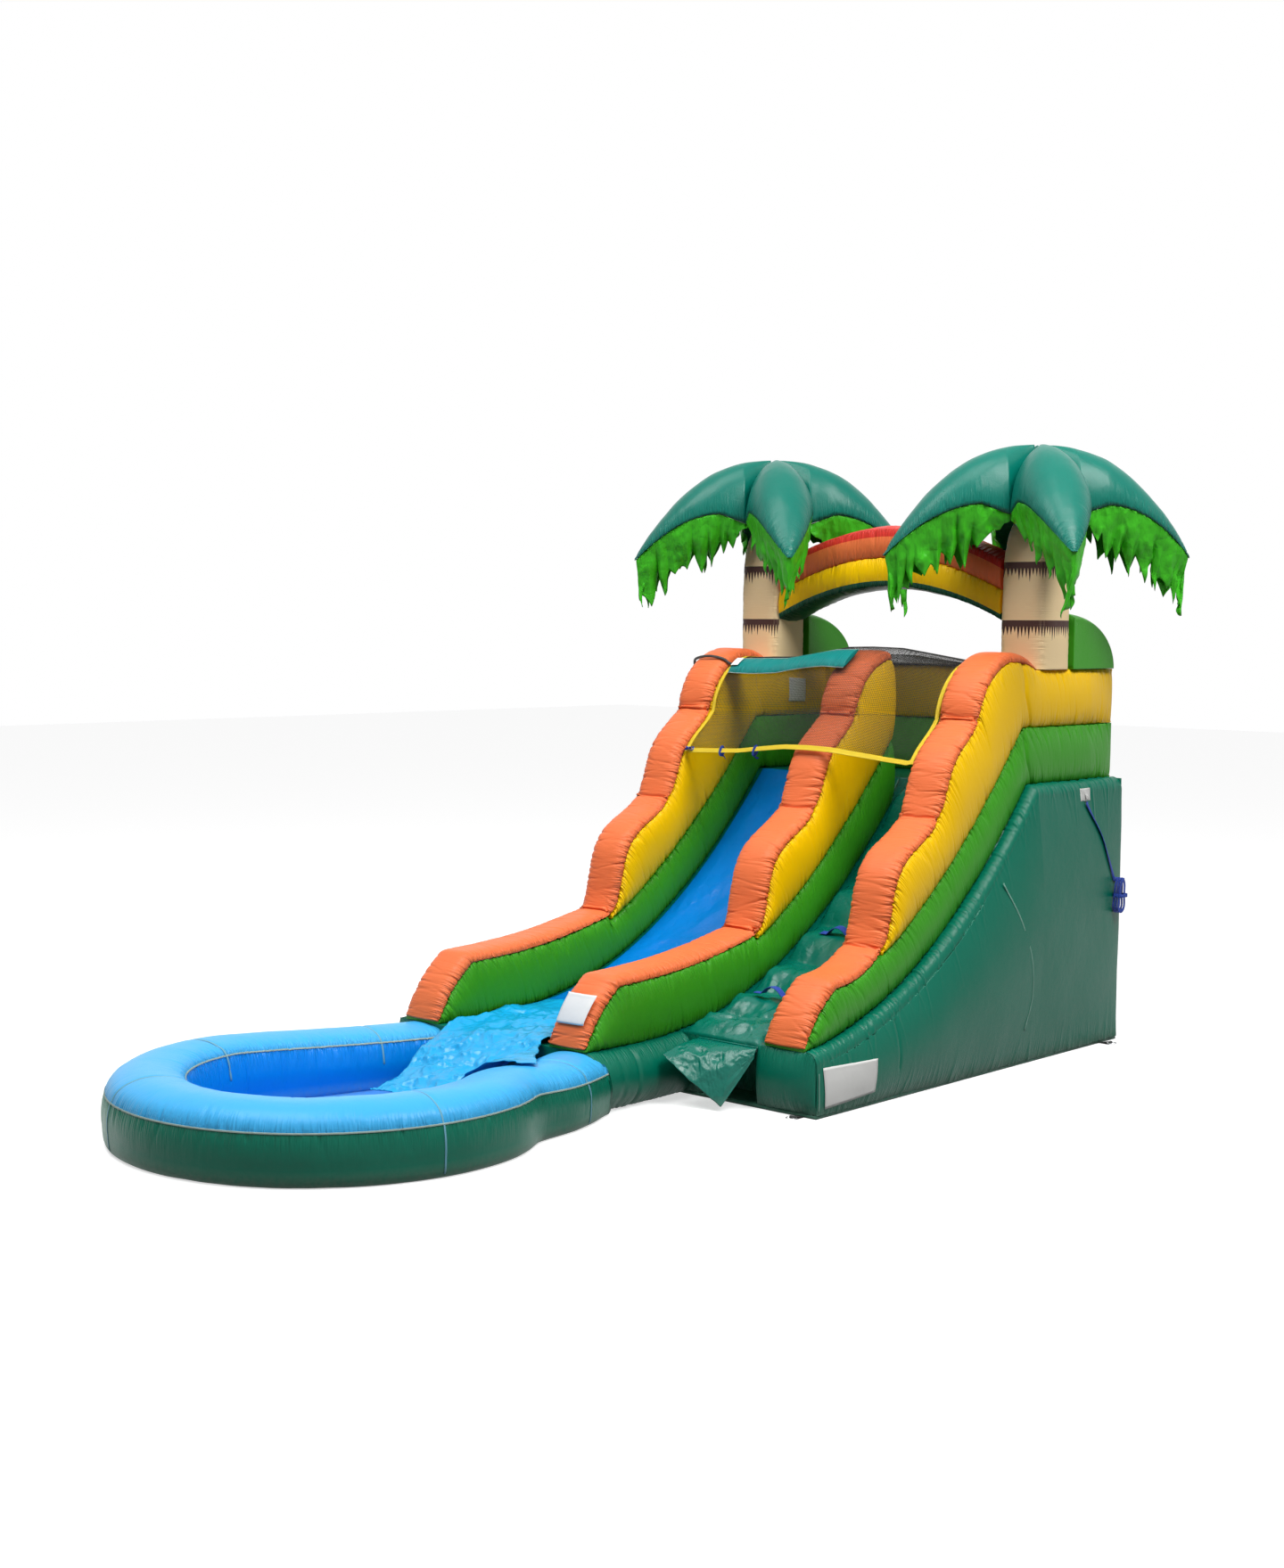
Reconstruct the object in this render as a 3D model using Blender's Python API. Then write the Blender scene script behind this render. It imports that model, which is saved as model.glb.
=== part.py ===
"""Inflatable water slide with a splash pool, two palms and a climbing lane.

Metres, +Z up. The origin is on the ground, in the middle of the base's width,
under the line through the two palm trunks. The pool lies towards -Y, the climbing
lane towards +X. A "run" is a distance forward from the rear face of the base.
"""

import math

import bmesh
import bpy
import numpy as np
from mathutils import Matrix, Vector

# Fits
SEAM_GAP = 0.0003  # between pieces that are sewn or rest together
CUT_OVERRUN = 0.05  # how far a cutter stands past what it cuts

# Ground plan
PALM_SETBACK = 0.72  # rear face to the line through the palms
WALL_WIDTH = 0.345
SLIDE_LANE = 0.861
CLIMB_LANE = 0.573
BASE_LEDGE = 0.052  # the base stands this far out past a side wall
LONG_WALL = 3.98  # run of the left and centre walls' tips
BASE_RUN = 3.20  # rear face to the front of the main base, where the right wall ends

# Slide curve
PLATFORM_HEIGHT = 1.72
PLATFORM_RUN = 1.03  # rear face to the crest of the slide
RUNOUT_HEIGHT = 0.34
RUNOUT_RUN = 3.60  # where the slide becomes level
BED_POWER = 2.2  # steepness of the slide's curve

# Side walls, as heights of their seams
GREEN_TUBE = 0.36
YELLOW_TUBE = 0.354
SIDE_BULGE = 0.025  # each side of a tube swells this much past its seams
SEAM_BEND_RUN = 1.073
SEAM_SAG = 0.125
JUNCTION_RUN = 2.53  # where the yellow tube ends between green and orange
JUNCTION_HEIGHT = 0.80
CAP_START_RUN = 0.925
CREST_RUN = 1.18
CREST_RISE = 0.05  # of the cap's crest over the platform walls
CENTRE_WALL_RUN = 1.17  # rear end of the centre wall

# Waists of the orange cap, and how far it swells between them
WAIST_1_RUN = 1.54
WAIST_1_HEIGHT = 2.14
WAIST_2_RUN = 1.95
WAIST_2_HEIGHT = 1.57
WAIST_3_RUN = 2.49
WAIST_3_HEIGHT = 0.85
SWELL_1 = 0.088
SWELL_2 = 0.062
SWELL_3 = 0.128
TAIL_SAG = 0.04
SHOULDER_HEIGHT = 0.68
SHOULDER_SETBACK = 0.27  # tip to shoulder
NOSE_SWELL = 0.025
TIP_THICKNESS = 0.02
CAP_CROWN = 0.07
CAP_WAIST_SHARE = 0.6  # crown left at a waist
CAP_END_SHARE = 0.35  # crown left at either end

# Base
SHEET = 0.03  # thickness of a base panel
FLOOR_SHEET = 0.02
BED_SHEET = 0.05
PANEL_BULGE = 0.05
EXIT_BULGE = 0.11  # the exit chamber stands out past the centre wall
RECESS_DEPTH = 0.25  # under the foot of the climbing lane
RECESS_SLANT = 0.03
FORMER_SHEET = 0.02
VENT_RADIUS = 0.12
STEP_COUNT = 7
STEP_RISE = 0.085
STEP_MARGIN = 0.03

# Palms
TRUNK_DEPTH = 0.36
CANOPY_UNDER = 3.39
CANOPY_TOP = 3.84
TIP_HEIGHT = 3.14
FROND_REACH = 0.97
FROND_HALF_WIDTH = 0.225
FROND_WIDEST = 0.30
FROND_ARCH = 0.09
FROND_BELLY = 0.025
BUTTRESS_RISE = 0.36
FRINGE_NOTCH = 0.20
FRINGE_DROP = 0.27
FRINGE_TIP_DROP = 0.36
FRINGE_SHEET = 0.005
FRINGE_INSET = 0.012
FRINGE_REST = 0.0008

# Arch
ARCH_END_DROP = 0.645  # canopy's underside to the lower edge of the arch at the trunks
ARCH_RISE = 0.215
ARCH_TUBE = 0.19
ARCH_DEPTH = 0.30
ARCH_BULGE = 0.02

# Roof net
NET_SHEET = 0.004
NET_STRAND = 0.022
NET_FRONT_RUN = 1.81
NET_LIFT = 0.105  # over the middle of the cap line
NET_MARGIN = 0.0005
WEBBING_WIDTH = 0.045
WEBBING_SHEET = 0.003

# Pool
POOL_RADIUS = 0.95  # centreline of the ring
POOL_CENTRE_RUN = 5.21
POOL_OFFSET = 0.41  # the pool's centre lies this far left of the base's middle
RING_HALF_WIDTH = 0.23
RING_HEIGHT = 0.385
NECK_HEIGHT = 0.335
POOL_FLOOR_SHEET = 0.02
POOL_FLOOR_REST = 0.0007

# Slide liner and flap
LINER_SHEET = 0.006
LINER_MARGIN = 0.006
APRON_REACH = 0.95
APRON_MARGIN = 0.045
APRON_TAPER = 0.17
FLAP_DROP = 0.315
FLAP_SHORT_DROP = 0.07
FLAP_SHEET = 0.005
FLAP_HEM = 0.006
FLAP_FOLD = 0.022
FLAP_SIDE_GAP = 0.012
HANDLE_WIDTH = 0.05
HANDLE_LENGTH = 0.26
HANDLE_SHEET = 0.004
HANDLE_LIFT = 0.045

# Spray line
HOSE_RADIUS = 0.009
HOSE_REST = 0.0009
HOSE_FALL = 0.17  # from the wall's cap down to the coupling
NUT_RADIUS = 0.019
NUT_LENGTH = 0.030
NUT_CLEARANCE = 0.0005
NUT_GRIP = 0.0015
NUT_THREAD = 0.013
NUT_THREAD_DEPTH = 0.014
SLEEVE_WIDTH = 0.125
SLEEVE_THICKNESS = 0.030
SLEEVE_RUN = 1.36
SLEEVE_REST = 0.0009
SLEEVE_MARGIN = 0.004

# Tethers and anchors
PATCH_WIDTH = 0.12
PATCH_TALL = 0.08
PATCH_SHEET = 0.006
PATCH_RUN = 0.47
PATCH_DROP = 0.08  # platform to the middle of the patch
PATCH_REST = 0.0002
LOOP_WIDTH = 0.030
LOOP_TALL = 0.045
LOOP_THICKNESS = 0.020
STRAP_RADIUS = 0.008
STRAP_REST = 0.003
HANK_TURNS = 3
HANK_PITCH = 0.0185
HANK_HALF_HEIGHT = 0.105
HANK_HALF_WIDTH = 0.058
HANK_WAIST_SHARE = 0.38
HANK_CLIMB_SHARE = 0.55  # share of a turn after which it steps outward
HANK_STEP_SHARE = 0.4  # share of a turn that the step takes
HANK_RUN = 0.085
HANK_DROP = 0.675  # patch to the middle of the hank
TAB_LENGTH = 0.07
TAB_WIDTH = 0.045
TAB_SHEET = 0.006
EYE_OUTER = 0.010
EYE_INNER = 0.0036
RING_WIRE = 0.0030
RING_WIDTH = 0.062
RING_DEPTH = 0.045

# Rear fittings
BLOWER_TUBE_RADIUS = 0.125
BLOWER_TUBE_LENGTH = 0.30
BLOWER_TUBE_SHEET = 0.008
BLOWER_OFFSET = 0.72
ZIP_LENGTH = 0.50
ZIP_WIDTH = 0.045
ZIP_SHEET = 0.002
ZIP_HEIGHT = 0.22
ZIP_OFFSET = 0.55
BEAD_WIDTH = 0.008
BEAD_HEIGHT = 0.004
SLIDER_LENGTH = 0.030
SLIDER_WIDTH = 0.018
SLIDER_DEPTH = 0.008
SLIDER_CLEARANCE = 0.0005
PULL_LENGTH = 0.050
PULL_WIDTH = 0.010
PULL_SHEET = 0.002

# Places that follow from the sizes above
HALF_WALL = WALL_WIDTH / 2
HALF_SEAM = HALF_WALL - SIDE_BULGE
BASE_WIDTH = 2 * BASE_LEDGE + 3 * WALL_WIDTH + SLIDE_LANE + CLIMB_LANE
HALF_BASE = BASE_WIDTH / 2
RIGHT_WALL_X = HALF_BASE - BASE_LEDGE - HALF_WALL
LEFT_WALL_X = -RIGHT_WALL_X
CENTRE_WALL_X = LEFT_WALL_X + WALL_WIDTH + SLIDE_LANE
INNER_X = RIGHT_WALL_X - HALF_WALL  # inner faces of the side walls
GREEN_TOP = PLATFORM_HEIGHT + GREEN_TUBE
WALL_TOP = GREEN_TOP + YELLOW_TUBE
INNER_BASE = HALF_BASE - SHEET - SEAM_GAP
BED_SPLIT = CENTRE_WALL_X + (HALF_WALL + HALF_SEAM) / 2
PATCH_HEIGHT = PLATFORM_HEIGHT - PATCH_DROP
HANK_HEIGHT = PATCH_HEIGHT - HANK_DROP


# Colours of the coated fabric and the fittings, as base colour, roughness and metal
FINISHES = {
    "orange_vinyl": ((0.85, 0.20, 0.07), 0.38, 0.0),
    "yellow_vinyl": ((0.87, 0.52, 0.0), 0.36, 0.0),
    "green_vinyl": ((0.06, 0.30, 0.02), 0.36, 0.0),
    "dark_green_vinyl": ((0.0, 0.13, 0.08), 0.38, 0.0),
    "trunk_vinyl": ((0.83, 0.63, 0.36), 0.45, 0.0),
    "frond_vinyl": ((0.0, 0.17, 0.12), 0.30, 0.0),
    "fringe_vinyl": ((0.03, 0.33, 0.02), 0.45, 0.0),
    "blue_vinyl": ((0.02, 0.35, 0.80), 0.30, 0.0),
    "net_mesh": ((0.02, 0.02, 0.02), 0.70, 0.0),
    "yellow_webbing": ((0.80, 0.62, 0.02), 0.60, 0.0),
    "blue_webbing": ((0.02, 0.06, 0.35), 0.60, 0.0),
    "white_webbing": ((0.80, 0.80, 0.80), 0.60, 0.0),
    "teal_vinyl": ((0.01, 0.30, 0.27), 0.40, 0.0),
    "black_rubber": ((0.02, 0.02, 0.02), 0.50, 0.0),
    "blue_plastic": ((0.02, 0.12, 0.45), 0.35, 0.0),
    "zip_tape": ((0.03, 0.03, 0.03), 0.60, 0.0),
    "plated_steel": ((0.60, 0.60, 0.62), 0.25, 1.0),
}


def y_at(run):
    """The y coordinate of a distance forward from the rear face."""
    return PALM_SETBACK - run


def finish_material(name):
    """The material of that name, made once."""
    found = bpy.data.materials.get(name)
    if found:
        return found
    colour, roughness, metal = FINISHES[name]
    material = bpy.data.materials.new(name)
    material.use_nodes = True
    shader = material.node_tree.nodes["Principled BSDF"]
    shader.inputs["Base Color"].default_value = (*colour, 1.0)
    shader.inputs["Roughness"].default_value = roughness
    shader.inputs["Metallic"].default_value = metal
    material.diffuse_color = (*colour, 1.0)
    return material


def add_object(name, work, finish, origin=(0.0, 0.0, 0.0), smooth_angle=50):
    """Put a bmesh into the scene as one named, outward-facing, shaded object."""
    bmesh.ops.recalc_face_normals(work, faces=work.faces[:])
    bmesh.ops.translate(work, verts=work.verts[:], vec=-Vector(origin))
    mesh = bpy.data.meshes.new(name)
    work.to_mesh(mesh)
    work.free()
    mesh.materials.append(finish_material(finish))
    mesh.shade_smooth()
    mesh.set_sharp_from_angle(angle=math.radians(smooth_angle))
    item = bpy.data.objects.new(name, mesh)
    item.location = origin
    bpy.context.scene.collection.objects.link(item)
    return item


def hide_cutter(item):
    """Keep a cutter or a shape to be joined out of the build."""
    item.hide_render = True
    item.display_type = "WIRE"
    return item


def add_boolean(item, tool, operation):
    """Cut or join another shape with the exact solver."""
    step = item.modifiers.new(operation.lower(), "BOOLEAN")
    step.operation = operation
    step.solver = "EXACT"
    step.object = tool
    hide_cutter(tool)


def loft(rings, closed=False):
    """A solid through a row of rings with equal counts of points."""
    work = bmesh.new()
    rows = [[work.verts.new(point) for point in ring] for ring in rings]
    pairs = list(zip(rows, rows[1:]))
    if closed:
        pairs.append((rows[-1], rows[0]))
    for near, far in pairs:
        count = len(near)
        for i in range(count):
            j = (i + 1) % count
            work.faces.new((near[i], near[j], far[j], far[i]))
    if not closed:
        work.faces.new(rows[0])
        work.faces.new(rows[-1])
    return work


def plate(outline, thickness_vector):
    """A flat outline pushed along a vector into a closed plate."""
    work = bmesh.new()
    lower = [work.verts.new(point) for point in outline]
    face = work.faces.new(lower)
    pushed = bmesh.ops.extrude_face_region(work, geom=[face], use_keep_orig=True)
    moved = [part for part in pushed["geom"] if isinstance(part, bmesh.types.BMVert)]
    bmesh.ops.translate(work, verts=moved, vec=Vector(thickness_vector))
    return work


def sheet_between(upper, lower):
    """A closed sheet between two grids of points of the same shape."""
    work = bmesh.new()
    rows = len(upper)
    columns = len(upper[0])
    top = [[work.verts.new(point) for point in row] for row in upper]
    bottom = [[work.verts.new(point) for point in row] for row in lower]
    for i in range(rows - 1):
        for j in range(columns - 1):
            work.faces.new((top[i][j], top[i][j + 1], top[i + 1][j + 1], top[i + 1][j]))
            work.faces.new((bottom[i][j], bottom[i + 1][j], bottom[i + 1][j + 1], bottom[i][j + 1]))
    for i in range(rows - 1):
        for j in (0, columns - 1):
            work.faces.new((top[i][j], top[i + 1][j], bottom[i + 1][j], bottom[i][j]))
    for j in range(columns - 1):
        for i in (0, rows - 1):
            work.faces.new((top[i][j], top[i][j + 1], bottom[i][j + 1], bottom[i][j]))
    return work


def smooth_path(points, spans):
    """A Catmull-Rom curve through open control points, with so many spans between two."""
    given = np.array(points, float)
    ends = (2 * given[0] - given[1], 2 * given[-1] - given[-2])
    knots = np.vstack([ends[0], given, ends[1]])
    found = []
    for i in range(1, len(knots) - 2):
        a, b, c, d = knots[i - 1], knots[i], knots[i + 1], knots[i + 2]
        for t in np.arange(spans) / spans:
            bend = (2 * a - 5 * b + 4 * c - d) * t**2 + (3 * b - a - 3 * c + d) * t**3
            found.append(b + (c - a) * t / 2 + bend / 2)
    found.append(given[-1])
    return np.array(found)


def led_path(points, spans):
    """A smooth curve whose first and last segments stay straight, square to what they meet."""
    return np.vstack([points[0], smooth_path(points[1:-1], spans), points[-1]])


def tube_object(name, path, radius, finish, resolution=3):
    """A round tube with filled caps along a row of points."""
    curve = bpy.data.curves.new(name, "CURVE")
    curve.dimensions = "3D"
    curve.bevel_depth = radius
    curve.bevel_resolution = resolution
    curve.use_fill_caps = True
    spline = curve.splines.new("POLY")
    spline.points.add(len(path) - 1)
    for slot, point in zip(spline.points, path):
        slot.co = (*point, 1.0)
    curve.materials.append(finish_material(finish))
    item = bpy.data.objects.new(name, curve)
    bpy.context.scene.collection.objects.link(item)
    return item


# Lines of the side walls, as heights over a run
def bed_curve(run):
    """Height of the slide's bed: level platform, a falling power curve, level run-out."""
    fall = np.clip((np.asarray(run, float) - PLATFORM_RUN) / (RUNOUT_RUN - PLATFORM_RUN), 0, 1)
    return RUNOUT_HEIGHT + (PLATFORM_HEIGHT - RUNOUT_HEIGHT) * (1 - fall) ** BED_POWER


def swollen_span(start, end, swell, power, shares):
    """Points between two waists, pushed out square to the span; a high power narrows the swell."""
    start = np.array(start)
    end = np.array(end)
    along = end - start
    across = np.array([-along[1], along[0]]) / np.hypot(*along)
    offset = swell * np.sin(math.pi * np.array(shares)) ** power
    return start + np.outer(shares, along) + np.outer(offset, across)


ROUND_SWELL_POWER = 0.7
NARROW_SWELL_POWER = 2.0
CREST_SHARES = (0.5,)
WAIST_SHARES = (0.16, 0.36, 0.58, 0.8)
TAIL_SHARES = (0.12, 0.35, 0.65)
NOSE_SHARES = (0.3, 0.65)


def cap_line(tip_run):
    """Runs and heights of the seam under the orange cap, from trunk to tip, and its crown shares."""
    start = (CAP_START_RUN, WALL_TOP)
    crest = (CREST_RUN, WALL_TOP + CREST_RISE)
    waist_1 = (WAIST_1_RUN, WAIST_1_HEIGHT)
    waist_2 = (WAIST_2_RUN, WAIST_2_HEIGHT)
    waist_3 = (WAIST_3_RUN, WAIST_3_HEIGHT)
    shoulder = (tip_run - SHOULDER_SETBACK, SHOULDER_HEIGHT)
    tip = (tip_run, float(bed_curve(tip_run)) + TIP_THICKNESS)
    waist = CAP_WAIST_SHARE
    spans = [
        (start, crest, CREST_RISE / 3, 1.0, CREST_SHARES, CAP_END_SHARE, 1.0),
        (crest, waist_1, SWELL_1, ROUND_SWELL_POWER, WAIST_SHARES, 1.0, waist),
        (waist_1, waist_2, SWELL_2, NARROW_SWELL_POWER, WAIST_SHARES, waist, waist),
        (waist_2, waist_3, SWELL_3, NARROW_SWELL_POWER, WAIST_SHARES, waist, waist),
        (waist_3, shoulder, -TAIL_SAG, 1.0, TAIL_SHARES, waist, 1.0),
        (shoulder, tip, NOSE_SWELL, 1.0, NOSE_SHARES, 1.0, CAP_END_SHARE),
    ]
    points = []
    crowns = []
    for first, last, swell, power, shares, crown_in, crown_out in spans:
        points.append(np.array([first]))
        crowns.append(crown_in)
        points.append(swollen_span(first, last, swell, power, shares))
        crowns.extend(
            max(1.0 - (1.0 - crown_in) * (1 - t) ** 3, 0) - (1.0 - crown_out) * t**3 for t in shares
        )
    points.append(np.array([tip]))
    crowns.append(CAP_END_SHARE)
    return np.vstack(points), np.array(crowns)


def seam_curve(run):
    """Height of the green and yellow seam: level, then a sagging line down to the junction."""
    share = np.clip((np.asarray(run, float) - SEAM_BEND_RUN) / (JUNCTION_RUN - SEAM_BEND_RUN), 0, 1)
    drop = (GREEN_TOP - JUNCTION_HEIGHT) * share + 4 * SEAM_SAG * share * (1 - share)
    return GREEN_TOP - drop


LONG_LINE, LONG_CROWNS = cap_line(LONG_WALL)
SHORT_LINE, SHORT_CROWNS = cap_line(BASE_RUN)
REAR_RUNS = (0.0, CAP_START_RUN / 2, CAP_START_RUN)
STATIONS = np.unique(np.round(np.concatenate([REAR_RUNS, [PLATFORM_RUN], LONG_LINE[:, 0]]), 6))


def bed_height(run):
    """The bed's height on the straight lines between the shared stations."""
    return np.interp(run, STATIONS, bed_curve(STATIONS))


def stations_between(start, end, more=()):
    """Every shared station between two runs, with the ends and any further ones."""
    inside = STATIONS[(STATIONS > start) & (STATIONS < end)]
    extra = [run for run in more if start < run < end]
    return np.unique(np.round(np.concatenate([[start], inside, extra, [end]]), 6))


TUBE_SHARES = (0.0, 0.27, 0.73, 1.0)


def tube_swell(share):
    """Share of a tube's bulge at a share of its height."""
    return min(math.sin(math.pi * share) / math.sin(math.pi * TUBE_SHARES[1]), 1.0)


def tube_ring(x, run, low, high, half=HALF_SEAM, bulge=SIDE_BULGE):
    """A standing section of a wall tube: flat seams below and above, swollen sides."""
    right = [
        (x + half + bulge * tube_swell(t), y_at(run), low + (high - low) * t)
        for t in TUBE_SHARES
    ]
    left = [(2 * x - px, py, pz) for px, py, pz in reversed(right)]
    return right + left


def wall_green(name, x, line, start):
    """The lower tube of a side wall, on the bed, out to the wall's tip."""
    tip = line[-1, 0]
    rings = []
    for run in stations_between(start, tip, line[:, 0]):
        low = bed_height(run) + SEAM_GAP
        high = seam_curve(run) if run < JUNCTION_RUN else np.interp(run, *line.T)
        rings.append(tube_ring(x, run, low, high))
    add_object(name, loft(rings), "green_vinyl")


def wall_yellow(name, x, line, start):
    """The middle tube of a side wall, which runs out in a wedge at the junction."""
    rings = []
    for run in stations_between(start, WAIST_3_RUN, line[:, 0]):
        low = seam_curve(run) + SEAM_GAP
        high = WALL_TOP if run <= CAP_START_RUN else np.interp(run, *line.T)
        rings.append(tube_ring(x, run, low, high))
    add_object(name, loft(rings), "yellow_vinyl")


CROWN_SHARES = (1.0, 0.9, 0.5, 0.0, -0.5, -0.9, -1.0)


def crown_height(across):
    """Share of a cap's crown at a share of its half width."""
    return max(1 - across**2, 0.0) ** 0.6


def line_normals(line):
    """Unit normals of a line of runs and heights, pointing up and forward."""
    slope = np.gradient(line, axis=0)
    across = np.stack([-slope[:, 1], slope[:, 0]], axis=1)
    return across / np.hypot(across[:, 0], across[:, 1])[:, None]


def wall_orange(name, x, line, crowns, start):
    """The crowned cap along the top of a side wall, drawn in at its waists."""
    rings = []
    normals = line_normals(line)
    for point, normal, crown in zip(line, normals, crowns):
        if point[0] < start:
            continue
        ring = []
        for across in CROWN_SHARES:
            rise = SEAM_GAP + CAP_CROWN * crown * crown_height(across)
            spot = point + normal * rise
            ring.append((x + HALF_SEAM * across, y_at(spot[0]), spot[1]))
        rings.append(ring)
    add_object(name, loft(rings), "orange_vinyl")


def build_walls():
    """Three walls of three tubes each."""
    walls = (
        ("left_wall", LEFT_WALL_X, LONG_LINE, LONG_CROWNS, 0.0, CAP_START_RUN),
        ("centre_wall", CENTRE_WALL_X, LONG_LINE, LONG_CROWNS, CENTRE_WALL_RUN, CREST_RUN),
        ("right_wall", RIGHT_WALL_X, SHORT_LINE, SHORT_CROWNS, 0.0, CAP_START_RUN),
    )
    for name, x, line, crowns, start, cap_start in walls:
        wall_green(f"{name}_green", x, line, start)
        wall_yellow(f"{name}_yellow", x, line, start)
        wall_orange(f"{name}_orange", x, line, crowns, cap_start)


def build_back_wall():
    """Two tubes across the back of the platform, between the side walls."""
    half = INNER_X - SEAM_GAP
    for name, low, high, finish in (
        ("back_wall_green", PLATFORM_HEIGHT, GREEN_TOP, "green_vinyl"),
        ("back_wall_yellow", GREEN_TOP, WALL_TOP, "yellow_vinyl"),
    ):
        rings = []
        for x in (-half, half):
            section = tube_ring(0.0, 0.0, low + SEAM_GAP, high)
            rings.append([(x, y_at(HALF_WALL) + px, pz) for px, py, pz in section])
        add_object(name, loft(rings), finish)


# The base: panels sewn round formers, with the air between them
def side_panel_x(run, height):
    """How far the side panel stands out, on its own grid of stations and rows."""
    swell = math.sin(math.pi * min(max(run / BASE_RUN, 0.0), 1.0)) ** 0.7
    share = height / bed_height(run)
    return HALF_BASE + PANEL_BULGE * swell * math.sin(math.pi * min(max(share, 0.0), 1.0))


PANEL_SHARES = (0.0, 0.2, 0.5, 0.8, 1.0)


def build_side_panels():
    """The bulging wedge-shaped sides of the base."""
    for name, side in (("base_left_panel", -1), ("base_right_panel", 1)):
        outer = []
        inner = []
        for run in stations_between(0.0, BASE_RUN):
            top = bed_height(run)
            bottom = FLOOR_SHEET + SEAM_GAP
            heights = [bottom + (top - bottom) * t for t in PANEL_SHARES]
            outer.append([(side * side_panel_x(run, z), y_at(run), z) for z in heights])
            inner.append([(side * (side_panel_x(run, z) - SHEET), y_at(run), z) for z in heights])
        add_object(name, sheet_between(outer, inner), "dark_green_vinyl")


def build_end_panels():
    """The flat rear panel with its air inlet, and the low panel across the front."""
    low = FLOOR_SHEET + SEAM_GAP
    high = PLATFORM_HEIGHT - BED_SHEET - SEAM_GAP
    outline = [
        (-INNER_BASE, y_at(0.0), low),
        (INNER_BASE, y_at(0.0), low),
        (INNER_BASE, y_at(0.0), high),
        (-INNER_BASE, y_at(0.0), high),
    ]
    rear = add_object("base_rear_panel", plate(outline, (0.0, -SHEET, 0.0)), "dark_green_vinyl")
    work = bmesh.new()
    turn = Matrix.Rotation(math.pi / 2, 4, "X")
    place = Matrix.Translation((BLOWER_OFFSET, y_at(SHEET / 2), BLOWER_TUBE_RADIUS + low))
    bmesh.ops.create_cone(
        work,
        cap_ends=True,
        segments=24,
        radius1=BLOWER_TUBE_RADIUS - BLOWER_TUBE_SHEET,
        radius2=BLOWER_TUBE_RADIUS - BLOWER_TUBE_SHEET,
        depth=SHEET + 2 * CUT_OVERRUN,
        matrix=place @ turn,
    )
    add_boolean(rear, add_object("air_inlet_cutter", work, "dark_green_vinyl"), "DIFFERENCE")
    build_front_panel()


def front_panel_line():
    """Places across the base's front, stepped back under the foot of the climbing lane."""
    lane_left = CENTRE_WALL_X + HALF_WALL + EXIT_BULGE + RECESS_SLANT
    lane_right = INNER_X - RECESS_SLANT
    back = BASE_RUN - RECESS_DEPTH
    return [
        (-INNER_BASE, BASE_RUN),
        (lane_left, BASE_RUN),
        (lane_left + RECESS_SLANT, back),
        (lane_right - RECESS_SLANT, back),
        (lane_right, BASE_RUN),
        (INNER_BASE, BASE_RUN),
    ]


def build_front_panel():
    """The low upright panel across the front of the base."""
    line = front_panel_line()
    rings = []
    for index, (x, run) in enumerate(line):
        ahead = line[min(index + 1, len(line) - 1)]
        behind = line[max(index - 1, 0)]
        slope = (ahead[1] - behind[1]) / (ahead[0] - behind[0])
        shift = 0.0 if index in (0, len(line) - 1) else SHEET * np.clip(slope, -1, 1) / 2
        low = FLOOR_SHEET + SEAM_GAP
        inner = run - SHEET
        high = bed_height(run) - BED_SHEET - SEAM_GAP
        inner_high = min(high, bed_height(inner) - BED_SHEET - SEAM_GAP)
        rings.append(
            [
                (x, y_at(run), low),
                (x + shift, y_at(inner), low),
                (x + shift, y_at(inner), inner_high),
                (x, y_at(run), high),
            ]
        )
    add_object("base_front_panel", loft(rings), "dark_green_vinyl")


def bed_ring(run, left, right, rise):
    """A section of a bed sheet with a raised middle."""
    top = bed_height(run)
    low = top - BED_SHEET
    y = y_at(run)
    if rise is None:
        return [(left, y, low), (right, y, low), (right, y, top), (left, y, top)]
    lane_left = CENTRE_WALL_X + HALF_WALL + SEAM_GAP
    lane_right = INNER_X - SEAM_GAP
    return [
        (left, y, low),
        (right, y, low),
        (right, y, top),
        (lane_right, y, top),
        (lane_right - STEP_MARGIN, y, top + rise),
        (lane_left + STEP_MARGIN, y, top + rise),
        (lane_left, y, top),
        (left, y, top),
    ]


STEP_SHARES = (0.2, 0.5, 0.8)


def step_runs():
    """Runs at which the climbing steps are drawn, and the run of one step."""
    pitch = (BASE_RUN - PLATFORM_RUN) / STEP_COUNT
    runs = []
    for index in range(STEP_COUNT):
        start = PLATFORM_RUN + index * pitch
        runs.extend([start] + [start + pitch * t for t in STEP_SHARES])
    return runs, pitch


def step_rise(run):
    """Height of the climbing steps over the bed: round ridges, fullest to the front."""
    _, pitch = step_runs()
    share = ((run - PLATFORM_RUN) / pitch) % 1.0
    ends = min((run - PLATFORM_RUN) / pitch, (BASE_RUN - run) / pitch, 1.0)
    if ends < 1e-4:
        return 0.0
    return STEP_RISE * math.sin(math.pi * share**1.4)


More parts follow.
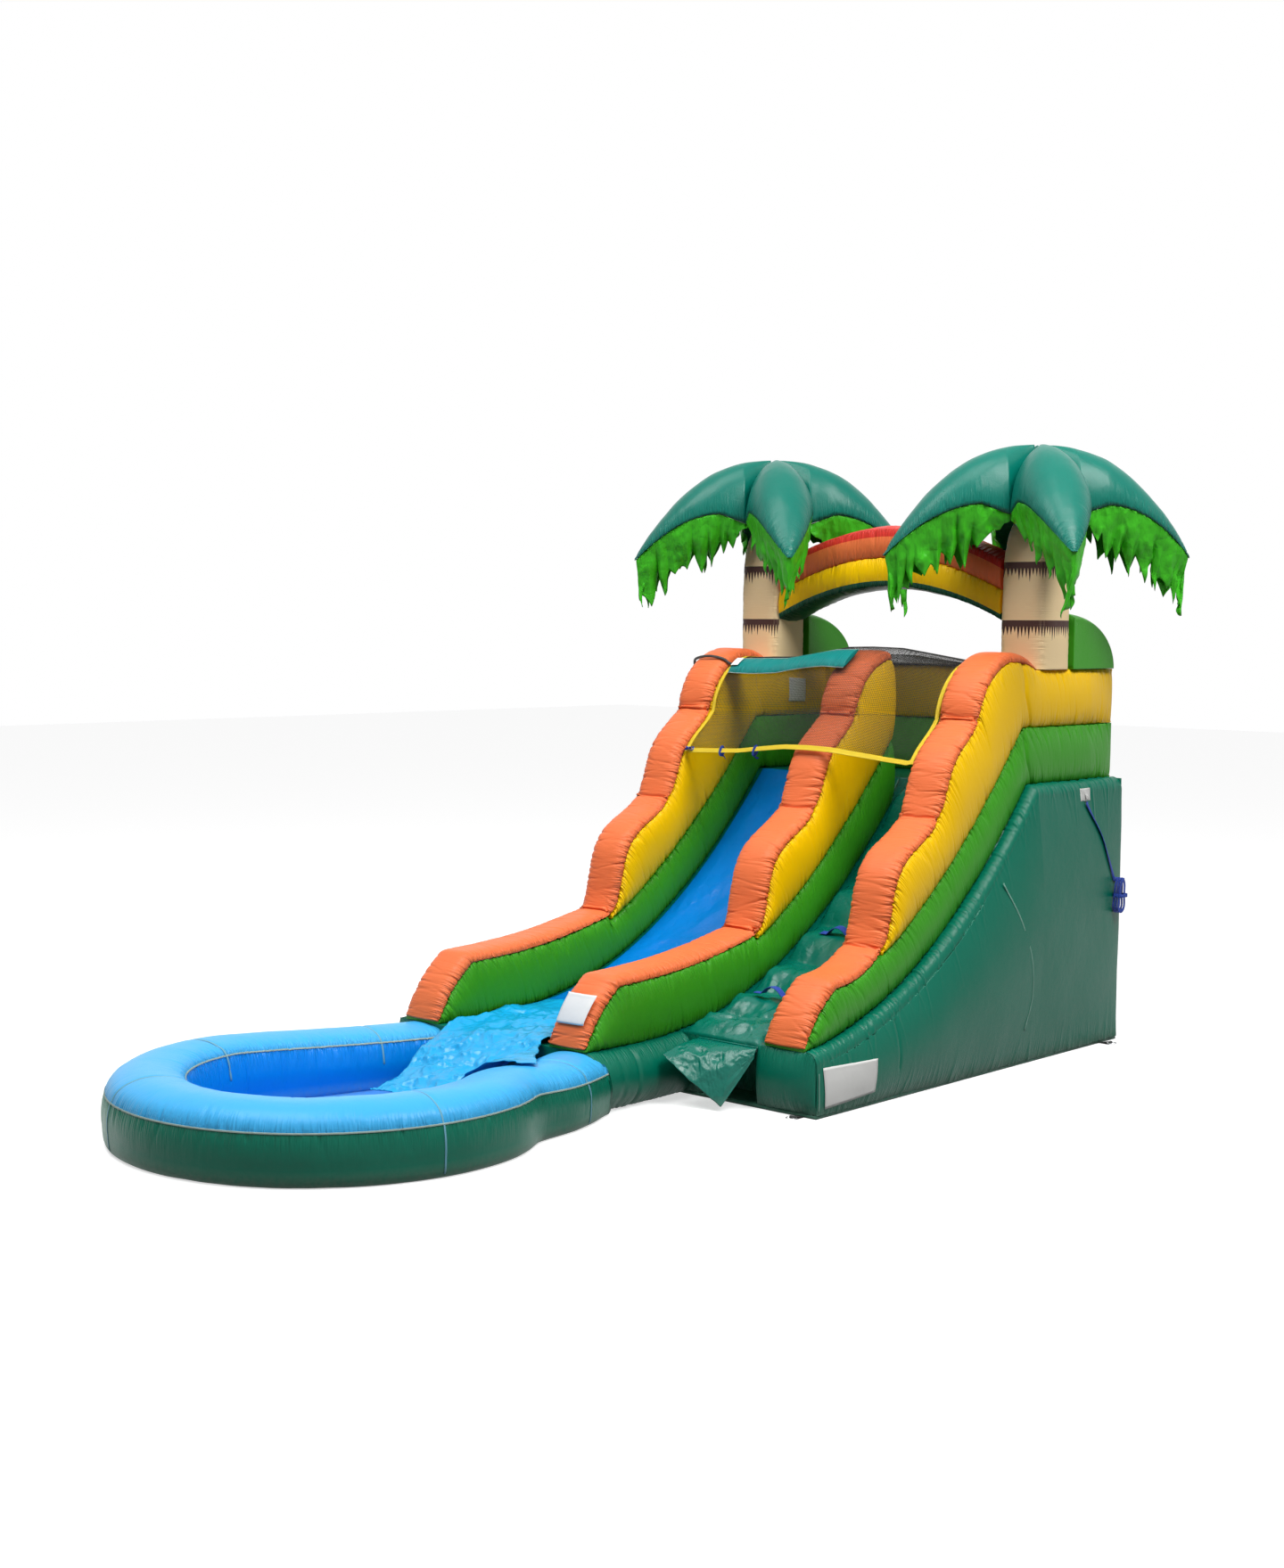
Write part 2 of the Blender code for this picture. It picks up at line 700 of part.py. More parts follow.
def build_beds():
    """The platform deck, the slide's bed and the stepped climbing bed."""
    deck_runs = stations_between(SEAM_GAP, PLATFORM_RUN - SEAM_GAP)
    deck = [bed_ring(run, -INNER_BASE, INNER_BASE, None) for run in deck_runs]
    add_object("platform_deck", loft(deck), "dark_green_vinyl")
    start = PLATFORM_RUN
    slide = [
        bed_ring(run, -INNER_BASE, BED_SPLIT - SEAM_GAP, None)
        for run in stations_between(start, BASE_RUN)
    ]
    add_object("slide_bed", loft(slide), "dark_green_vinyl")
    runs, _ = step_runs()
    climb = [
        bed_ring(run, BED_SPLIT, INNER_BASE, step_rise(run))
        for run in stations_between(start, BASE_RUN, runs)
    ]
    add_object("climb_bed", loft(climb), "dark_green_vinyl")


FORMER_X_SHARES = {"former_left": -0.37, "former_right": 0.30}
VENT_RUN_SHARES = (0.16, 0.45)
VENT_HEIGHT_SHARE = 0.45


def build_formers():
    """Upright baffles inside the base that hold the bed's curve, vented to pass the air."""
    first = SHEET + SEAM_GAP
    xs, ends = zip(*front_panel_line())
    for name, share in FORMER_X_SHARES.items():
        x = share * INNER_BASE
        last = float(np.interp(x, xs, ends)) - SHEET - SEAM_GAP
        runs = stations_between(first, last)
        low = FLOOR_SHEET + SEAM_GAP
        outline = [(x, y_at(first), low), (x, y_at(last), low)]
        for run in reversed(runs):
            outline.append((x, y_at(run), bed_height(run) - BED_SHEET - SEAM_GAP))
        former = add_object(name, plate(outline, (FORMER_SHEET, 0.0, 0.0)), "dark_green_vinyl")
        for index, place_share in enumerate(VENT_RUN_SHARES):
            run = place_share * BASE_RUN
            radius = min(VENT_RADIUS, bed_height(run) / 4)
            work = bmesh.new()
            centre = (x + FORMER_SHEET / 2, y_at(run), bed_height(run) * VENT_HEIGHT_SHARE)
            bmesh.ops.create_cone(
                work,
                cap_ends=True,
                segments=12,
                radius1=radius,
                radius2=radius,
                depth=FORMER_SHEET + 2 * CUT_OVERRUN,
                matrix=Matrix.Translation(centre) @ Matrix.Rotation(math.pi / 2, 4, "Y"),
            )
            cutter = add_object(f"{name}_vent_cutter_{index}", work, "dark_green_vinyl")
            add_boolean(former, cutter, "DIFFERENCE")


EXIT_SHARES = (0.0, 0.25, 0.55, 0.85, 1.0)


def build_exit_base():
    """The low chamber under the end of the slide, swollen at its right-hand side."""
    left = -HALF_BASE
    right = CENTRE_WALL_X + HALF_SEAM + SIDE_BULGE
    rings = []
    for run in stations_between(BASE_RUN + SEAM_GAP, LONG_WALL):
        top = bed_height(run)
        ring = []
        for t in EXIT_SHARES:
            ring.append((right + EXIT_BULGE * math.sin(math.pi * t) ** 0.6, y_at(run), top * t))
        for t in reversed(EXIT_SHARES):
            swell = PANEL_BULGE / 2 * math.sin(math.pi * t)
            ring.append((left + PANEL_BULGE / 2 - swell, y_at(run), top * t))
        rings.append(ring)
    add_object("exit_base", loft(rings), "dark_green_vinyl")


# Ground tabs with an eye for a ring: shares of the base's half width and run, and their way out
ANCHOR_SHARES = (
    ("front_right", 0.92, 1.0, (0.0, -1.0)),
    ("rear_right", 1.0, 0.06, (1.0, 0.0)),
    ("rear_left", -1.0, 0.06, (-1.0, 0.0)),
    ("front_left", -1.0, 0.90, (-1.0, 0.0)),
)


def anchor_frame(width_share, run_share, way):
    """A matrix whose X points out of the base at a ground tab."""
    origin = Vector((width_share * HALF_BASE, y_at(run_share * BASE_RUN), 0.0))
    turn = Matrix.Rotation(math.atan2(way[1], way[0]), 4, "Z")
    return Matrix.Translation(origin) @ turn


def arc_points(centre, radius, start, end, count):
    """Points of an arc in a plane, angles in radians."""
    angles = np.linspace(start, end, count)
    return [(centre[0] + radius * math.cos(a), centre[1] + radius * math.sin(a)) for a in angles]


def tab_shape():
    """A webbing tab lying on the ground with a sewn eye at its end, bored for the ring."""
    eye_x = TAB_LENGTH
    half = TAB_WIDTH / 2
    profile = [(-TAB_SHEET, 0.0), (eye_x, 0.0)]
    profile += arc_points((eye_x, EYE_OUTER), EYE_OUTER, -math.pi / 2, math.pi / 2, 9)[1:]
    profile += [(eye_x - EYE_OUTER, EYE_OUTER + EYE_OUTER * 0.6), (eye_x - 2 * EYE_OUTER, TAB_SHEET)]
    profile += [(-TAB_SHEET, TAB_SHEET)]
    return plate([(x, -half, z) for x, z in profile], (0.0, TAB_WIDTH, 0.0))


def build_floor():
    """The flat ground sheet with its four anchor tabs."""
    outline = [
        (-HALF_BASE, y_at(0.0), 0.0),
        (HALF_BASE, y_at(0.0), 0.0),
        (HALF_BASE, y_at(BASE_RUN), 0.0),
        (-HALF_BASE, y_at(BASE_RUN), 0.0),
    ]
    floor = add_object("base_floor", plate(outline, (0.0, 0.0, FLOOR_SHEET)), "dark_green_vinyl")
    for name, width_share, run_share, way in ANCHOR_SHARES:
        frame = anchor_frame(width_share, run_share, way)
        tab = tab_shape()
        bmesh.ops.transform(tab, matrix=frame, verts=tab.verts[:])
        add_boolean(floor, add_object(f"{name}_tab_shape", tab, "dark_green_vinyl"), "UNION")
        bore = bmesh.new()
        bmesh.ops.create_cone(
            bore,
            cap_ends=True,
            segments=12,
            radius1=EYE_INNER,
            radius2=EYE_INNER,
            depth=TAB_WIDTH + 2 * CUT_OVERRUN,
            matrix=frame
            @ Matrix.Translation((TAB_LENGTH, 0.0, EYE_OUTER))
            @ Matrix.Rotation(math.pi / 2, 4, "X"),
        )
        add_boolean(floor, add_object(f"{name}_eye_cutter", bore, "dark_green_vinyl"), "DIFFERENCE")


def wire_rings(path, radius, sides, up):
    """Round sections along a closed flat path."""
    count = len(path)
    rings = []
    for i in range(count):
        along = (path[(i + 1) % count] - path[i - 1]).normalized()
        side = along.cross(up).normalized()
        ring = []
        for k in range(sides):
            angle = 2 * math.pi * k / sides
            ring.append(path[i] + side * (radius * math.cos(angle)) + up * (radius * math.sin(angle)))
        rings.append(ring)
    return rings


def build_anchor_rings():
    """A steel D ring through the eye of each ground tab, lying outward."""
    half = RING_WIDTH / 2
    corner = half - RING_WIRE
    outline = [(0.0, -corner), (0.0, 0.0), (0.0, corner)]
    outline += [(RING_WIRE * 2, half)]
    arc = arc_points((RING_DEPTH - half, 0.0), half, math.pi / 2, -math.pi / 2, 9)
    outline += arc
    outline += [(RING_WIRE * 2, -half)]
    for name, width_share, run_share, way in ANCHOR_SHARES:
        frame = anchor_frame(width_share, run_share, way)
        pivot = frame @ Vector((TAB_LENGTH, 0.0, EYE_OUTER))
        path = [frame @ Vector((TAB_LENGTH + x, y, EYE_OUTER)) for x, y in outline]
        rings = wire_rings(path, RING_WIRE, 6, Vector((0.0, 0.0, 1.0)))
        add_object(f"anchor_ring_{name}", loft(rings, closed=True), "plated_steel", tuple(pivot))


# Palms
def superellipse(half_x, half_y, count, power):
    """Points of a rounded rectangle, anticlockwise from +X."""
    found = []
    for k in range(count):
        angle = 2 * math.pi * k / count
        c = math.cos(angle)
        s = math.sin(angle)
        found.append(
            (
                half_x * math.copysign(abs(c) ** (2 / power), c),
                half_y * math.copysign(abs(s) ** (2 / power), s),
            )
        )
    return found


TRUNK_LEVEL_SHARES = (
    (0.0, 1.0),
    (0.25, 1.0),
    (0.5, 1.0),
    (0.72, 0.98),
    (0.84, 0.90),
    (0.93, 0.78),
    (1.0, 0.62),
)


def build_palms():
    """Trunks on the side walls, each with a buttress behind, four fronds and a leaf fringe."""
    for side, x in (("left", LEFT_WALL_X), ("right", RIGHT_WALL_X)):
        build_trunk(f"{side}_trunk", x)
        build_buttress(f"{side}_buttress", x)
        for index in range(4):
            build_frond(f"{side}_frond_{index + 1}", x, math.radians(45 + 90 * index))
        build_fringe(f"{side}_fringe", x)


def build_trunk(name, x):
    """A rounded square trunk that draws in under the canopy."""
    base = WALL_TOP + SEAM_GAP
    top = CANOPY_UNDER - SEAM_GAP
    rings = []
    for level, size in TRUNK_LEVEL_SHARES:
        z = base + (top - base) * level
        section = superellipse(HALF_WALL * size, TRUNK_DEPTH / 2 * size, 16, 5)
        rings.append([(x + px, py, z) for px, py in section])
    add_object(name, loft(rings), "trunk_vinyl")


def build_buttress(name, x):
    """A quarter-round fin from the trunk's back to the rear edge of the wall."""
    front = -TRUNK_DEPTH / 2 - SEAM_GAP
    reach = PALM_SETBACK + front
    rings = []
    for low_share in (-1.0, -0.75, 0.0, 0.75, 1.0):
        inset = SIDE_BULGE * (1 - math.cos(math.pi * low_share / 2))
        ring = []
        base = WALL_TOP + SEAM_GAP
        for angle in np.linspace(0, math.pi / 2, 9):
            y = -front + (reach - inset) * math.cos(angle)
            ring.append((x + HALF_WALL * low_share, y, base + (BUTTRESS_RISE - inset) * math.sin(angle)))
        ring.append((x + HALF_WALL * low_share, -front, base))
        rings.append(ring)
    add_object(name, loft(rings), "green_vinyl")


def frond_half_width(s):
    """Half width of a frond along its length, kept inside its quarter near the middle."""
    past = max(s - FROND_WIDEST, 0.0) / (FROND_REACH + FRINGE_INSET - FROND_WIDEST)
    leaf = FROND_HALF_WIDTH * max(1 - past**2, 0.0) ** 0.8
    return min(s - SEAM_GAP, leaf)


def frond_top(s):
    """Height of a frond's ridge along its length."""
    return CANOPY_TOP - (CANOPY_TOP - TIP_HEIGHT - TIP_THICKNESS) * (s / FROND_REACH) ** 2.4


def frond_under(s):
    """Height of a frond's lower edges along its length: level over the trunk, arched, then falling."""
    share = s / FROND_REACH
    over = min(max((s - FRINGE_NOTCH) / FRINGE_NOTCH, 0.0), 1.0)
    drop = (CANOPY_UNDER - TIP_HEIGHT) * share**3
    return CANOPY_UNDER + over * (FROND_ARCH * math.sin(math.pi * share)) - over * drop


FROND_STATION_SHARES = (0.03, 0.12, 0.215, 0.33, 0.47, 0.61, 0.75, 0.88, 0.96, 1.0)
FROND_RIDGE_SHARES = (1.0, 0.88, 0.5, 0.0, -0.5, -0.88, -1.0)
FROND_UNDER_SHARES = (-0.5, 0.5)
FROND_STATIONS = [share * FROND_REACH for share in FROND_STATION_SHARES]


def frond_belly(s):
    """How far the underside of a frond hangs below its edges."""
    past = min(max((s - FROND_WIDEST) / FROND_WIDEST, 0.0), 1.0)
    return FROND_BELLY * past * (1 - s / FROND_REACH)


def frond_rings():
    """Sections of a frond along its length, as points along, across and up."""
    rings = []
    for s in FROND_STATIONS:
        half = frond_half_width(s)
        under = frond_under(s)
        crown = frond_top(s) - under
        ring = []
        for across in FROND_RIDGE_SHARES:
            lift = max(1 - abs(across) ** 2.2, 0.0) ** 0.55
            ring.append((s, half * across, under + crown * lift))
        for across in FROND_UNDER_SHARES:
            ring.append((s, half * across, under - frond_belly(s)))
        rings.append(ring)
    return rings


def build_frond(name, x, angle):
    """One inflated leaf, thick and arched, that droops to a point."""
    c = math.cos(angle)
    s = math.sin(angle)
    rings = [[(x + a * c - b * s, a * s + b * c, z) for a, b, z in ring] for ring in frond_rings()]
    add_object(name, loft(rings), "frond_vinyl")


TOOTH_SHARES = (1.0, 0.5, 0.86, 0.42, 0.95, 0.48, 0.8, 0.4, 0.9, 0.52, 1.0, 0.58)


def canopy_under(px, py):
    """Height of the canopy's underside at a place beside the trunk's axis, on its own facets."""
    quarter = round((math.degrees(math.atan2(py, px)) - 45) / 90)
    angle = math.radians(45 + 90 * quarter)
    s = px * math.cos(angle) + py * math.sin(angle)
    t = py * math.cos(angle) - px * math.sin(angle)
    half = np.interp(s, FROND_STATIONS, [frond_half_width(v) for v in FROND_STATIONS])
    under = np.interp(s, FROND_STATIONS, [frond_under(v) for v in FROND_STATIONS])
    belly = np.interp(s, FROND_STATIONS, [frond_belly(v) for v in FROND_STATIONS])
    inside = min(max(1 - abs(t) / half, 0.0) / (1 - FROND_UNDER_SHARES[1]), 1.0)
    return under - belly * inside


def fringe_line():
    """Places along the rim of the canopy, frond by frond, each with its drop."""
    stations = [s for s in FROND_STATIONS if FRINGE_NOTCH < s < FROND_REACH]
    between = [(a + b) / 2 for a, b in zip(stations, stations[1:])]
    rim = []
    for s in sorted(stations + between[:-1]):
        edge = np.interp(s, FROND_STATIONS, [frond_half_width(v) for v in FROND_STATIONS])
        half = max(edge - FRINGE_INSET, FRINGE_SHEET)
        reach = (s - FRINGE_NOTCH) / (FROND_REACH - FRINGE_NOTCH)
        rim.append((s, half, FRINGE_DROP + (FRINGE_TIP_DROP - FRINGE_DROP) * reach**2))
    line = []
    for index in range(4):
        angle = math.radians(45 + 90 * index)
        c = math.cos(angle)
        d = math.sin(angle)
        both = [(s, -half, drop) for s, half, drop in rim]
        both += [(s, half, drop) for s, half, drop in reversed(rim)]
        for s, t, drop in both:
            line.append((s * c - t * d, s * d + t * c, drop))
    return line


def build_fringe(name, x):
    """A shredded leaf skirt sewn under the rim of all four fronds, in one closed strip."""
    line = fringe_line()
    count = len(line)
    rings = []
    for i, (px, py, drop) in enumerate(line):
        ahead = line[(i + 1) % count]
        behind = line[i - 1]
        along = Vector((ahead[0] - behind[0], ahead[1] - behind[1], 0.0)).normalized()
        half = Vector((-along.y, along.x, 0.0)) * FRINGE_SHEET / 2
        low = canopy_under(px, py) - drop * TOOTH_SHARES[i % len(TOOTH_SHARES)]
        if abs(py) < ARCH_DEPTH / 2 + FRINGE_INSET and abs(x + px) < INNER_X:
            low = max(low, arch_underside(x + px) + 2 * ARCH_TUBE + FRINGE_INSET)
        ring = []
        for side, at_top in ((-1, True), (-1, False), (1, False), (1, True)):
            qx = px + half.x * side
            qy = py + half.y * side
            z = canopy_under(qx, qy) - FRINGE_REST if at_top else low
            ring.append((x + qx, qy, z))
        rings.append(ring)
    add_object(name, loft(rings, closed=True), "fringe_vinyl")


def arch_underside(x):
    """Height of the arch's lower edge, a parabola between the trunks."""
    return CANOPY_UNDER - ARCH_END_DROP + ARCH_RISE * (1 - (x / INNER_X) ** 2)


def build_arch():
    """Two stacked tubes that arch between the trunks."""
    half = INNER_X - SEAM_GAP
    xs = np.linspace(-half, half, 15)
    depth = ARCH_DEPTH / 2 - ARCH_BULGE
    for name, step, finish in (("arch_lower", 0, "yellow_vinyl"), ("arch_upper", 1, "orange_vinyl")):
        rings = []
        for x in xs:
            low = arch_underside(x) + step * (ARCH_TUBE + SEAM_GAP)
            front = [
                (x, -depth - ARCH_BULGE * tube_swell(t), low + ARCH_TUBE * t)
                for t in TUBE_SHARES
            ]
            back = [(px, -py, pz) for px, py, pz in reversed(front)]
            rings.append(front + back)
        add_object(name, loft(rings), finish)


# Roof net over the platform and the head of the slide
def net_point(run, x, lift):
    """A place on the net: the cap line's height, arched up over the middle of its width."""
    across = min(abs(x) / INNER_X, 1.0)
    rise = min(max((run - WALL_WIDTH) / (CAP_START_RUN - WALL_WIDTH), 0.0), 1.0)
    over_back_wall = (1 - rise) * (NET_SHEET + SEAM_GAP)
    offset = lift - NET_SHEET / 2 + over_back_wall + NET_LIFT * rise * (1 - across**2)
    if run <= CAP_START_RUN:
        return (x, y_at(run), WALL_TOP + offset)
    height = np.interp(run, *LONG_LINE.T)
    forward = np.interp(run, LONG_LINE[:, 0], LONG_NORMALS[:, 0])
    upward = np.interp(run, LONG_LINE[:, 0], LONG_NORMALS[:, 1])
    return (x, y_at(run + forward * offset), height + upward * offset)


LONG_NORMALS = line_normals(LONG_LINE)
NET_ACROSS_CELLS = 5
NET_COLUMNS = np.linspace(-1, 1, NET_ACROSS_CELLS + 1) * (INNER_X - NET_MARGIN)


def build_net():
    """A roof net with its gaps, laid from the back wall over the crest to the head of the lanes."""
    work = bmesh.new()
    rear = [HALF_WALL, WALL_WIDTH, (WALL_WIDTH + CAP_START_RUN) / 2]
    on_caps = [run for run in LONG_LINE[:, 0] if run < NET_FRONT_RUN - 1.5 * WEBBING_WIDTH]
    rows = []
    for run in rear + on_caps + [NET_FRONT_RUN - WEBBING_WIDTH, NET_FRONT_RUN]:
        rows.append([work.verts.new(net_point(run, x, 0.0)) for x in NET_COLUMNS])
    for near, far in zip(rows, rows[1:]):
        for j in range(NET_ACROSS_CELLS):
            work.faces.new((near[j], near[j + 1], far[j + 1], far[j]))
    work.normal_update()
    cells = work.faces[:]
    bmesh.ops.inset_individual(work, faces=cells, thickness=NET_STRAND / 2, use_even_offset=True)
    bmesh.ops.delete(work, geom=cells, context="FACES")
    net = add_object("roof_net", work, "net_mesh")
    wall = net.modifiers.new("strand_thickness", "SOLIDIFY")
    wall.thickness = NET_SHEET
    wall.offset = 0.0


def build_net_webbing():
    """The webbing that edges the net down both walls and across its front."""
    outer_x = RIGHT_WALL_X - HALF_SEAM - SEAM_GAP
    inner_x = outer_x - WEBBING_WIDTH
    inner_run = NET_FRONT_RUN - WEBBING_WIDTH
    side_runs = [run for run in LONG_LINE[:, 0] if run < inner_run]
    layers = []
    low = NET_SHEET / 2 + SEAM_GAP
    for lift in (low + WEBBING_SHEET, low):
        outer = [net_point(run, -outer_x, lift) for run in side_runs]
        inner = [net_point(run, -inner_x, lift) for run in side_runs]
        outer.append(net_point(NET_FRONT_RUN, -outer_x, lift))
        inner.append(net_point(inner_run, -inner_x, lift))
        outer += [net_point(NET_FRONT_RUN, x, lift) for x in NET_COLUMNS[1:-1]]
        inner += [net_point(inner_run, x, lift) for x in NET_COLUMNS[1:-1]]
        outer.append(net_point(NET_FRONT_RUN, outer_x, lift))
        inner.append(net_point(inner_run, inner_x, lift))
        outer += [net_point(run, outer_x, lift) for run in reversed(side_runs)]
        inner += [net_point(run, inner_x, lift) for run in reversed(side_runs)]
        layers.append([outer, inner])
    add_object("net_webbing", sheet_between(*layers), "yellow_webbing")


# Splash pool
POOL_FIRST_DEGREES = 35
POOL_LAST_DEGREES = -195
NECK_SHARE = 0.22  # share of the ring's length over which a neck swells to the full height


def pool_path():
    """The ring's centreline, with a share from 0 at the necks to 1 on the round."""
    centre = (-POOL_OFFSET, y_at(POOL_CENTRE_RUN))
    neck_y = y_at(LONG_WALL + SEAM_GAP)
    right_x = CENTRE_WALL_X + EXIT_BULGE / 2
    left_x = LEFT_WALL_X
    points = [(right_x, neck_y)]
    first = math.radians(POOL_FIRST_DEGREES)
    joint = (centre[0] + POOL_RADIUS * math.cos(first), centre[1] + POOL_RADIUS * math.sin(first))
    points.append(((right_x + joint[0]) / 2 + EXIT_BULGE / 3, (neck_y + joint[1]) / 2))
    turns = np.linspace(POOL_FIRST_DEGREES, POOL_LAST_DEGREES, 12)
    for turn in np.radians(turns):
        points.append((centre[0] + POOL_RADIUS * math.cos(turn), centre[1] + POOL_RADIUS * math.sin(turn)))
    last = points[-1]
    points.append(((left_x + last[0]) / 2, (neck_y + last[1]) / 2))
    points.append((left_x, neck_y))
    path = smooth_path(points, 2)
    position = np.linspace(0, 1, len(path))
    fullness = np.clip(np.minimum(position, 1 - position) / NECK_SHARE, 0, 1)
    return path, fullness * fullness * (3 - 2 * fullness)


RING_SECTION_SHARES = (
    (-0.85, 0.0),
    (0.85, 0.0),
    (1.0, 0.3),
    (0.96, 0.62),
    (0.74, 0.88),
    (0.25, 1.0),
    (-0.35, 0.99),
    (-0.84, 0.86),
    (-1.0, 0.52),
    (-0.96, 0.22),
)


def pool_sides(path):
    """Unit vectors that point out of the ring at each point of its centreline."""
    along = np.gradient(path, axis=0)
    along[0] = (0.0, -1.0)
    along[-1] = (0.0, 1.0)
    along /= np.hypot(along[:, 0], along[:, 1])[:, None]
    return np.stack([-along[:, 1], along[:, 0]], axis=1)


def build_pool():
    """The inflated ring, open at the slide, and the floor sheet that closes it below."""
    path, fullness = pool_path()
    sides = pool_sides(path)
    rings = []
    inner_edge = []
    for spot, side, full in zip(path, sides, fullness):
        height = NECK_HEIGHT + (RING_HEIGHT - NECK_HEIGHT) * full
        ring = []
        for out, up in RING_SECTION_SHARES:
            place = spot + side * out * RING_HALF_WIDTH
            ring.append((place[0], place[1], up * height))
        rings.append(ring)
        foot_share = -RING_SECTION_SHARES[0][0]
        shoulder = RING_SECTION_SHARES[-1]
        rise_share = POOL_FLOOR_SHEET / (shoulder[1] * height)
        edge_share = foot_share + (-shoulder[0] - foot_share) * rise_share
        inner_edge.append(spot - side * (edge_share * RING_HALF_WIDTH + POOL_FLOOR_REST))
    add_object("pool_ring", loft(rings), "blue_vinyl")
    outline = [(x, y, 0.0) for x, y in inner_edge]
    add_object("pool_floor", plate(outline, (0.0, 0.0, POOL_FLOOR_SHEET)), "blue_vinyl")


# Slide liner and its apron
APRON_RUN_SHARES = (0.0, 0.06, 0.16, 0.3, 0.46, 0.64, 0.82, 1.0)
APRON_FALL_SHARES = (0.0, 0.03, 0.13, 0.34, 0.6, 0.83, 0.96, 1.0)
LINER_ACROSS = 5


def build_liner():
    """A glossy sheet down the slide lane, with an apron that falls over the exit into the pool."""
    left = -INNER_X + LINER_MARGIN
    right = CENTRE_WALL_X - HALF_WALL - LINER_MARGIN
    neck_left = LEFT_WALL_X + RING_HALF_WIDTH + APRON_MARGIN
    neck_right = CENTRE_WALL_X + EXIT_BULGE / 2 - RING_HALF_WIDTH - APRON_MARGIN
    narrowing = RUNOUT_RUN
    rows = []
    for run in stations_between(PLATFORM_RUN, LONG_WALL, [narrowing]):
        share = min(max((run - narrowing) / (LONG_WALL - narrowing), 0.0), 1.0)
        edges = (left + (neck_left - left) * share, right + (neck_right - right) * share)
        rows.append((run, bed_height(run) + SEAM_GAP, edges))
    crest = RUNOUT_HEIGHT + SEAM_GAP
    landing = POOL_FLOOR_SHEET + SEAM_GAP
    for run_share, fall_share in zip(APRON_RUN_SHARES, APRON_FALL_SHARES):
        run = LONG_WALL + LINER_SHEET + run_share * APRON_REACH
        inward = APRON_TAPER * run_share
        edges = (neck_left + inward, neck_right - APRON_MARGIN * run_share)
        rows.append((run, crest + (landing - crest) * fall_share, edges))
    upper = []
    lower = []
    for run, low, (start, end) in rows:
        xs = np.linspace(start, end, LINER_ACROSS)
        lower.append([(x, y_at(run), low) for x in xs])
        upper.append([(x, y_at(run), low + LINER_SHEET) for x in xs])
    add_object("slide_liner", sheet_between(upper, lower), "blue_vinyl")


# Flap at the foot of the climbing lane
FLAP_TIP_SHARE = 0.66
FLAP_COLUMNS = 12
FLAP_ROW_SHARES = (0.0, 0.12, 0.4, 0.7, 1.0)


def build_flap():
    """A loose pointed flap on a rolled hem along the foot of the climbing lane."""
    left = CENTRE_WALL_X + HALF_WALL + EXIT_BULGE + FLAP_SIDE_GAP
    right = INNER_X - FLAP_SIDE_GAP
    hinge_y = y_at(BASE_RUN) - SEAM_GAP - FLAP_HEM
    hinge_z = bed_height(BASE_RUN) - BED_SHEET / 2
    rings = []
    for share in np.linspace(0, 1, FLAP_COLUMNS + 1):
        x = left + (right - left) * share
        near = share / FLAP_TIP_SHARE if share < FLAP_TIP_SHARE else (1 - share) / (1 - FLAP_TIP_SHARE)
        drop = FLAP_SHORT_DROP + (FLAP_DROP - FLAP_SHORT_DROP) * near
        ripple = 0.5 - 0.5 * math.cos(4 * math.pi * share)
        front = []
        back = []
        for row in FLAP_ROW_SHARES[1:]:
            fold = FLAP_FOLD * ripple * row * near
            z = hinge_z - FLAP_HEM / 2 - (drop - FLAP_HEM / 2) * row
            front.append((x, hinge_y - FLAP_SHEET / 2 - fold, z))
            back.append((x, hinge_y + FLAP_SHEET / 2 - fold, z))
        hem = [
            (x, hinge_y + FLAP_HEM * math.cos(a), hinge_z + FLAP_HEM * math.sin(a))
            for a in np.radians((-40, 0, 45, 90, 135, 180, 220))
        ]
        rings.append(hem + front + list(reversed(back)))
    add_object("climb_flap", loft(rings), "dark_green_vinyl", ((left + right) / 2, hinge_y, hinge_z))


# Webbing handles up the climbing lane
HANDLE_STEPS = (1, 3, 5)
HANDLE_SHARES = (0.0, 0.22, 0.36, 0.5, 0.64, 0.78, 1.0)
HANDLE_FREE_SHARE = HANDLE_SHARES[-2] - HANDLE_SHARES[1]


def climb_surface(run):
    """Height of the treads at a run, on their own stations."""
    runs, _ = step_runs()
    stations = stations_between(PLATFORM_RUN, BASE_RUN, runs)
    heights = [float(bed_height(station)) + step_rise(station) for station in stations]
    return float(np.interp(run, stations, heights))


def build_handles():
    """Grab handles of webbing, each sewn flat at its ends and raised in the middle."""
    _, pitch = step_runs()
    middle_x = (CENTRE_WALL_X + HALF_WALL + INNER_X) / 2
    for number, step in enumerate(HANDLE_STEPS, start=1):
        centre = PLATFORM_RUN + (step + STEP_SHARES[1]) * pitch
        upper = []
        lower = []
        for run in (centre - HANDLE_WIDTH / 2, centre + HANDLE_WIDTH / 2):
            chord = climb_surface(centre) - (
                climb_surface(centre - HANDLE_WIDTH / 2) + climb_surface(centre + HANDLE_WIDTH / 2)
            ) / 2
            base = climb_surface(run) + max(chord, 0.0) + SEAM_GAP
            top = []
            bottom = []
            for share in HANDLE_SHARES:
                x = middle_x + (share - 0.5) * HANDLE_LENGTH
                free = min(max((share - HANDLE_SHARES[1]) / HANDLE_FREE_SHARE, 0.0), 1.0)
                arch = HANDLE_LIFT * math.sin(math.pi * free)
                bottom.append((x, y_at(run), base + arch))
                top.append((x, y_at(run), base + arch + HANDLE_SHEET))
            upper.append(top)
            lower.append(bottom)
        add_object(f"climb_handle_{number}", sheet_between(upper, lower), "blue_webbing")


